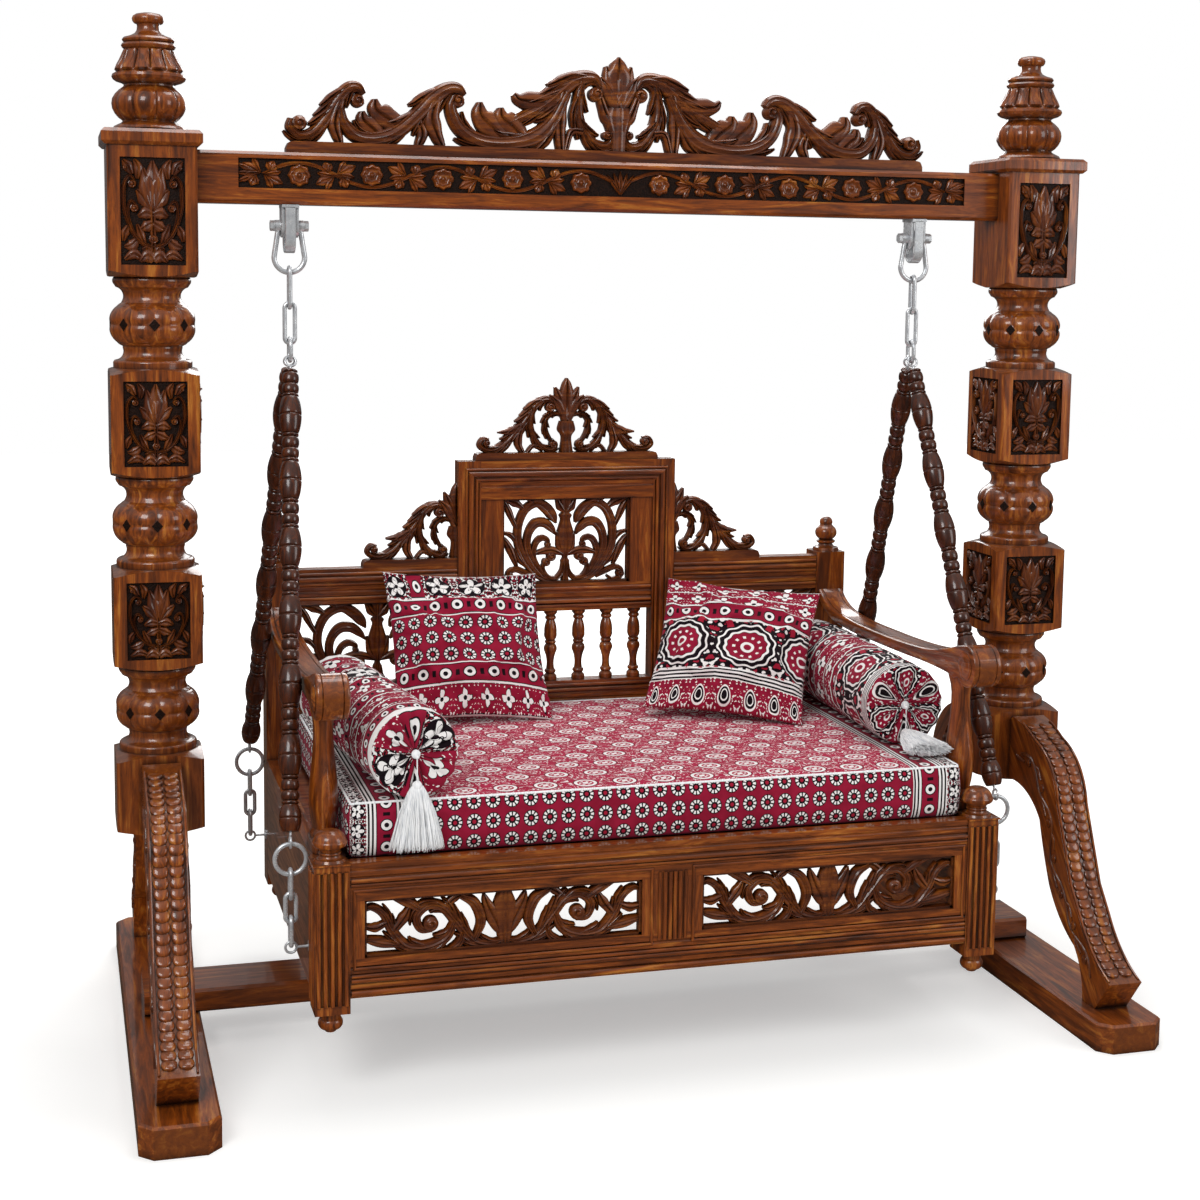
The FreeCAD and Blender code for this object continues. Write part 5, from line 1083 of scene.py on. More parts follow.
# Reeds run along the frame members: rounds sunk by half into the board and mitred at the corners.
# Each row is (distance from the edge, radius); distances below 0 lie outside the opening.
reeding = {
    "centreFrame": {"box": (-268, 268, 643, 1180), "face": 380, "rows": ((20, 3.0), (31, 6.5), (44, 4.0))},
    "apronFrames": {"box": (64, 625, 297, 412), "face": -468, "rows": ((-20, 3.2),)},
    "sideRails": {"span": (270, 643), "face": 384, "rows": ((920, 4.0), (908, 6.0), (896, 3.5),
        (863, 4.0))},
    "crossRail": {"span": (-211, 211), "face": 384, "rows": ((827, 4.0), (838, 5.0), (869, 4.0))},
    "lowerRail": {"span": (-643, 643), "face": 384, "rows": ((632, 4.0), (620, 5.0))},
    "apronRails": {"span": (-651, 651), "face": -468, "rows": ((452, 4.5), (443, 3.0), (262, 4.0),
        (253, 4.0), (228, 6.0))},
    "apronStile": {"span": (284, 425), "face": -468, "rows": ((-27, 3.5), (-16, 4.5), (-5, 4.5), (5, 4.5),
        (16, 4.5), (27, 3.5))},
    "legs": {"centre": (687.5, -435.5), "half": 34.5, "span": (206, 472), "rows": (-27, -13.8, 0, 13.8,
        27), "radius": 4.2},
    "proud": 0.9,
}


def reedShell(start, end, across, out, radius, mitred=(0, 0)):
    start, end, across, out = (np.array(v, float) for v in (start, end, across, out))
    along = (end - start) / np.linalg.norm(end - start)
    angle = wholeTurn(16)
    aside, lift = radius * np.cos(angle), radius * reeding["proud"] * np.sin(angle)
    section = np.outer(aside, across) + np.outer(lift, out)
    low, high = mitred
    return ringShell(np.array([start + section + np.outer(low * aside, along),
            end + section - np.outer(high * aside, along)]))


def frameReeds(name, closed):
    # uprights and levels of a mitred frame; an open frame has no lower side
    row = reeding[name]
    x0, x1, z0, z1 = row["box"]
    y, out, foot = row["face"], (0, -1, 0), 1 if closed else 0
    uprights, levels = [], []
    for inset, radius in row["rows"]:
        left, right, low, high = x0 + inset, x1 - inset, z0 + foot * inset, z1 - inset
        uprights.append(reedShell((left, y, low), (left, y, high), (1, 0, 0), out, radius, (foot, 1)))
        uprights.append(reedShell((right, y, low), (right, y, high), (-1, 0, 0), out, radius, (foot, 1)))
        levels.append(reedShell((left, y, high), (right, y, high), (0, 0, -1), out, radius, (1, 1)))
        if closed:
            levels.append(reedShell((left, y, low), (right, y, low), (0, 0, 1), out, radius, (1, 1)))
    return uprights, levels


def levelReeds(name):
    row = reeding[name]
    (x0, x1), y = row["span"], row["face"]
    return [reedShell((x0, y, z), (x1, y, z), (0, 0, 1), (0, -1, 0), radius) for z, radius in row["rows"]]


def makeReeding():
    uprights, levels = frameReeds("centreFrame", False)
    apronUprights, apronLevels = frameReeds("apronFrames", True)
    sideLevels = levelReeds("sideRails")
    uprights += apronUprights + mirrored(apronUprights)
    levels += apronLevels + mirrored(apronLevels) + sideLevels + mirrored(sideLevels)
    levels += levelReeds("crossRail") + levelReeds("lowerRail") + levelReeds("apronRails")
    row = reeding["apronStile"]
    uprights += [reedShell((x, row["face"], row["span"][0]), (x, row["face"], row["span"][1]), (1, 0, 0),
            (0, -1, 0), radius)
            for x, radius in row["rows"]]
    row = reeding["legs"]
    (x, y), (low, high), half = row["centre"], row["span"], row["half"]
    legs = []
    for at in row["rows"]:
        legs.append(reedShell((x + at, y - half, low), (x + at, y - half, high), (1, 0, 0), (0, -1, 0),
                row["radius"]))
        legs.append(reedShell((x + half, y + at, low), (x + half, y + at, high), (0, 1, 0), (1, 0, 0),
                row["radius"]))
    uprights += legs + mirrored(legs)
    makePiece("upright_reeds", scaled(uprights), grainUp, "bench")
    makePiece("level_reeds", scaled(levels), grainAcross, "bench")


makeReeding()
print("rails, stiles and legs are reeded")


# Turned hanging rods: (form, length, radius) from the upper end; the barrels share what is left.
rods = {
    "head": (("ring", 6, 15), ("bead", 24, 17.5), ("bead", 22, 17.5), ("ring", 8, 17)),
    "between": (("ring", 8, 17), ("bead", 24, 18), ("bead", 22, 18), ("ring", 9, 17.5)),
    "tail": (("ring", 8, 17), ("bead", 22, 18), ("bead", 20, 18), ("ring", 8, 17), ("barrel", 52, 22)),
    "barrels": 6, "barrelRadius": 23.2, "neck": 13, "groove": 1.8, "around": 40,
}


def rodForm(kind, length, radius):
    # (distance, radius) pairs: rings and beads swell as half circles, a barrel has a groove round
    # its middle
    t = np.linspace(0, 1, {"ring": 7, "bead": 11, "barrel": 33}[kind])
    if kind == "barrel":
        r = radius * (0.7 + 0.3 * np.sin(math.pi * t) ** 0.75)
        r -= rods["groove"] * np.exp(-((t - 0.5) / 0.018) ** 2)
    else:
        r = rods["neck"] + (radius - rods["neck"]) * np.sqrt(np.clip(1 - (2 * t - 1) ** 2, 0, 1))
    return list(zip(t * length, r))


def makeRod(name, body):
    # the axis is the longest direction of the CAD rod's points
    points = np.array([v.co for v in nodes[name].data.vertices]) / mm
    middle = points.mean(0)
    axis = np.linalg.svd(points - middle, full_matrices=False)[2][0]
    axis *= -np.sign(axis[2])
    run = (points - middle) @ axis
    start, length = middle + axis * run.min(), np.ptp(run)
    side = np.cross(axis, (1, 0, 0))
    side /= np.linalg.norm(side)
    aside = np.cross(axis, side)
    used = sum(form[1] for form in rods["head"] + rods["tail"]) + (rods["barrels"] - 1) * sum(form[1]
            for form in rods["between"])
    barrel = ("barrel", (length - used) / rods["barrels"], rods["barrelRadius"])
    forms = [*rods["head"], *([barrel, *rods["between"]] * (rods["barrels"] - 1)), barrel, *rods["tail"]]
    profile, at = [], 0
    for form in forms:
        profile += [(at + d, r) for d, r in rodForm(*form)]
        at += form[1]
    angle = wholeTurn(rods["around"])
    rings = [start + axis * d + np.outer(r * np.cos(angle), side) + np.outer(r * np.sin(angle), aside)
            for d, r in profile]
    makePiece(name + "_turned", [ringShell(np.array(rings) * mm)], turnedDark, body, [name],
            sharp=50)


# Hangers: a foot plate, two cheeks that carry the bolt, and a broad strap round the roller.
hanger = {
    "x": 706, "top": 1754, "foot": 6, "half": 17.5, "deep": 28, "cheek": 6, "cheekDeep": 22,
    "cheekLow": 1687,
    "strapHalf": 10.8, "strap": 5, "strapLow": 1655.2,
}


def makeHangers():
    x, top, foot = hanger["x"], hanger["top"], hanger["top"] - hanger["foot"]
    deep, half = hanger["deep"], hanger["half"]
    shells = [boxShell(x - half, x + half, -deep, deep, foot, top)]
    angle = np.linspace(0, math.pi, 25)

    def uOutline(reach, low):
        # half circle at the bottom and straight sides up to the foot plate, in y and z
        return np.vstack([[(-reach, foot + 1)],
                np.column_stack([-reach * np.cos(angle), low + reach - reach * np.sin(angle)]),
                [(reach, foot + 1)]])

    def alongX(outline, stations):
        middle = outline.mean(0)
        return ringShell(np.array([np.column_stack([np.full(len(outline), at), outline + inset
                * (middle - outline)]) for at, inset in stations]))

    cheek = uOutline(hanger["cheekDeep"], hanger["cheekLow"])
    for side in (-1, 1):
        inner = half - hanger["cheek"]
        shells.append(alongX(cheek, [(x + side * inner, 0), (x + side * (half - 0.8), 0),
                (x + side * half, 0.03)]))
    strap, wide = hanger["strap"], hanger["strapHalf"]
    rings = []
    for at, inset in ((-wide, 1.2), (1.2 - wide, 0), (wide - 1.2, 0), (wide, 1.2)):
        outer = uOutline(deep - inset, hanger["strapLow"] + inset)
        inner = uOutline(deep - strap + inset, hanger["strapLow"] + strap - inset)
        outline = np.vstack([outer, inner[::-1]])
        rings.append(np.column_stack([np.full(len(outline), x + at), outline]))
    # the strap's ends are flat quads, since its outline is hollow
    rings = np.array(rings)
    verts, faces = ringShell(rings)
    count = rings.shape[1]
    faces = faces[:-2]
    for base, flip in ((0, -1), ((len(rings) - 1) * count, 1)):
        for k in range(count // 2 - 1):
            quad = [base + k, base + k + 1, base + count - 2 - k, base + count - 1 - k]
            faces.append(quad[::flip])
    shells.append((verts, faces))
    both = scaled(shells)
    makePiece("hangers_strapped", both + mirrored(both), zincSteel, "frame", ["hangers"])


for side in ("left", "right"):
    for place in ("front", "rear"):
        makeRod(side + "_" + place + "_rod", side + "_drop")
makeHangers()
print("rods are turned and hangers strapped")


# Block printed cotton: madder ground with black and undyed white figures, dull and slightly
# mottled where the dye took unevenly, with a plain weave drawn at 1.4 mm so that it shows.
cotton = {
    "ground": "#85102c", "groundWorn": "#9c1838", "dark": "#140810", "white": "#eeeae8", "tint": "#a01a32",
    # next: the lighter grounds of the mattress top, painted light standing for the light that falls on it
    # from above
    "litTopGround": ("#9d1036", "#b01a44"), "mottle": 35 * mm, "thread": 1.4 * mm, "roughness": 0.88,
    "sheen": 0.06,
}

# Each print is drawn in one cell: x and y from its middle, r and a polar, n1 a noise folded about
# the middle line, n2 a plain noise. Rows: result, operation, inputs. black, white and tint are used.
printSteps = {
    "rosettes": [
        ("k", "MULTIPLY", "a", 10.0), ("w", "COSINE", "k"), ("p", "GREATER_THAN", "w", -0.35),
        ("o", "LESS_THAN", "r", 0.365), ("i", "GREATER_THAN", "r", 0.2), ("b", "MULTIPLY", "o", "i"),
        ("white", "MULTIPLY", "p", "b"), ("black", "LESS_THAN", "r", 0.41), ("tint", "LESS_THAN", "r",
        0.1)],
    "rings": [
        ("o", "LESS_THAN", "r", 0.235), ("i", "GREATER_THAN", "r", 0.105), ("disc", "MULTIPLY", "o", "i"),
        ("halo", "LESS_THAN", "r", 0.285), ("ay", "ABSOLUTE", "y"), ("edge", "GREATER_THAN", "ay", 0.445),
        ("under", "GREATER_THAN", "ay", 0.405), ("white", "MAXIMUM", "disc", "edge"),
        ("far", "GREATER_THAN", "ax", 0.42), ("low", "LESS_THAN", "ay", 0.15), ("square", "MULTIPLY",
        "far", "low"),
        ("h2", "MAXIMUM", "halo", "under"), ("black", "MAXIMUM", "h2", "square")],
    "floral": [
        ("k", "MULTIPLY", "a2", 2.5), ("c", "COSINE", "k"), ("lobe", "ABSOLUTE", "c"),
        ("reach", "MULTIPLY_ADD", "lobe", 0.26, 0.1), ("flower", "LESS_THAN", "r", "reach"),
        ("core", "GREATER_THAN", "r", 0.07), ("petals", "MULTIPLY", "flower", "core"),
        ("blots", "GREATER_THAN", "n1", 0.545), ("outside", "GREATER_THAN", "r", 0.4),
        ("side", "MULTIPLY", "blots", "outside"), ("figure", "MAXIMUM", "petals", "side"),
        ("veins", "COMPARE", "n2", 0.5, 0.018), ("clear", "SUBTRACT", 1.0, "veins"),
        ("inner", "MULTIPLY", "figure", "clear"), ("ay", "ABSOLUTE", "y"), ("edge", "GREATER_THAN", "ay",
        0.465),
        ("white", "MAXIMUM", "inner", "edge"), ("black", "LESS_THAN", "r", 9.0),
        ("red", "COMPARE", "n1", 0.42, 0.035), ("tint", "MULTIPLY", "red", "outside")],
    "sprigs": [
        ("k", "MULTIPLY", "a", 2.0), ("c", "COSINE", "k"), ("lobe", "ABSOLUTE", "c"),
        ("reach", "MULTIPLY_ADD", "lobe", 0.2, 0.1), ("wobble", "MULTIPLY_ADD", "n2", 0.26, -0.13),
        ("reach2", "ADD", "reach", "wobble"), ("flower", "LESS_THAN", "r", "reach2"),
        ("core", "GREATER_THAN", "r", 0.075), ("petals", "MULTIPLY", "flower", "core"),
        ("blots", "GREATER_THAN", "n1", 0.625), ("outside", "GREATER_THAN", "r", 0.37),
        ("side", "MULTIPLY", "blots", "outside"), ("figure", "MAXIMUM", "petals", "side"),
        ("ay", "ABSOLUTE", "y"), ("edge", "GREATER_THAN", "ay", 0.47), ("white", "MAXIMUM", "figure",
        "edge"),
        ("shade", "MULTIPLY_ADD", "reach2", 1.0, 0.035), ("halo", "LESS_THAN", "r", "shade"),
        ("line", "COMPARE", "ay", 0.462, 0.012), ("black", "MAXIMUM", "halo", "line")],
    "medallions": [
        ("k", "MULTIPLY", "a", 12.0), ("c", "COSINE", "k"), ("scallop", "MULTIPLY_ADD", "c", 0.035, 1.0),
        ("d", "MULTIPLY", "r", "scallop"), ("ring1", "COMPARE", "d", 0.315, 0.02),
        ("ring2", "COMPARE", "d", 0.415, 0.016),
        ("k2", "MULTIPLY", "a", 10.0), ("c2", "COSINE", "k2"), ("dot", "GREATER_THAN", "c2", 0.45),
        ("at", "COMPARE", "r", 0.19, 0.022), ("dots", "MULTIPLY", "dot", "at"), ("eye", "COMPARE", "r",
        0.075, 0.022),
        ("w1", "MAXIMUM", "ring1", "ring2"), ("w2", "MAXIMUM", "dots", "eye"), ("w3", "MAXIMUM", "w1",
        "w2"),
        ("out", "GREATER_THAN", "d", 0.46), ("blots", "GREATER_THAN", "n1", 0.585),
        ("b1", "MULTIPLY", "out", "blots"),
        ("ay", "ABSOLUTE", "y"), ("edge", "GREATER_THAN", "ay", 0.478), ("w4", "MAXIMUM", "b1", "edge"),
        ("white", "MAXIMUM", "w3", "w4"), ("black", "GREATER_THAN", "d", 0.285),
        ("red", "LESS_THAN", "n1", 0.43), ("tint", "MULTIPLY", "red", "out")],
    "ovals": [
        ("ring", "COMPARE", "r", 0.245, 0.04), ("eye", "LESS_THAN", "r", 0.075), ("w1", "MAXIMUM", "ring",
        "eye"),
        ("k", "MULTIPLY", "a", 6.0), ("c", "COSINE", "k"), ("dot", "GREATER_THAN", "c", 0.0),
        ("at", "COMPARE", "r", 0.135, 0.03), ("dots", "MULTIPLY", "dot", "at"), ("w2", "MAXIMUM", "w1",
        "dots"),
        ("vine", "COMPARE", "n2", 0.5, 0.014), ("bud", "GREATER_THAN", "n1", 0.645), ("scatter", "MAXIMUM",
        "vine", "bud"),
        ("out", "GREATER_THAN", "r", 0.34), ("w3", "MULTIPLY", "scatter", "out"),
        ("white", "MAXIMUM", "w2", "w3"),
        ("black", "COMPARE", "r", 0.3, 0.01)],
    "teardrops": [
        ("low", "MULTIPLY_ADD", "y", -0.55, 0.62), ("px", "DIVIDE", "ax", "low"), ("px2", "POWER", "px",
        2.0),
        ("py", "ADD", "y", 0.05), ("py2", "POWER", "py", 2.0), ("sum", "ADD", "px2", "py2"),
        ("d", "SQRT", "sum"),
        ("rim", "COMPARE", "d", 0.33, 0.035), ("mid", "COMPARE", "d", 0.18, 0.025),
        ("w1", "MAXIMUM", "rim", "mid"),
        ("out", "GREATER_THAN", "d", 0.42), ("blots", "GREATER_THAN", "n1", 0.6), ("w2", "MULTIPLY", "out",
        "blots"),
        ("white", "MAXIMUM", "w1", "w2"), ("black", "LESS_THAN", "d", 0.29)],
    "stripes": [
        ("k", "MULTIPLY", "y", 25.13), ("c", "COSINE", "k"), ("white", "GREATER_THAN", "c", -0.1),
        ("black", "LESS_THAN", "r", 9.0)],
    "plain": [("white", "GREATER_THAN", "r", 9.0), ("black", "GREATER_THAN", "r", 9.0)],
    "piping": [("white", "LESS_THAN", "r", 9.0), ("black", "GREATER_THAN", "r", 9.0)],
}


def printedCotton(name, steps, staggeredLitTop=False):
    # the staggered print of the mattress top takes the lighter grounds: painted light from above
    darkerGround, lighterGround = cotton["litTopGround"] if staggeredLitTop else (cotton["ground"], cotton["groundWorn"])
    material, tree, shader = startMaterial("block_printed_cotton_" + name)
    cells = addNode(tree, "UVMap", uv_map="cells").outputs[0]
    split = addNode(tree, "SeparateXYZ", [cells])
    across, up = split.outputs[0], split.outputs[1]
    if staggeredLitTop:
        row = addNode(tree, "Math", [up], operation="FLOOR")
        across = addNode(tree, "Math", [row, 0.5, across], operation="MULTIPLY_ADD")
    known = {}
    for key, value in (("x", across), ("y", up)):
        share = addNode(tree, "Math", [value], operation="FRACT")
        known[key] = addNode(tree, "Math", [share, 0.5], operation="SUBTRACT")
    known["ax"] = addNode(tree, "Math", [known["x"]], operation="ABSOLUTE")
    spot = addNode(tree, "CombineXYZ", [known["x"], known["y"]])
    known["r"] = addNode(tree, "VectorMath", [spot], operation="LENGTH").outputs["Value"]
    known["a"] = addNode(tree, "Math", [known["y"], known["x"]], operation="ARCTAN2")
    known["a2"] = addNode(tree, "Math", [known["x"], known["y"]], operation="ARCTAN2")
    folded = addNode(tree, "CombineXYZ", [known["ax"], known["y"]])
    known["n1"] = addNode(tree, "TexNoise", {"Vector": folded, "Scale": 8.5, "Detail": 1.5,
            "Roughness": 0.45})
    known["n2"] = addNode(tree, "TexNoise", {"Vector": cells, "Scale": 4.2, "Detail": 1.0,
            "Distortion": 0.6})
    for result, operation, *inputs in steps:
        values = [known[i] if isinstance(i, str) else i for i in inputs]
        known[result] = addNode(tree, "Math", values, operation=operation)
    place = addNode(tree, "TexCoord").outputs["Object"]
    mottle = addNode(tree, "TexNoise", {"Vector": place, "Scale": 1 / cotton["mottle"], "Detail": 4.0})
    ground = setStops(addNode(tree, "ValToRGB", [mottle.outputs[0]]), ((0.35, darkerGround), (0.7, lighterGround)))
    blackened = addNode(tree, "MixRGB", [known["black"], ground, linearColour(cotton["dark"])])
    whitened = addNode(tree, "MixRGB", [known["white"], blackened, linearColour(cotton["white"])])
    finished = whitened
    if "tint" in known:
        finished = addNode(tree, "MixRGB", [known["tint"], whitened, linearColour(cotton["tint"])])
    flat = addNode(tree, "Mapping", {"Vector": addNode(tree, "UVMap", uv_map="cloth"),
            "Scale": [1 / cotton["thread"]] * 3})
    weave = addNode(tree, "TexChecker", {"Vector": flat, "Scale": 1.0})
    bump = addNode(tree, "Bump", {"Height": weave.outputs["Fac"], "Strength": 0.12, "Distance": 0.25 * mm})
    creases = addNode(tree, "Bump", {"Height": mottle.outputs[0], "Normal": bump, "Strength": 0.3,
            "Distance": 3 * mm})
    setInputs(tree, shader, {"Base Color": finished, "Normal": creases, "Roughness": cotton["roughness"],
            "Sheen Weight": cotton["sheen"], "Specular IOR Level": 0.12})
    return material


prints = {name: printedCotton(name, steps, name == "ovals") for name, steps in printSteps.items()}
printOrder = list(prints)


# The cloth is blown up for a few frames with its seams held, so that it crowns and wrinkles.
puff = {"pressure": 4.0, "frames": 20, "quality": 4, "mass": 0.3, "tension": 12.0, "bending": 0.4}


def puffed(piece, seams, cap, loose):
    # cap: how far a point may move; loose: share by which the cloth is cut larger than its seams
    mesh, scene = piece.data, bpy.context.scene
    before = np.empty((len(mesh.vertices), 3), np.float32)
    mesh.vertices.foreach_get("co", before.ravel())
    tree = KDTree(len(seams))
    for number, spot in enumerate(seams):
        tree.insert(spot, number)
    tree.balance()
    held = [k for k, spot in enumerate(before) if tree.find(spot)[2] < 0.1 * mm]
    piece.vertex_groups.new(name="seams").add(held, 1.0, "REPLACE")
    cloth = piece.modifiers.new("puff", "CLOTH")
    settings = cloth.settings
    settings.use_pressure, settings.uniform_pressure_force = True, puff["pressure"]
    settings.effector_weights.gravity = 0
    settings.quality, settings.mass, settings.shrink_min = puff["quality"], puff["mass"], -loose
    settings.tension_stiffness = settings.compression_stiffness = puff["tension"]
    settings.bending_stiffness = puff["bending"]
    settings.vertex_group_mass = "seams"
    cloth.collision_settings.use_collision = cloth.collision_settings.use_self_collision = False
    cloth.point_cache.frame_start, cloth.point_cache.frame_end = 1, puff["frames"]
    for frameNumber in range(1, puff["frames"] + 1):
        scene.frame_set(frameNumber)
    shaped = piece.evaluated_get(bpy.context.evaluated_depsgraph_get()).data
    after = np.empty_like(before)
    shaped.vertices.foreach_get("co", after.ravel())
    move = after - before
    reach = np.linalg.norm(move, axis=1, keepdims=True)
    after = before + move * np.minimum(1, cap / np.maximum(reach, 1e-9))
    # it stays in the box it was sewn in, so it still rests on what carries it
    after = np.clip(after, before.min(0), before.max(0))
    piece.modifiers.remove(cloth)
    piece.vertex_groups.clear()
    scene.frame_set(1)
    mesh.vertices.foreach_set("co", after.astype(np.float32).ravel())
    mesh.update()
    print(piece.name, "puffed, furthest move", round(float(reach.max()) / mm, 1), "mm")


def clothPiece(name, sheets, body, replaced, cap, loose):
    # sheets: lattices of points with zones (i0, i1, j0, j1, print, cells across, cells up, turned) over
    # them; a turned zone has its print's x axis along j
    verts, faces, cells, flats, kinds, count = [], [], [], [], [], 0
    for points, zones in sheets:
        rows, columns = points.shape[:2]
        index = np.arange(rows * columns).reshape(rows, columns) + count
        count += rows * columns
        verts.append(points.reshape(-1, 3))
        alongI = np.cumsum(np.r_[0, np.linalg.norm(np.diff(points[:, columns // 2], axis=0), axis=1)])
        alongJ = np.cumsum(np.r_[0, np.linalg.norm(np.diff(points[rows // 2], axis=0), axis=1)])
        for i0, i1, j0, j1, kind, across, up, *turned in zones:
            i, j = np.meshgrid(np.arange(i0, i1), np.arange(j0, j1), indexing="ij")
            i, j = i.ravel(), j.ravel()
            corners = [(i, j), (i + 1, j), (i + 1, j + 1), (i, j + 1)]
            faces.append(np.stack([index[a, b] for a, b in corners], -1))
            pairs = [((a - i0) / (i1 - i0), (b - j0) / (j1 - j0)) for a, b in corners]
            cells.append(np.stack([np.stack([v * across, u * up] if turned else [u * across, v * up],
                    -1) for u, v in pairs], 1))
            flats.append(np.stack([np.stack([alongI[a], alongJ[b]], -1) for a, b in corners], 1))
            kinds.append(np.full(len(i), printOrder.index(kind)))
    mesh = bpy.data.meshes.new(name)
    mesh.from_pydata(np.vstack(verts), [], np.vstack(faces).tolist())
    for layer, values in (("cells", cells), ("cloth", flats)):
        mesh.uv_layers.new(name=layer).uv.foreach_set("vector",
                np.vstack(values).astype(np.float32).ravel())
    for kind in printOrder:
        mesh.materials.append(prints[kind])
    mesh.polygons.foreach_set("material_index", np.concatenate(kinds).astype(np.int32))
    work = bmesh.new()
    work.from_mesh(mesh)
    bmesh.ops.remove_doubles(work, verts=work.verts, dist=0.05 * mm)
    bmesh.ops.recalc_face_normals(work, faces=work.faces)
    work.to_mesh(mesh)
    work.free()
    mesh.shade_smooth()
    piece = bpy.data.objects.new(name, mesh)
    bpy.context.scene.collection.objects.link(piece)
    puffed(piece, np.vstack([edge for p, _ in sheets for edge in (p[0], p[-1], p[:, 0], p[:, -1])]),
           cap * mm, loose)
    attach(piece, body)
    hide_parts(*replaced)


# Mattress: a box with soft edges; its sides belly out between the corners and its top is crowned.
mattress = {
    "low": (-650, -432, 484.6), "high": (650, 370, 599), "edge": 15, "belly": 5, "crown": 3.5,
    "pucker": 1.2,
}
# Border of the mattress from its end inwards: corner block, ring column, white stripes; then the field.
mattressBands = ((0, 34, "floral"), (34, 50, "stripes"), (50, 96, "rings"), (96, 112, "stripes"))


def softened(p, low, high, edge):
    # a point of the box, drawn in over rounded edges: nearest point of the inner box plus its offset
    inner = np.clip(p, low + edge, high - edge)
    offset = p - inner
    reach = np.linalg.norm(offset, axis=-1, keepdims=True)
    return inner + offset / np.maximum(reach, 1e-9) * np.minimum(reach, edge)


def lattice(first, second, fixed, value):
    # points of one side of the box: two running axes and one fixed
    a, b = np.meshgrid(first[1], second[1], indexing="ij")
    points = np.zeros(a.shape + (3,))
    points[..., first[0]], points[..., second[0]], points[..., fixed] = a, b, value
    return points


def makeMattress():
    low, high = np.array(mattress["low"], float), np.array(mattress["high"], float)
    marks = [m for a, b, _ in mattressBands for m in (a, b)]
    inset = sorted(set(marks))
    xBreaks = [low[0] + m for m in inset] + [high[0] - m for m in inset[::-1]]
    xLine = np.concatenate([np.linspace(a, b, 5 if b - a < 100 else 121)[:-1] for a,
            b in zip(xBreaks, xBreaks[1:])] + [[high[0]]])
    yLine = np.linspace(low[1], high[1], 81)
    zLine = np.linspace(low[2], high[2], 21)

    def shaped(points):
        p = softened(points, low, high, mattress["edge"])
        middle, half = (low + high) / 2, (high - low) / 2
        s = (p - middle) / half
        round01 = 1 - s ** 2
        wave = np.sin(p[..., 0] / 37) * np.sin(p[..., 0] / 91 + 1) + 0.6 * np.sin(p[..., 1] / 43)
        p[..., 1] += np.sign(s[..., 1]) * (np.abs(s[..., 1]) > 0.97) * round01[...,
                2] * (mattress["belly"] + mattress["pucker"] * wave)
        p[..., 0] += np.sign(s[..., 0]) * (np.abs(s[..., 0]) > 0.97) * round01[...,
                2] * mattress["belly"] * 0.6
        top = s[..., 2] > 0.97
        p[..., 2] -= top * (mattress["crown"] * (1 - np.clip(round01[..., 0] * round01[..., 1] * 4, 0,
                1)) - 0.5 * wave * round01[..., 1])
        return p * mm

    def columnsOf(fieldPrint, along, deep, across, up):
        # end bands as columns of cells whose prints run along the strip, then the field
        zones, at = [], 0
        spans = [k for _, _, k in mattressBands] + [fieldPrint] + [k for _, _, k in mattressBands[::-1]]
        counts = [4] * len(mattressBands) + [120] + [4] * len(mattressBands)
        for kind, steps in zip(spans, counts):
            if kind == fieldPrint:
                zones.append((at, at + steps, 0, deep, kind, across, up))
            else:
                zones.append((at, at + steps, 0, deep, kind, along[kind], 0.5 if kind == "stripes" else 1,
                        True))
            at += steps
        return zones

    top = shaped(lattice((0, xLine), (1, yLine), 2, high[2]))
    front = shaped(lattice((0, xLine), (2, zLine), 1, low[1]))
    back = shaped(lattice((0, xLine), (2, zLine), 1, high[1]))
    bottom = shaped(lattice((0, xLine), (1, yLine), 2, low[2]))
    left = shaped(lattice((1, yLine), (2, zLine), 0, low[0]))
    right = shaped(lattice((1, yLine), (2, zLine), 0, high[0]))
    wide, deep, tall = len(xLine) - 1, len(yLine) - 1, len(zLine) - 1
    sheets = [
        (top, columnsOf("ovals", {"rings": 16, "floral": 18, "stripes": 1}, deep, 13, 11)),
        (front, columnsOf("rosettes", {"rings": 2.6, "floral": 3, "stripes": 1}, tall, 28, 2.8)),
        (back, columnsOf("rosettes", {"rings": 2.6, "floral": 3, "stripes": 1}, tall, 28, 2.8)),
        (bottom, [(0, wide, 0, deep, "plain", 1, 1)]),
        (left, [(0, deep, 0, tall, "rosettes", 19, 2.8)]),
        (right, [(0, deep, 0, tall, "rosettes", 19, 2.8)])]
    clothPiece("mattress_cover", sheets, "bench", ["mattress"], cap=1.0, loose=0.004)
    return np.vstack([front[:, -1], right[1:, -1], back[-2::-1, -1], left[-2:0:-1, -1]])


# Square pillows: a crowned form whose sides draw in between the corners, wrinkled towards the
# seam, stood on edge, turned, rolled and leant back as in the photograph.
pillows = {
    "left_pillow": {"place": (-272, 253), "yaw": 4, "roll": 3, "lean": 33, "seed": 1},
    "right_pillow": {"place": (350, 168), "yaw": -23, "roll": 5, "lean": 44, "seed": 2},
    "side": 372, "thickness": 112, "drawIn": 12, "steps": 80, "restsAt": 600.4,
}
# (from, to) up the pillow in steps, print, cells across, cells up
leftPillowBands = ((0, 15, "sprigs", 8, 1), (15, 26, "rings", 7.5, 1), (26, 53, "rosettes", 9.5, 3),
        (53, 64, "rings", 8, 1), (64, 80, "floral", 4, 1))
rightPillowBands = ((0, 14, "teardrops", 7, 1), (14, 20, "stripes", 1, 0.75), (20, 51, "medallions", 2.55,
        1),
        (51, 62, "rings", 8, 1), (62, 80, "sprigs", 6, 2))


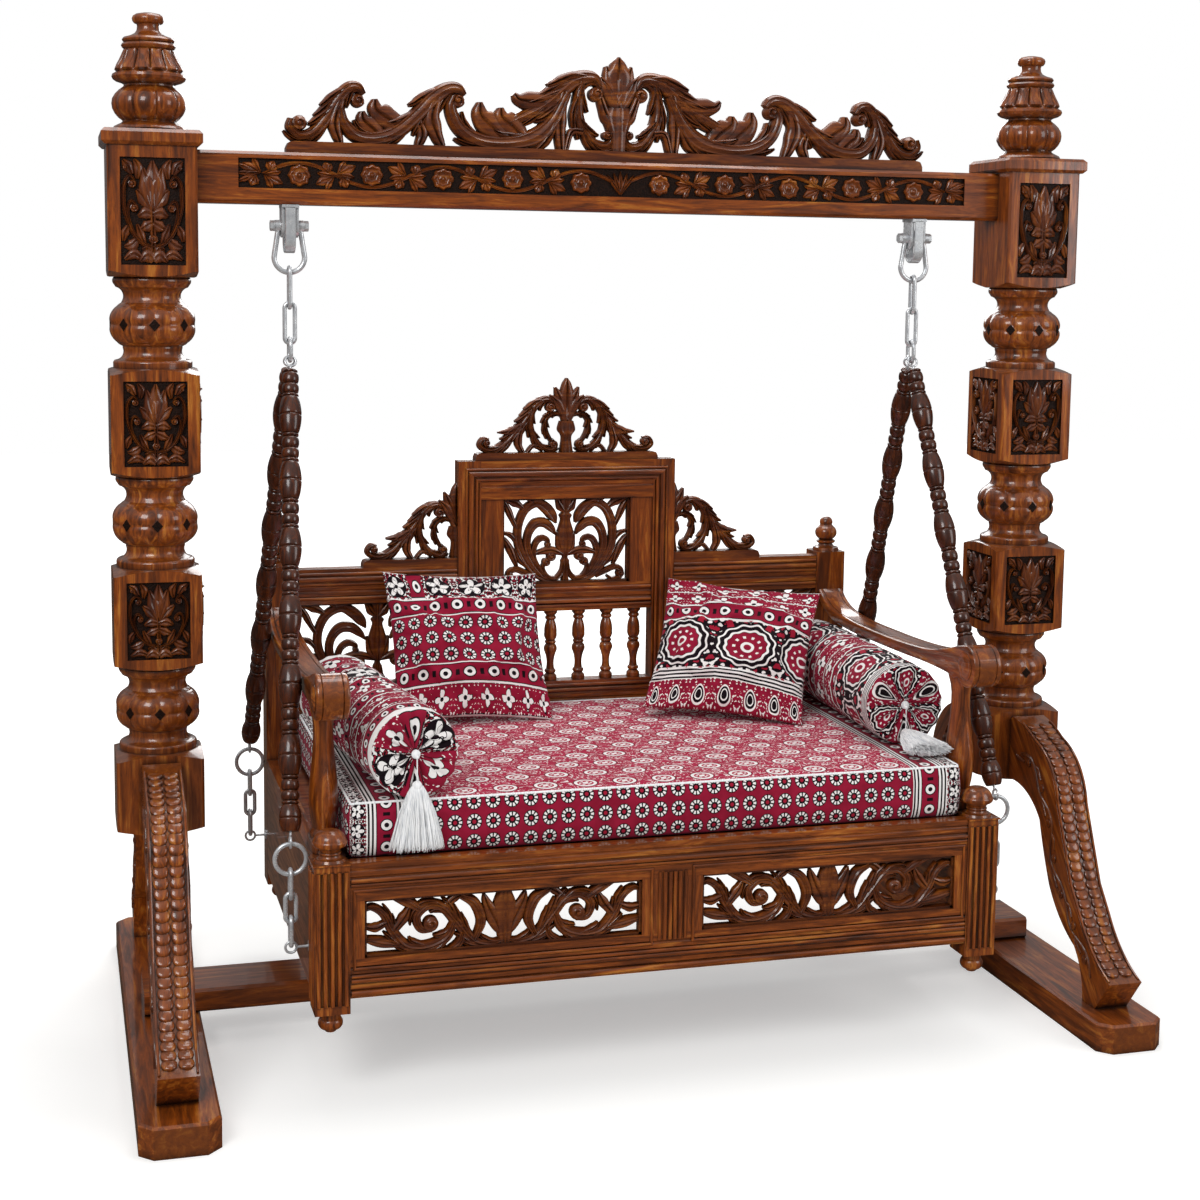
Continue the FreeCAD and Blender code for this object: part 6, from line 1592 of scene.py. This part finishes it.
def pillowSheets(bands, facing, corner):
    steps = pillows["steps"]
    share = np.sin(np.linspace(-math.pi / 2, math.pi / 2, steps + 1)) * 0.35 + np.linspace(-1, 1,
            steps + 1) * 0.65
    a, b = np.meshgrid(share, np.linspace(-1, 1, steps + 1), indexing="ij")
    half, draw = pillows["side"] / 2, pillows["drawIn"]
    x = a * (half - draw * (1 - b ** 2))
    y = b * (half - draw * (1 - a ** 2))
    full = np.clip((1 - a ** 2) * (1 - b ** 2), 0, 1) ** 0.52
    nearEdge = np.exp(-(1 - np.maximum(np.abs(a), np.abs(b))) / 0.16)
    puckers = np.sin(b * 31 + 2 * np.sin(a * 5)) * (np.abs(a) > np.abs(b)) + np.sin(a * 29 + 2
            * np.sin(b * 4)) * (np.abs(b) >= np.abs(a))
    folds = np.sin((a + b) * 7 + facing) * 1.6 + np.sin((a - b * 1.4) * 6 + 1.2) * 1.3
    z = facing * (full * pillows["thickness"] / 2 + (nearEdge * puckers * 1.7 + folds * full)
            * np.clip((1 - np.maximum(np.abs(a), np.abs(b))) * 14, 0, 1))
    zones = []
    for low, high, kind, across, up in bands:
        if kind == "floral" and corner:
            zones += [(0, 14, low, high, "floral", 1, 1), (14, 21, low, high, "rings", 0.9, 1),
                    (21, steps, low, high, "floral", across, up)]
        else:
            zones.append((0, steps, low, high, kind, across, up))
    return np.stack([x, y, z], -1), zones


def makePillow(name, bands, corner):
    row = pillows[name]
    turn = (Matrix.Rotation(math.radians(row["yaw"]), 3, "Z") @ Matrix.Rotation(math.radians(-row["lean"]),
            3, "X")
            @ Matrix.Rotation(math.radians(row["roll"]), 3, "Y") @ Matrix.Rotation(math.radians(90), 3,
            "X"))
    turn = np.array(turn)
    sheets = [pillowSheets(bands, facing, corner) for facing in (1, -1)]
    turned = [points @ turn.T for points, _ in sheets]
    lift = pillows["restsAt"] - min(points[..., 2].min() for points in turned)
    shift = np.array([*row["place"], lift])
    clothPiece(name + "_cover", [((points + shift) * mm, zones) for points, (_, zones) in zip(turned,
            sheets)],
            "bench", [name], cap=9, loose=0.04)


# Bolsters: a round tube with gathered ends, the cloth pleated in to a button. smooth is how
# uneven the cloth is where it isn't gathered, foldRise how far the folds stand out.
bolsters = {
    "left_bolster": {"front": (-520, -440), "rear": (-588, 150), "fromRear": False},
    "right_bolster": {"front": (604, -245), "rear": (626.1, 348.6), "fromRear": True},
    "length": 594, "radius": 88, "axisHeight": 688.4, "pleats": 16, "around": 192, "edge": 13,
    "foldRise": 1.5, "smooth": 0.35,
}
leftBolsterBands = ((0, 2, "piping", 1, 1), (2, 6, "rings", 16, 1), (6, 17, "sprigs", 8, 2),
        (17, 21, "rings", 16, 1), (21, 29, "sprigs", 11, 1),
        (29, 33, "rings", 16, 1), (33, 45, "floral", 6, 1), (45, 49, "rings", 16, 1),
        (49, 58, "sprigs", 8, 1), (58, 60, "piping", 1, 1))
rightBolsterBands = ((0, 3, "stripes", 1, 1), (3, 20, "medallions", 4, 1), (20, 24, "rings", 16, 1),
        (24, 35, "sprigs", 8, 2),
        (35, 39, "rings", 16, 1), (39, 56, "medallions", 4, 1), (56, 60, "stripes", 1, 1))
leftEndWedges = ((0, 20, "floral"), (20, 30, "rings"), (30, 44, "sprigs"), (44, 66, "floral"),
        (66, 76, "rings"), (76, 96, "sprigs"))
rightEndWedges = ((0, 16, "teardrops"), (16, 32, "medallions"), (32, 48, "teardrops"),
        (48, 64, "medallions"), (64, 80, "teardrops"), (80, 96, "medallions"))


def makeBolster(name, bands, wedges):
    row = bolsters[name]
    front, rear = [np.array([*row[k], bolsters["axisHeight"]], float) for k in ("front", "rear")]
    ahead = (rear - front) / np.linalg.norm(rear - front)
    start = rear - ahead * bolsters["length"] if row["fromRear"] else front
    side = np.array([ahead[1], -ahead[0], 0.0])
    around, radius, edge, length, smooth = (bolsters[k] for k in ("around", "radius", "edge", "length",
            "smooth"))
    angle = np.linspace(0, 2 * math.pi, around + 1)

    def ring(distance, reach, wrinkle, facing=0):
        # narrow valleys between broad folds, which stand out of an end along the axis
        fold = 1.6 * np.abs(np.sin(bolsters["pleats"] / 2 * angle + 0.8 * np.sin(3 * angle))) - 1
        spot = distance + facing * bolsters["foldRise"] * (wrinkle - smooth) * fold
        r = reach + wrinkle * fold
        return start + ahead * spot[:, None] + np.outer(r * np.cos(angle), side) + np.outer(r
                * np.sin(angle), (0, 0, 1))

    along = np.linspace(edge * 0.6, length - edge * 0.6, 61)
    sag = radius - 1.2 * np.sin(along / length * math.pi * 9) ** 2
    tube = np.stack([ring(np.full(around + 1, d), s, smooth) for d, s in zip(along, sag)], 1)
    sheets = [(tube, [(0, around, j0, j1, kind, across, up) for j0, j1, kind, across, up in bands])]
    q = np.linspace(0, 1, 15)
    turn = np.minimum(q / 0.22, 1) * math.pi / 2
    reachLine = np.where(q < 0.22, radius - edge + edge * np.cos(turn), (radius - edge)
            * (1 - (q - 0.22) / 0.78) + 2)
    outLine = np.where(q < 0.22, edge * 0.6 * (1 - np.sin(turn)), 5.5 * np.clip((q - 0.22) / 0.78, 0,
            1) ** 1.6)
    wrinkles = smooth + 4.4 * np.sin(math.pi * np.clip(q, 0, 1)) ** 0.7
    reachLine[0] = radius - 1.2 * math.sin(edge * 0.6 / length * math.pi * 9) ** 2
    wrinkles[0] = smooth
    for far in (False, True):
        distances = length - outLine if far else outLine
        end = np.stack([ring(np.full(around + 1, d), r, w, 1 if far else -1) for d, r,
                w in zip(distances, reachLine, wrinkles)], 1)
        sheets.append((end, [(2 * i0, 2 * i1, 0, 14, kind, max(1, (i1 - i0) // 14), 1) for i0, i1,
                kind in wedges]))
    clothPiece(name + "_cover", [(points * mm, zones) for points, zones in sheets], "bench",
            [name],
            cap=4, loose=0.02)
    return start, ahead


mattressSeam = makeMattress()
makePillow("left_pillow", leftPillowBands, True)
makePillow("right_pillow", rightPillowBands, False)
bolsterLines = [makeBolster("left_bolster", leftBolsterBands, leftEndWedges),
        makeBolster("right_bolster", rightBolsterBands, rightEndWedges)]
print("cushions are sewn and printed")


# Tassels of white cotton yarn: a twisted cord, a bound ball head, a collar and a skirt of loose
# strands. top is the cord's upper end, reach how far the skirt lies forward, loft how much
# fuller it is on its free side.
tassels = {
    "left_tassel": {"top": (-519.1, -447.75, 688.4), "reach": 0.0, "seed": 11},
    "right_tassel": {"top": (603.71, -252.78, 688.4), "reach": 128.7, "seed": 12},
    "cordLength": 60.8, "cordRadius": 1.5, "headRadius": 10, "collarRadius": 9.5,
    "skirtLength": 129.2, "halfWidth": 55, "halfDepth": 13, "loft": 1.7, "strands": 760, "yarn": 1.1,
    "uneven": 15,
    "runs": (0.0, 0.12, 0.45, 1.0), "spreads": (0.2, 0.36, 0.68, 1.0),
    "collar": ((3, 0.55), (6, 0.93), (8, 1.0), (10, 0.9), (12, 1.0), (14, 1.0), (16, 0.9), (19, 0.75)),
    # (distance down, share of its radius)
}
yarnWhite = {"colour": "#ffffff", "shade": "#dcdfe3", "fibre": 1.3 * mm, "piping": 2.4,
        "roughness": 0.9, "sheen": 0.12, "specular": 0.15}


def spunYarn(name):
    # bleached cotton yarn: matt, streaked along the strands, which all run across X
    material, tree, shader = startMaterial(name)
    place = addNode(tree, "TexCoord").outputs["Object"]
    fine = 1 / yarnWhite["fibre"]
    strands = addNode(tree, "Mapping", {"Vector": place, "Scale": (fine, fine / 22, fine / 22)})
    twist = addNode(tree, "TexNoise", {"Vector": strands, "Scale": 1.0, "Detail": 2.0})
    tone = setStops(addNode(tree, "ValToRGB", [twist.outputs[0]]), ((0.36, yarnWhite["shade"]),
            (0.54, yarnWhite["colour"])))
    fuzz = addNode(tree, "Bump", {"Height": twist.outputs[0], "Strength": 0.5, "Distance": 0.8 * mm})
    setInputs(tree, shader, {"Base Color": tone, "Normal": fuzz, "Roughness": yarnWhite["roughness"],
            "Sheen Weight": yarnWhite["sheen"], "Specular IOR Level": yarnWhite["specular"]})
    return material


whiteYarn = spunYarn("bleached_cotton_yarn")


def turnedShell(profile, spot, ribs=0, ribDepth=0.0, around=48, twist=0.0):
    # profile: (height, radius) pairs turned about the vertical through the spot
    angle = wholeTurn(around)
    rings = []
    for height, radius in profile:
        r = radius * (1 - ribDepth
                * (0.5 + 0.5 * np.cos(ribs * (angle + twist * height)))) if ribs else np.full(around,
                radius)
        rings.append(np.stack([r * np.cos(angle), r * np.sin(angle), np.full(around, height)], -1) + spot)
    return ringShell(np.array(rings))


def strandShells(head, along, outward, row):
    # each strand runs from the collar to its own place in the flattened skirt
    rng = np.random.default_rng(row["seed"])
    count, stations = tassels["strands"], np.linspace(0, 1, 10)
    angle, share = rng.uniform(0, 2 * math.pi, count), np.sqrt(rng.uniform(0.02, 1, count))
    spread = np.interp(stations, tassels["runs"], tassels["spreads"])
    depth = (1 + spread) / 2 * np.interp(stations, (0, 0.12), (0.45, 1))
    wave = rng.uniform(-1, 1, (count, 2, 1)) * np.sin(stations * math.pi * 1.1 + rng.uniform(0, 6,
            (count, 2, 1)))
    length = tassels["skirtLength"] - rng.uniform(0, tassels["uneven"], count)
    wide = (share * np.cos(angle))[:, None] * spread * tassels["halfWidth"] + wave[:, 0] * 2.5 * spread
    deep = (share * np.sin(angle))[:, None] * depth * (tassels["halfDepth"] - tassels["yarn"]) + wave[:,
            1] * 0.8 * spread
    deep *= np.where(deep > 0, tassels["loft"], 1.0)
    centre = (np.array(head) + stations[None, :, None] * length[:, None, None] * along
            + wide[..., None] * np.array((1.0, 0, 0)) + deep[..., None] * outward)
    side = tassels["yarn"] / 2 * np.interp(stations, (0, 0.9, 1), (1, 1, 0.5))
    corners = [side[None, :, None] * (c * np.array((1.0, 0, 0)) + s * outward) for c,
            s in ((1, 1), (-1, 1), (-1, -1), (1, -1))]
    rings = centre[:, :, None, :] + np.stack([corner[0] for corner in corners], 1)[None]
    return [ringShell(strand) for strand in rings]


def makeTassel(name):
    row = tassels[name]
    top = np.array(row["top"])
    head = top - (0, 0, tassels["cordLength"])
    drop = math.sqrt(tassels["skirtLength"] ** 2 - row["reach"] ** 2)
    along = np.array((0, -row["reach"], -drop)) / tassels["skirtLength"]
    outward = np.array((0, along[2], -along[1]))
    radius, ball = tassels["cordRadius"], tassels["headRadius"]
    cord = [(z, radius) for z in np.linspace(-tassels["cordLength"] + ball * 0.9, 0, 40)]
    shells = [turnedShell(cord, top, ribs=3, ribDepth=0.3, around=12, twist=0.9)]
    t = np.linspace(-math.pi / 2, math.pi / 2, 13)
    shells.append(turnedShell([(ball * math.sin(a), max(ball * math.cos(a), 0.3)) for a in t], head,
            ribs=22, ribDepth=0.07))
    bead = 4.2
    shells.append(turnedShell([(bead * math.sin(a), max(bead * math.cos(a), 0.3)) for a in t],
            top - (0, 0, bead), ribs=10, ribDepth=0.08))
    # the collar is bound round the strands and follows the way the skirt lies
    angle = wholeTurn(40)
    collar = []
    for run, reach in tassels["collar"]:
        r = tassels["collarRadius"] * reach
        flat = 0.5 if row["reach"] and run > 10 else 1.0
        collar.append(head + along * run + np.outer(r * np.cos(angle), (1, 0, 0))
                + np.outer(r * flat * np.sin(angle), outward))
    shells.append(ringShell(np.array(collar)))
    core = []
    for run in np.linspace(0.06, 0.74, 9):
        spread = np.interp(run, tassels["runs"], tassels["spreads"]) * 0.62
        wide, deep = spread * tassels["halfWidth"], tassels["halfDepth"] * (1 + spread) / 2 * 0.42
        core.append(head + along * run * tassels["skirtLength"] + np.outer(wide * np.cos(angle),
                (1, 0, 0)) + np.outer(deep * np.sin(angle), outward))
    shells.append(ringShell(np.array(core)))
    shells += strandShells(head, along, outward, row)
    makePiece(name + "_yarn", scaled(shells), whiteYarn, name, [name])


# Covered buttons that draw in the ends of the bolsters.
button = {"radius": 9, "height": 6, "thread": 12}


def makeButtons(lines):
    shells = []
    for start, ahead in lines:
        for spot, outward in ((start, -ahead), (start + ahead * bolsters["length"], ahead)):
            side = np.array([outward[1], -outward[0], 0.0])
            angle = wholeTurn(32)
            rings = []
            for run in np.linspace(-0.5, 1, 10):
                reach = button["radius"] * math.sqrt(max(1 - max(run, 0) ** 2.2, 0.001)) * (0.75
                        if run < -0.4 else 1)
                wave = 1 - 0.03 * np.cos(button["thread"] * angle)
                rings.append(spot + outward * run * button["height"] + np.outer(reach * wave
                        * np.cos(angle), side)
                        + np.outer(reach * wave * np.sin(angle), (0, 0, 1)))
            shells.append(ringShell(np.array(rings) * mm))
    makePiece("bolster_buttons_covered", shells, whiteYarn, "bench", ["bolster_buttons"])


def makePiping(path):
    # cord sewn into the top seam of the mattress; the path is closed and level
    path = np.vstack([path, path[:1]]) / mm
    step = np.gradient(path, axis=0)
    side = np.column_stack([step[:, 1], -step[:, 0], np.zeros(len(path))])
    side[[0, -1]] = side[0] + side[-1]
    side /= np.linalg.norm(side, axis=1)[:, None]
    angle = wholeTurn(10)
    rings = path[:, None] + yarnWhite["piping"] * (np.cos(angle)[None, :, None] * side[:, None]
            + np.sin(angle)[None, :, None] * np.array((0, 0, 1.0)))
    makePiece("mattress_piping", [ringShell(rings * mm)], whiteYarn, "bench")


makeTassel("left_tassel")
makeTassel("right_tassel")
makeButtons(bolsterLines)
makePiping(mattressSeam)
print("tassels and buttons are tied on")


# Camera at the photograph's viewing angle, worked out from the vanishing lines of the stand.
cameraSetup = {
    "spot": (-1190.7, -4069.9, 1601.7), "yaw": 16.1648, "pitch": 6.5192, "roll": 0.7176,
    "lens": 58.0, "shiftX": -0.0066, "shiftY": -0.08,
}


def makeCamera():
    yaw, pitch, roll = [math.radians(cameraSetup[k]) for k in ("yaw", "pitch", "roll")]
    ahead = Vector((math.sin(yaw) * math.cos(pitch), math.cos(yaw) * math.cos(pitch), -math.sin(pitch)))
    right = Vector((math.cos(yaw), -math.sin(yaw), 0.0))
    above = right.cross(ahead)
    rolledRight = right * math.cos(roll) + above * math.sin(roll)
    rolledUp = above * math.cos(roll) - right * math.sin(roll)
    turn = Matrix((rolledRight, rolledUp, -ahead)).transposed()
    lens = bpy.data.cameras.new("photo_camera")
    lens.lens, lens.sensor_width = cameraSetup["lens"], 36.0
    lens.shift_x, lens.shift_y = cameraSetup["shiftX"], cameraSetup["shiftY"]
    lens.clip_end = 60.0
    camera = bpy.data.objects.new("photo_camera", lens)
    camera.matrix_world = Matrix.Translation(Vector(cameraSetup["spot"]) * mm) @ turn.to_4x4()
    bpy.context.scene.collection.objects.link(camera)
    bpy.context.scene.camera = camera


# Large soft boxes as in a product studio: (place, looks at, width, height, watts).
softBoxes = {
    "key_box": ((-2.9, -3.6, 3.9), (0, 0, 1.0), 2.2, 2.2, 118),
    "fill_box": ((3.6, -3.0, 2.4), (0, 0, 0.9), 2.0, 2.6, 52),
    "top_box": ((0.2, 0.6, 4.6), (0, 0, 0.8), 2.6, 2.2, 74),
    "back_box": ((1.2, 4.2, 2.9), (0, 0, 1.0), 2.6, 1.8, 60),
}
worldLight = 0.42  # strength of the plain surround on diffuse surfaces


def makeLights():
    for name, (spot, target, width, height, watts) in softBoxes.items():
        lamp = bpy.data.lights.new(name, "AREA")
        lamp.shape, lamp.size, lamp.size_y, lamp.energy = "RECTANGLE", width, height, watts
        holder = bpy.data.objects.new(name, lamp)
        toTarget = Vector(target) - Vector(spot)
        holder.matrix_world = Matrix.Translation(spot) @ toTarget.to_track_quat("-Z",
                "Y").to_matrix().to_4x4()
        bpy.context.scene.collection.objects.link(holder)


def makeWorld():
    world = bpy.data.worlds.new("white_studio")
    world.use_nodes = True
    tree = world.node_tree
    tree.nodes.clear()
    rays = addNode(tree, "LightPath")
    seen = addNode(tree, "Math", [rays.outputs["Is Camera Ray"], rays.outputs["Is Transmission Ray"]],
            operation="MAXIMUM")
    # what the lacquer mirrors is bright overhead and dark towards the horizon, as in a studio
    height = addNode(tree, "SeparateXYZ", [addNode(tree, "TexCoord").outputs["Generated"]]).outputs[2]
    overhead = addNode(tree, "MapRange", [height, 0.0, 0.9, 0.08, 0.55])
    mirrored = addNode(tree, "Math", [rays.outputs["Is Glossy Ray"], overhead], operation="MULTIPLY")
    shown = addNode(tree, "Math", [seen, mirrored], operation="MAXIMUM")
    soft = addNode(tree, "Math", [rays.outputs["Is Diffuse Ray"], worldLight], operation="MULTIPLY")
    strength = addNode(tree, "Math", [shown, soft], operation="MAXIMUM")
    light = addNode(tree, "Background", {"Color": (1, 1, 1, 1), "Strength": strength})
    addNode(tree, "OutputWorld", {"Surface": light})
    bpy.context.scene.world = world


# Matt white studio floor: white to the camera, and only the object's shadow shows on it.
def makeFloor():
    mesh = bpy.data.meshes.new("studio_floor")
    reach = 14.0
    mesh.from_pydata([(-reach, -reach, 0), (reach, -reach, 0), (reach, reach, 0), (-reach, reach, 0)], [],
            [(0, 1, 2, 3)])
    floor = bpy.data.objects.new("studio_floor", mesh)
    bpy.context.scene.collection.objects.link(floor)
    material, tree, shader = startMaterial("matt_white_floor")
    setInputs(tree, shader, {"Roughness": 0.9, "Specular IOR Level": 0.1})
    rays = addNode(tree, "LightPath")
    # the lacquer mirrors a darker floor, so that upright faces keep their colour
    paint = addNode(tree, "MixRGB", [rays.outputs["Is Glossy Ray"], linearColour("#e6e6e4"),
            linearColour("#4d443c")])
    setInputs(tree, shader, {"Base Color": paint})
    # the glow grows with the distance from the middle, so that the floor fades to white
    place = addNode(tree, "TexCoord").outputs["Object"]
    away = addNode(tree, "VectorMath", [place], operation="LENGTH").outputs["Value"]
    glow = addNode(tree, "MapRange", [away, 1.3, 4.5, 0.4, 1.0])
    seen = addNode(tree, "Math", [rays.outputs["Is Camera Ray"], glow], operation="MULTIPLY")
    setInputs(tree, shader, {"Emission Color": (1, 1, 1, 1), "Emission Strength": seen})
    mesh.materials.append(material)


makeCamera()
makeLights()
makeWorld()
makeFloor()
bpy.context.scene.view_settings.view_transform = "Standard"
print("camera, lights and floor are in place")
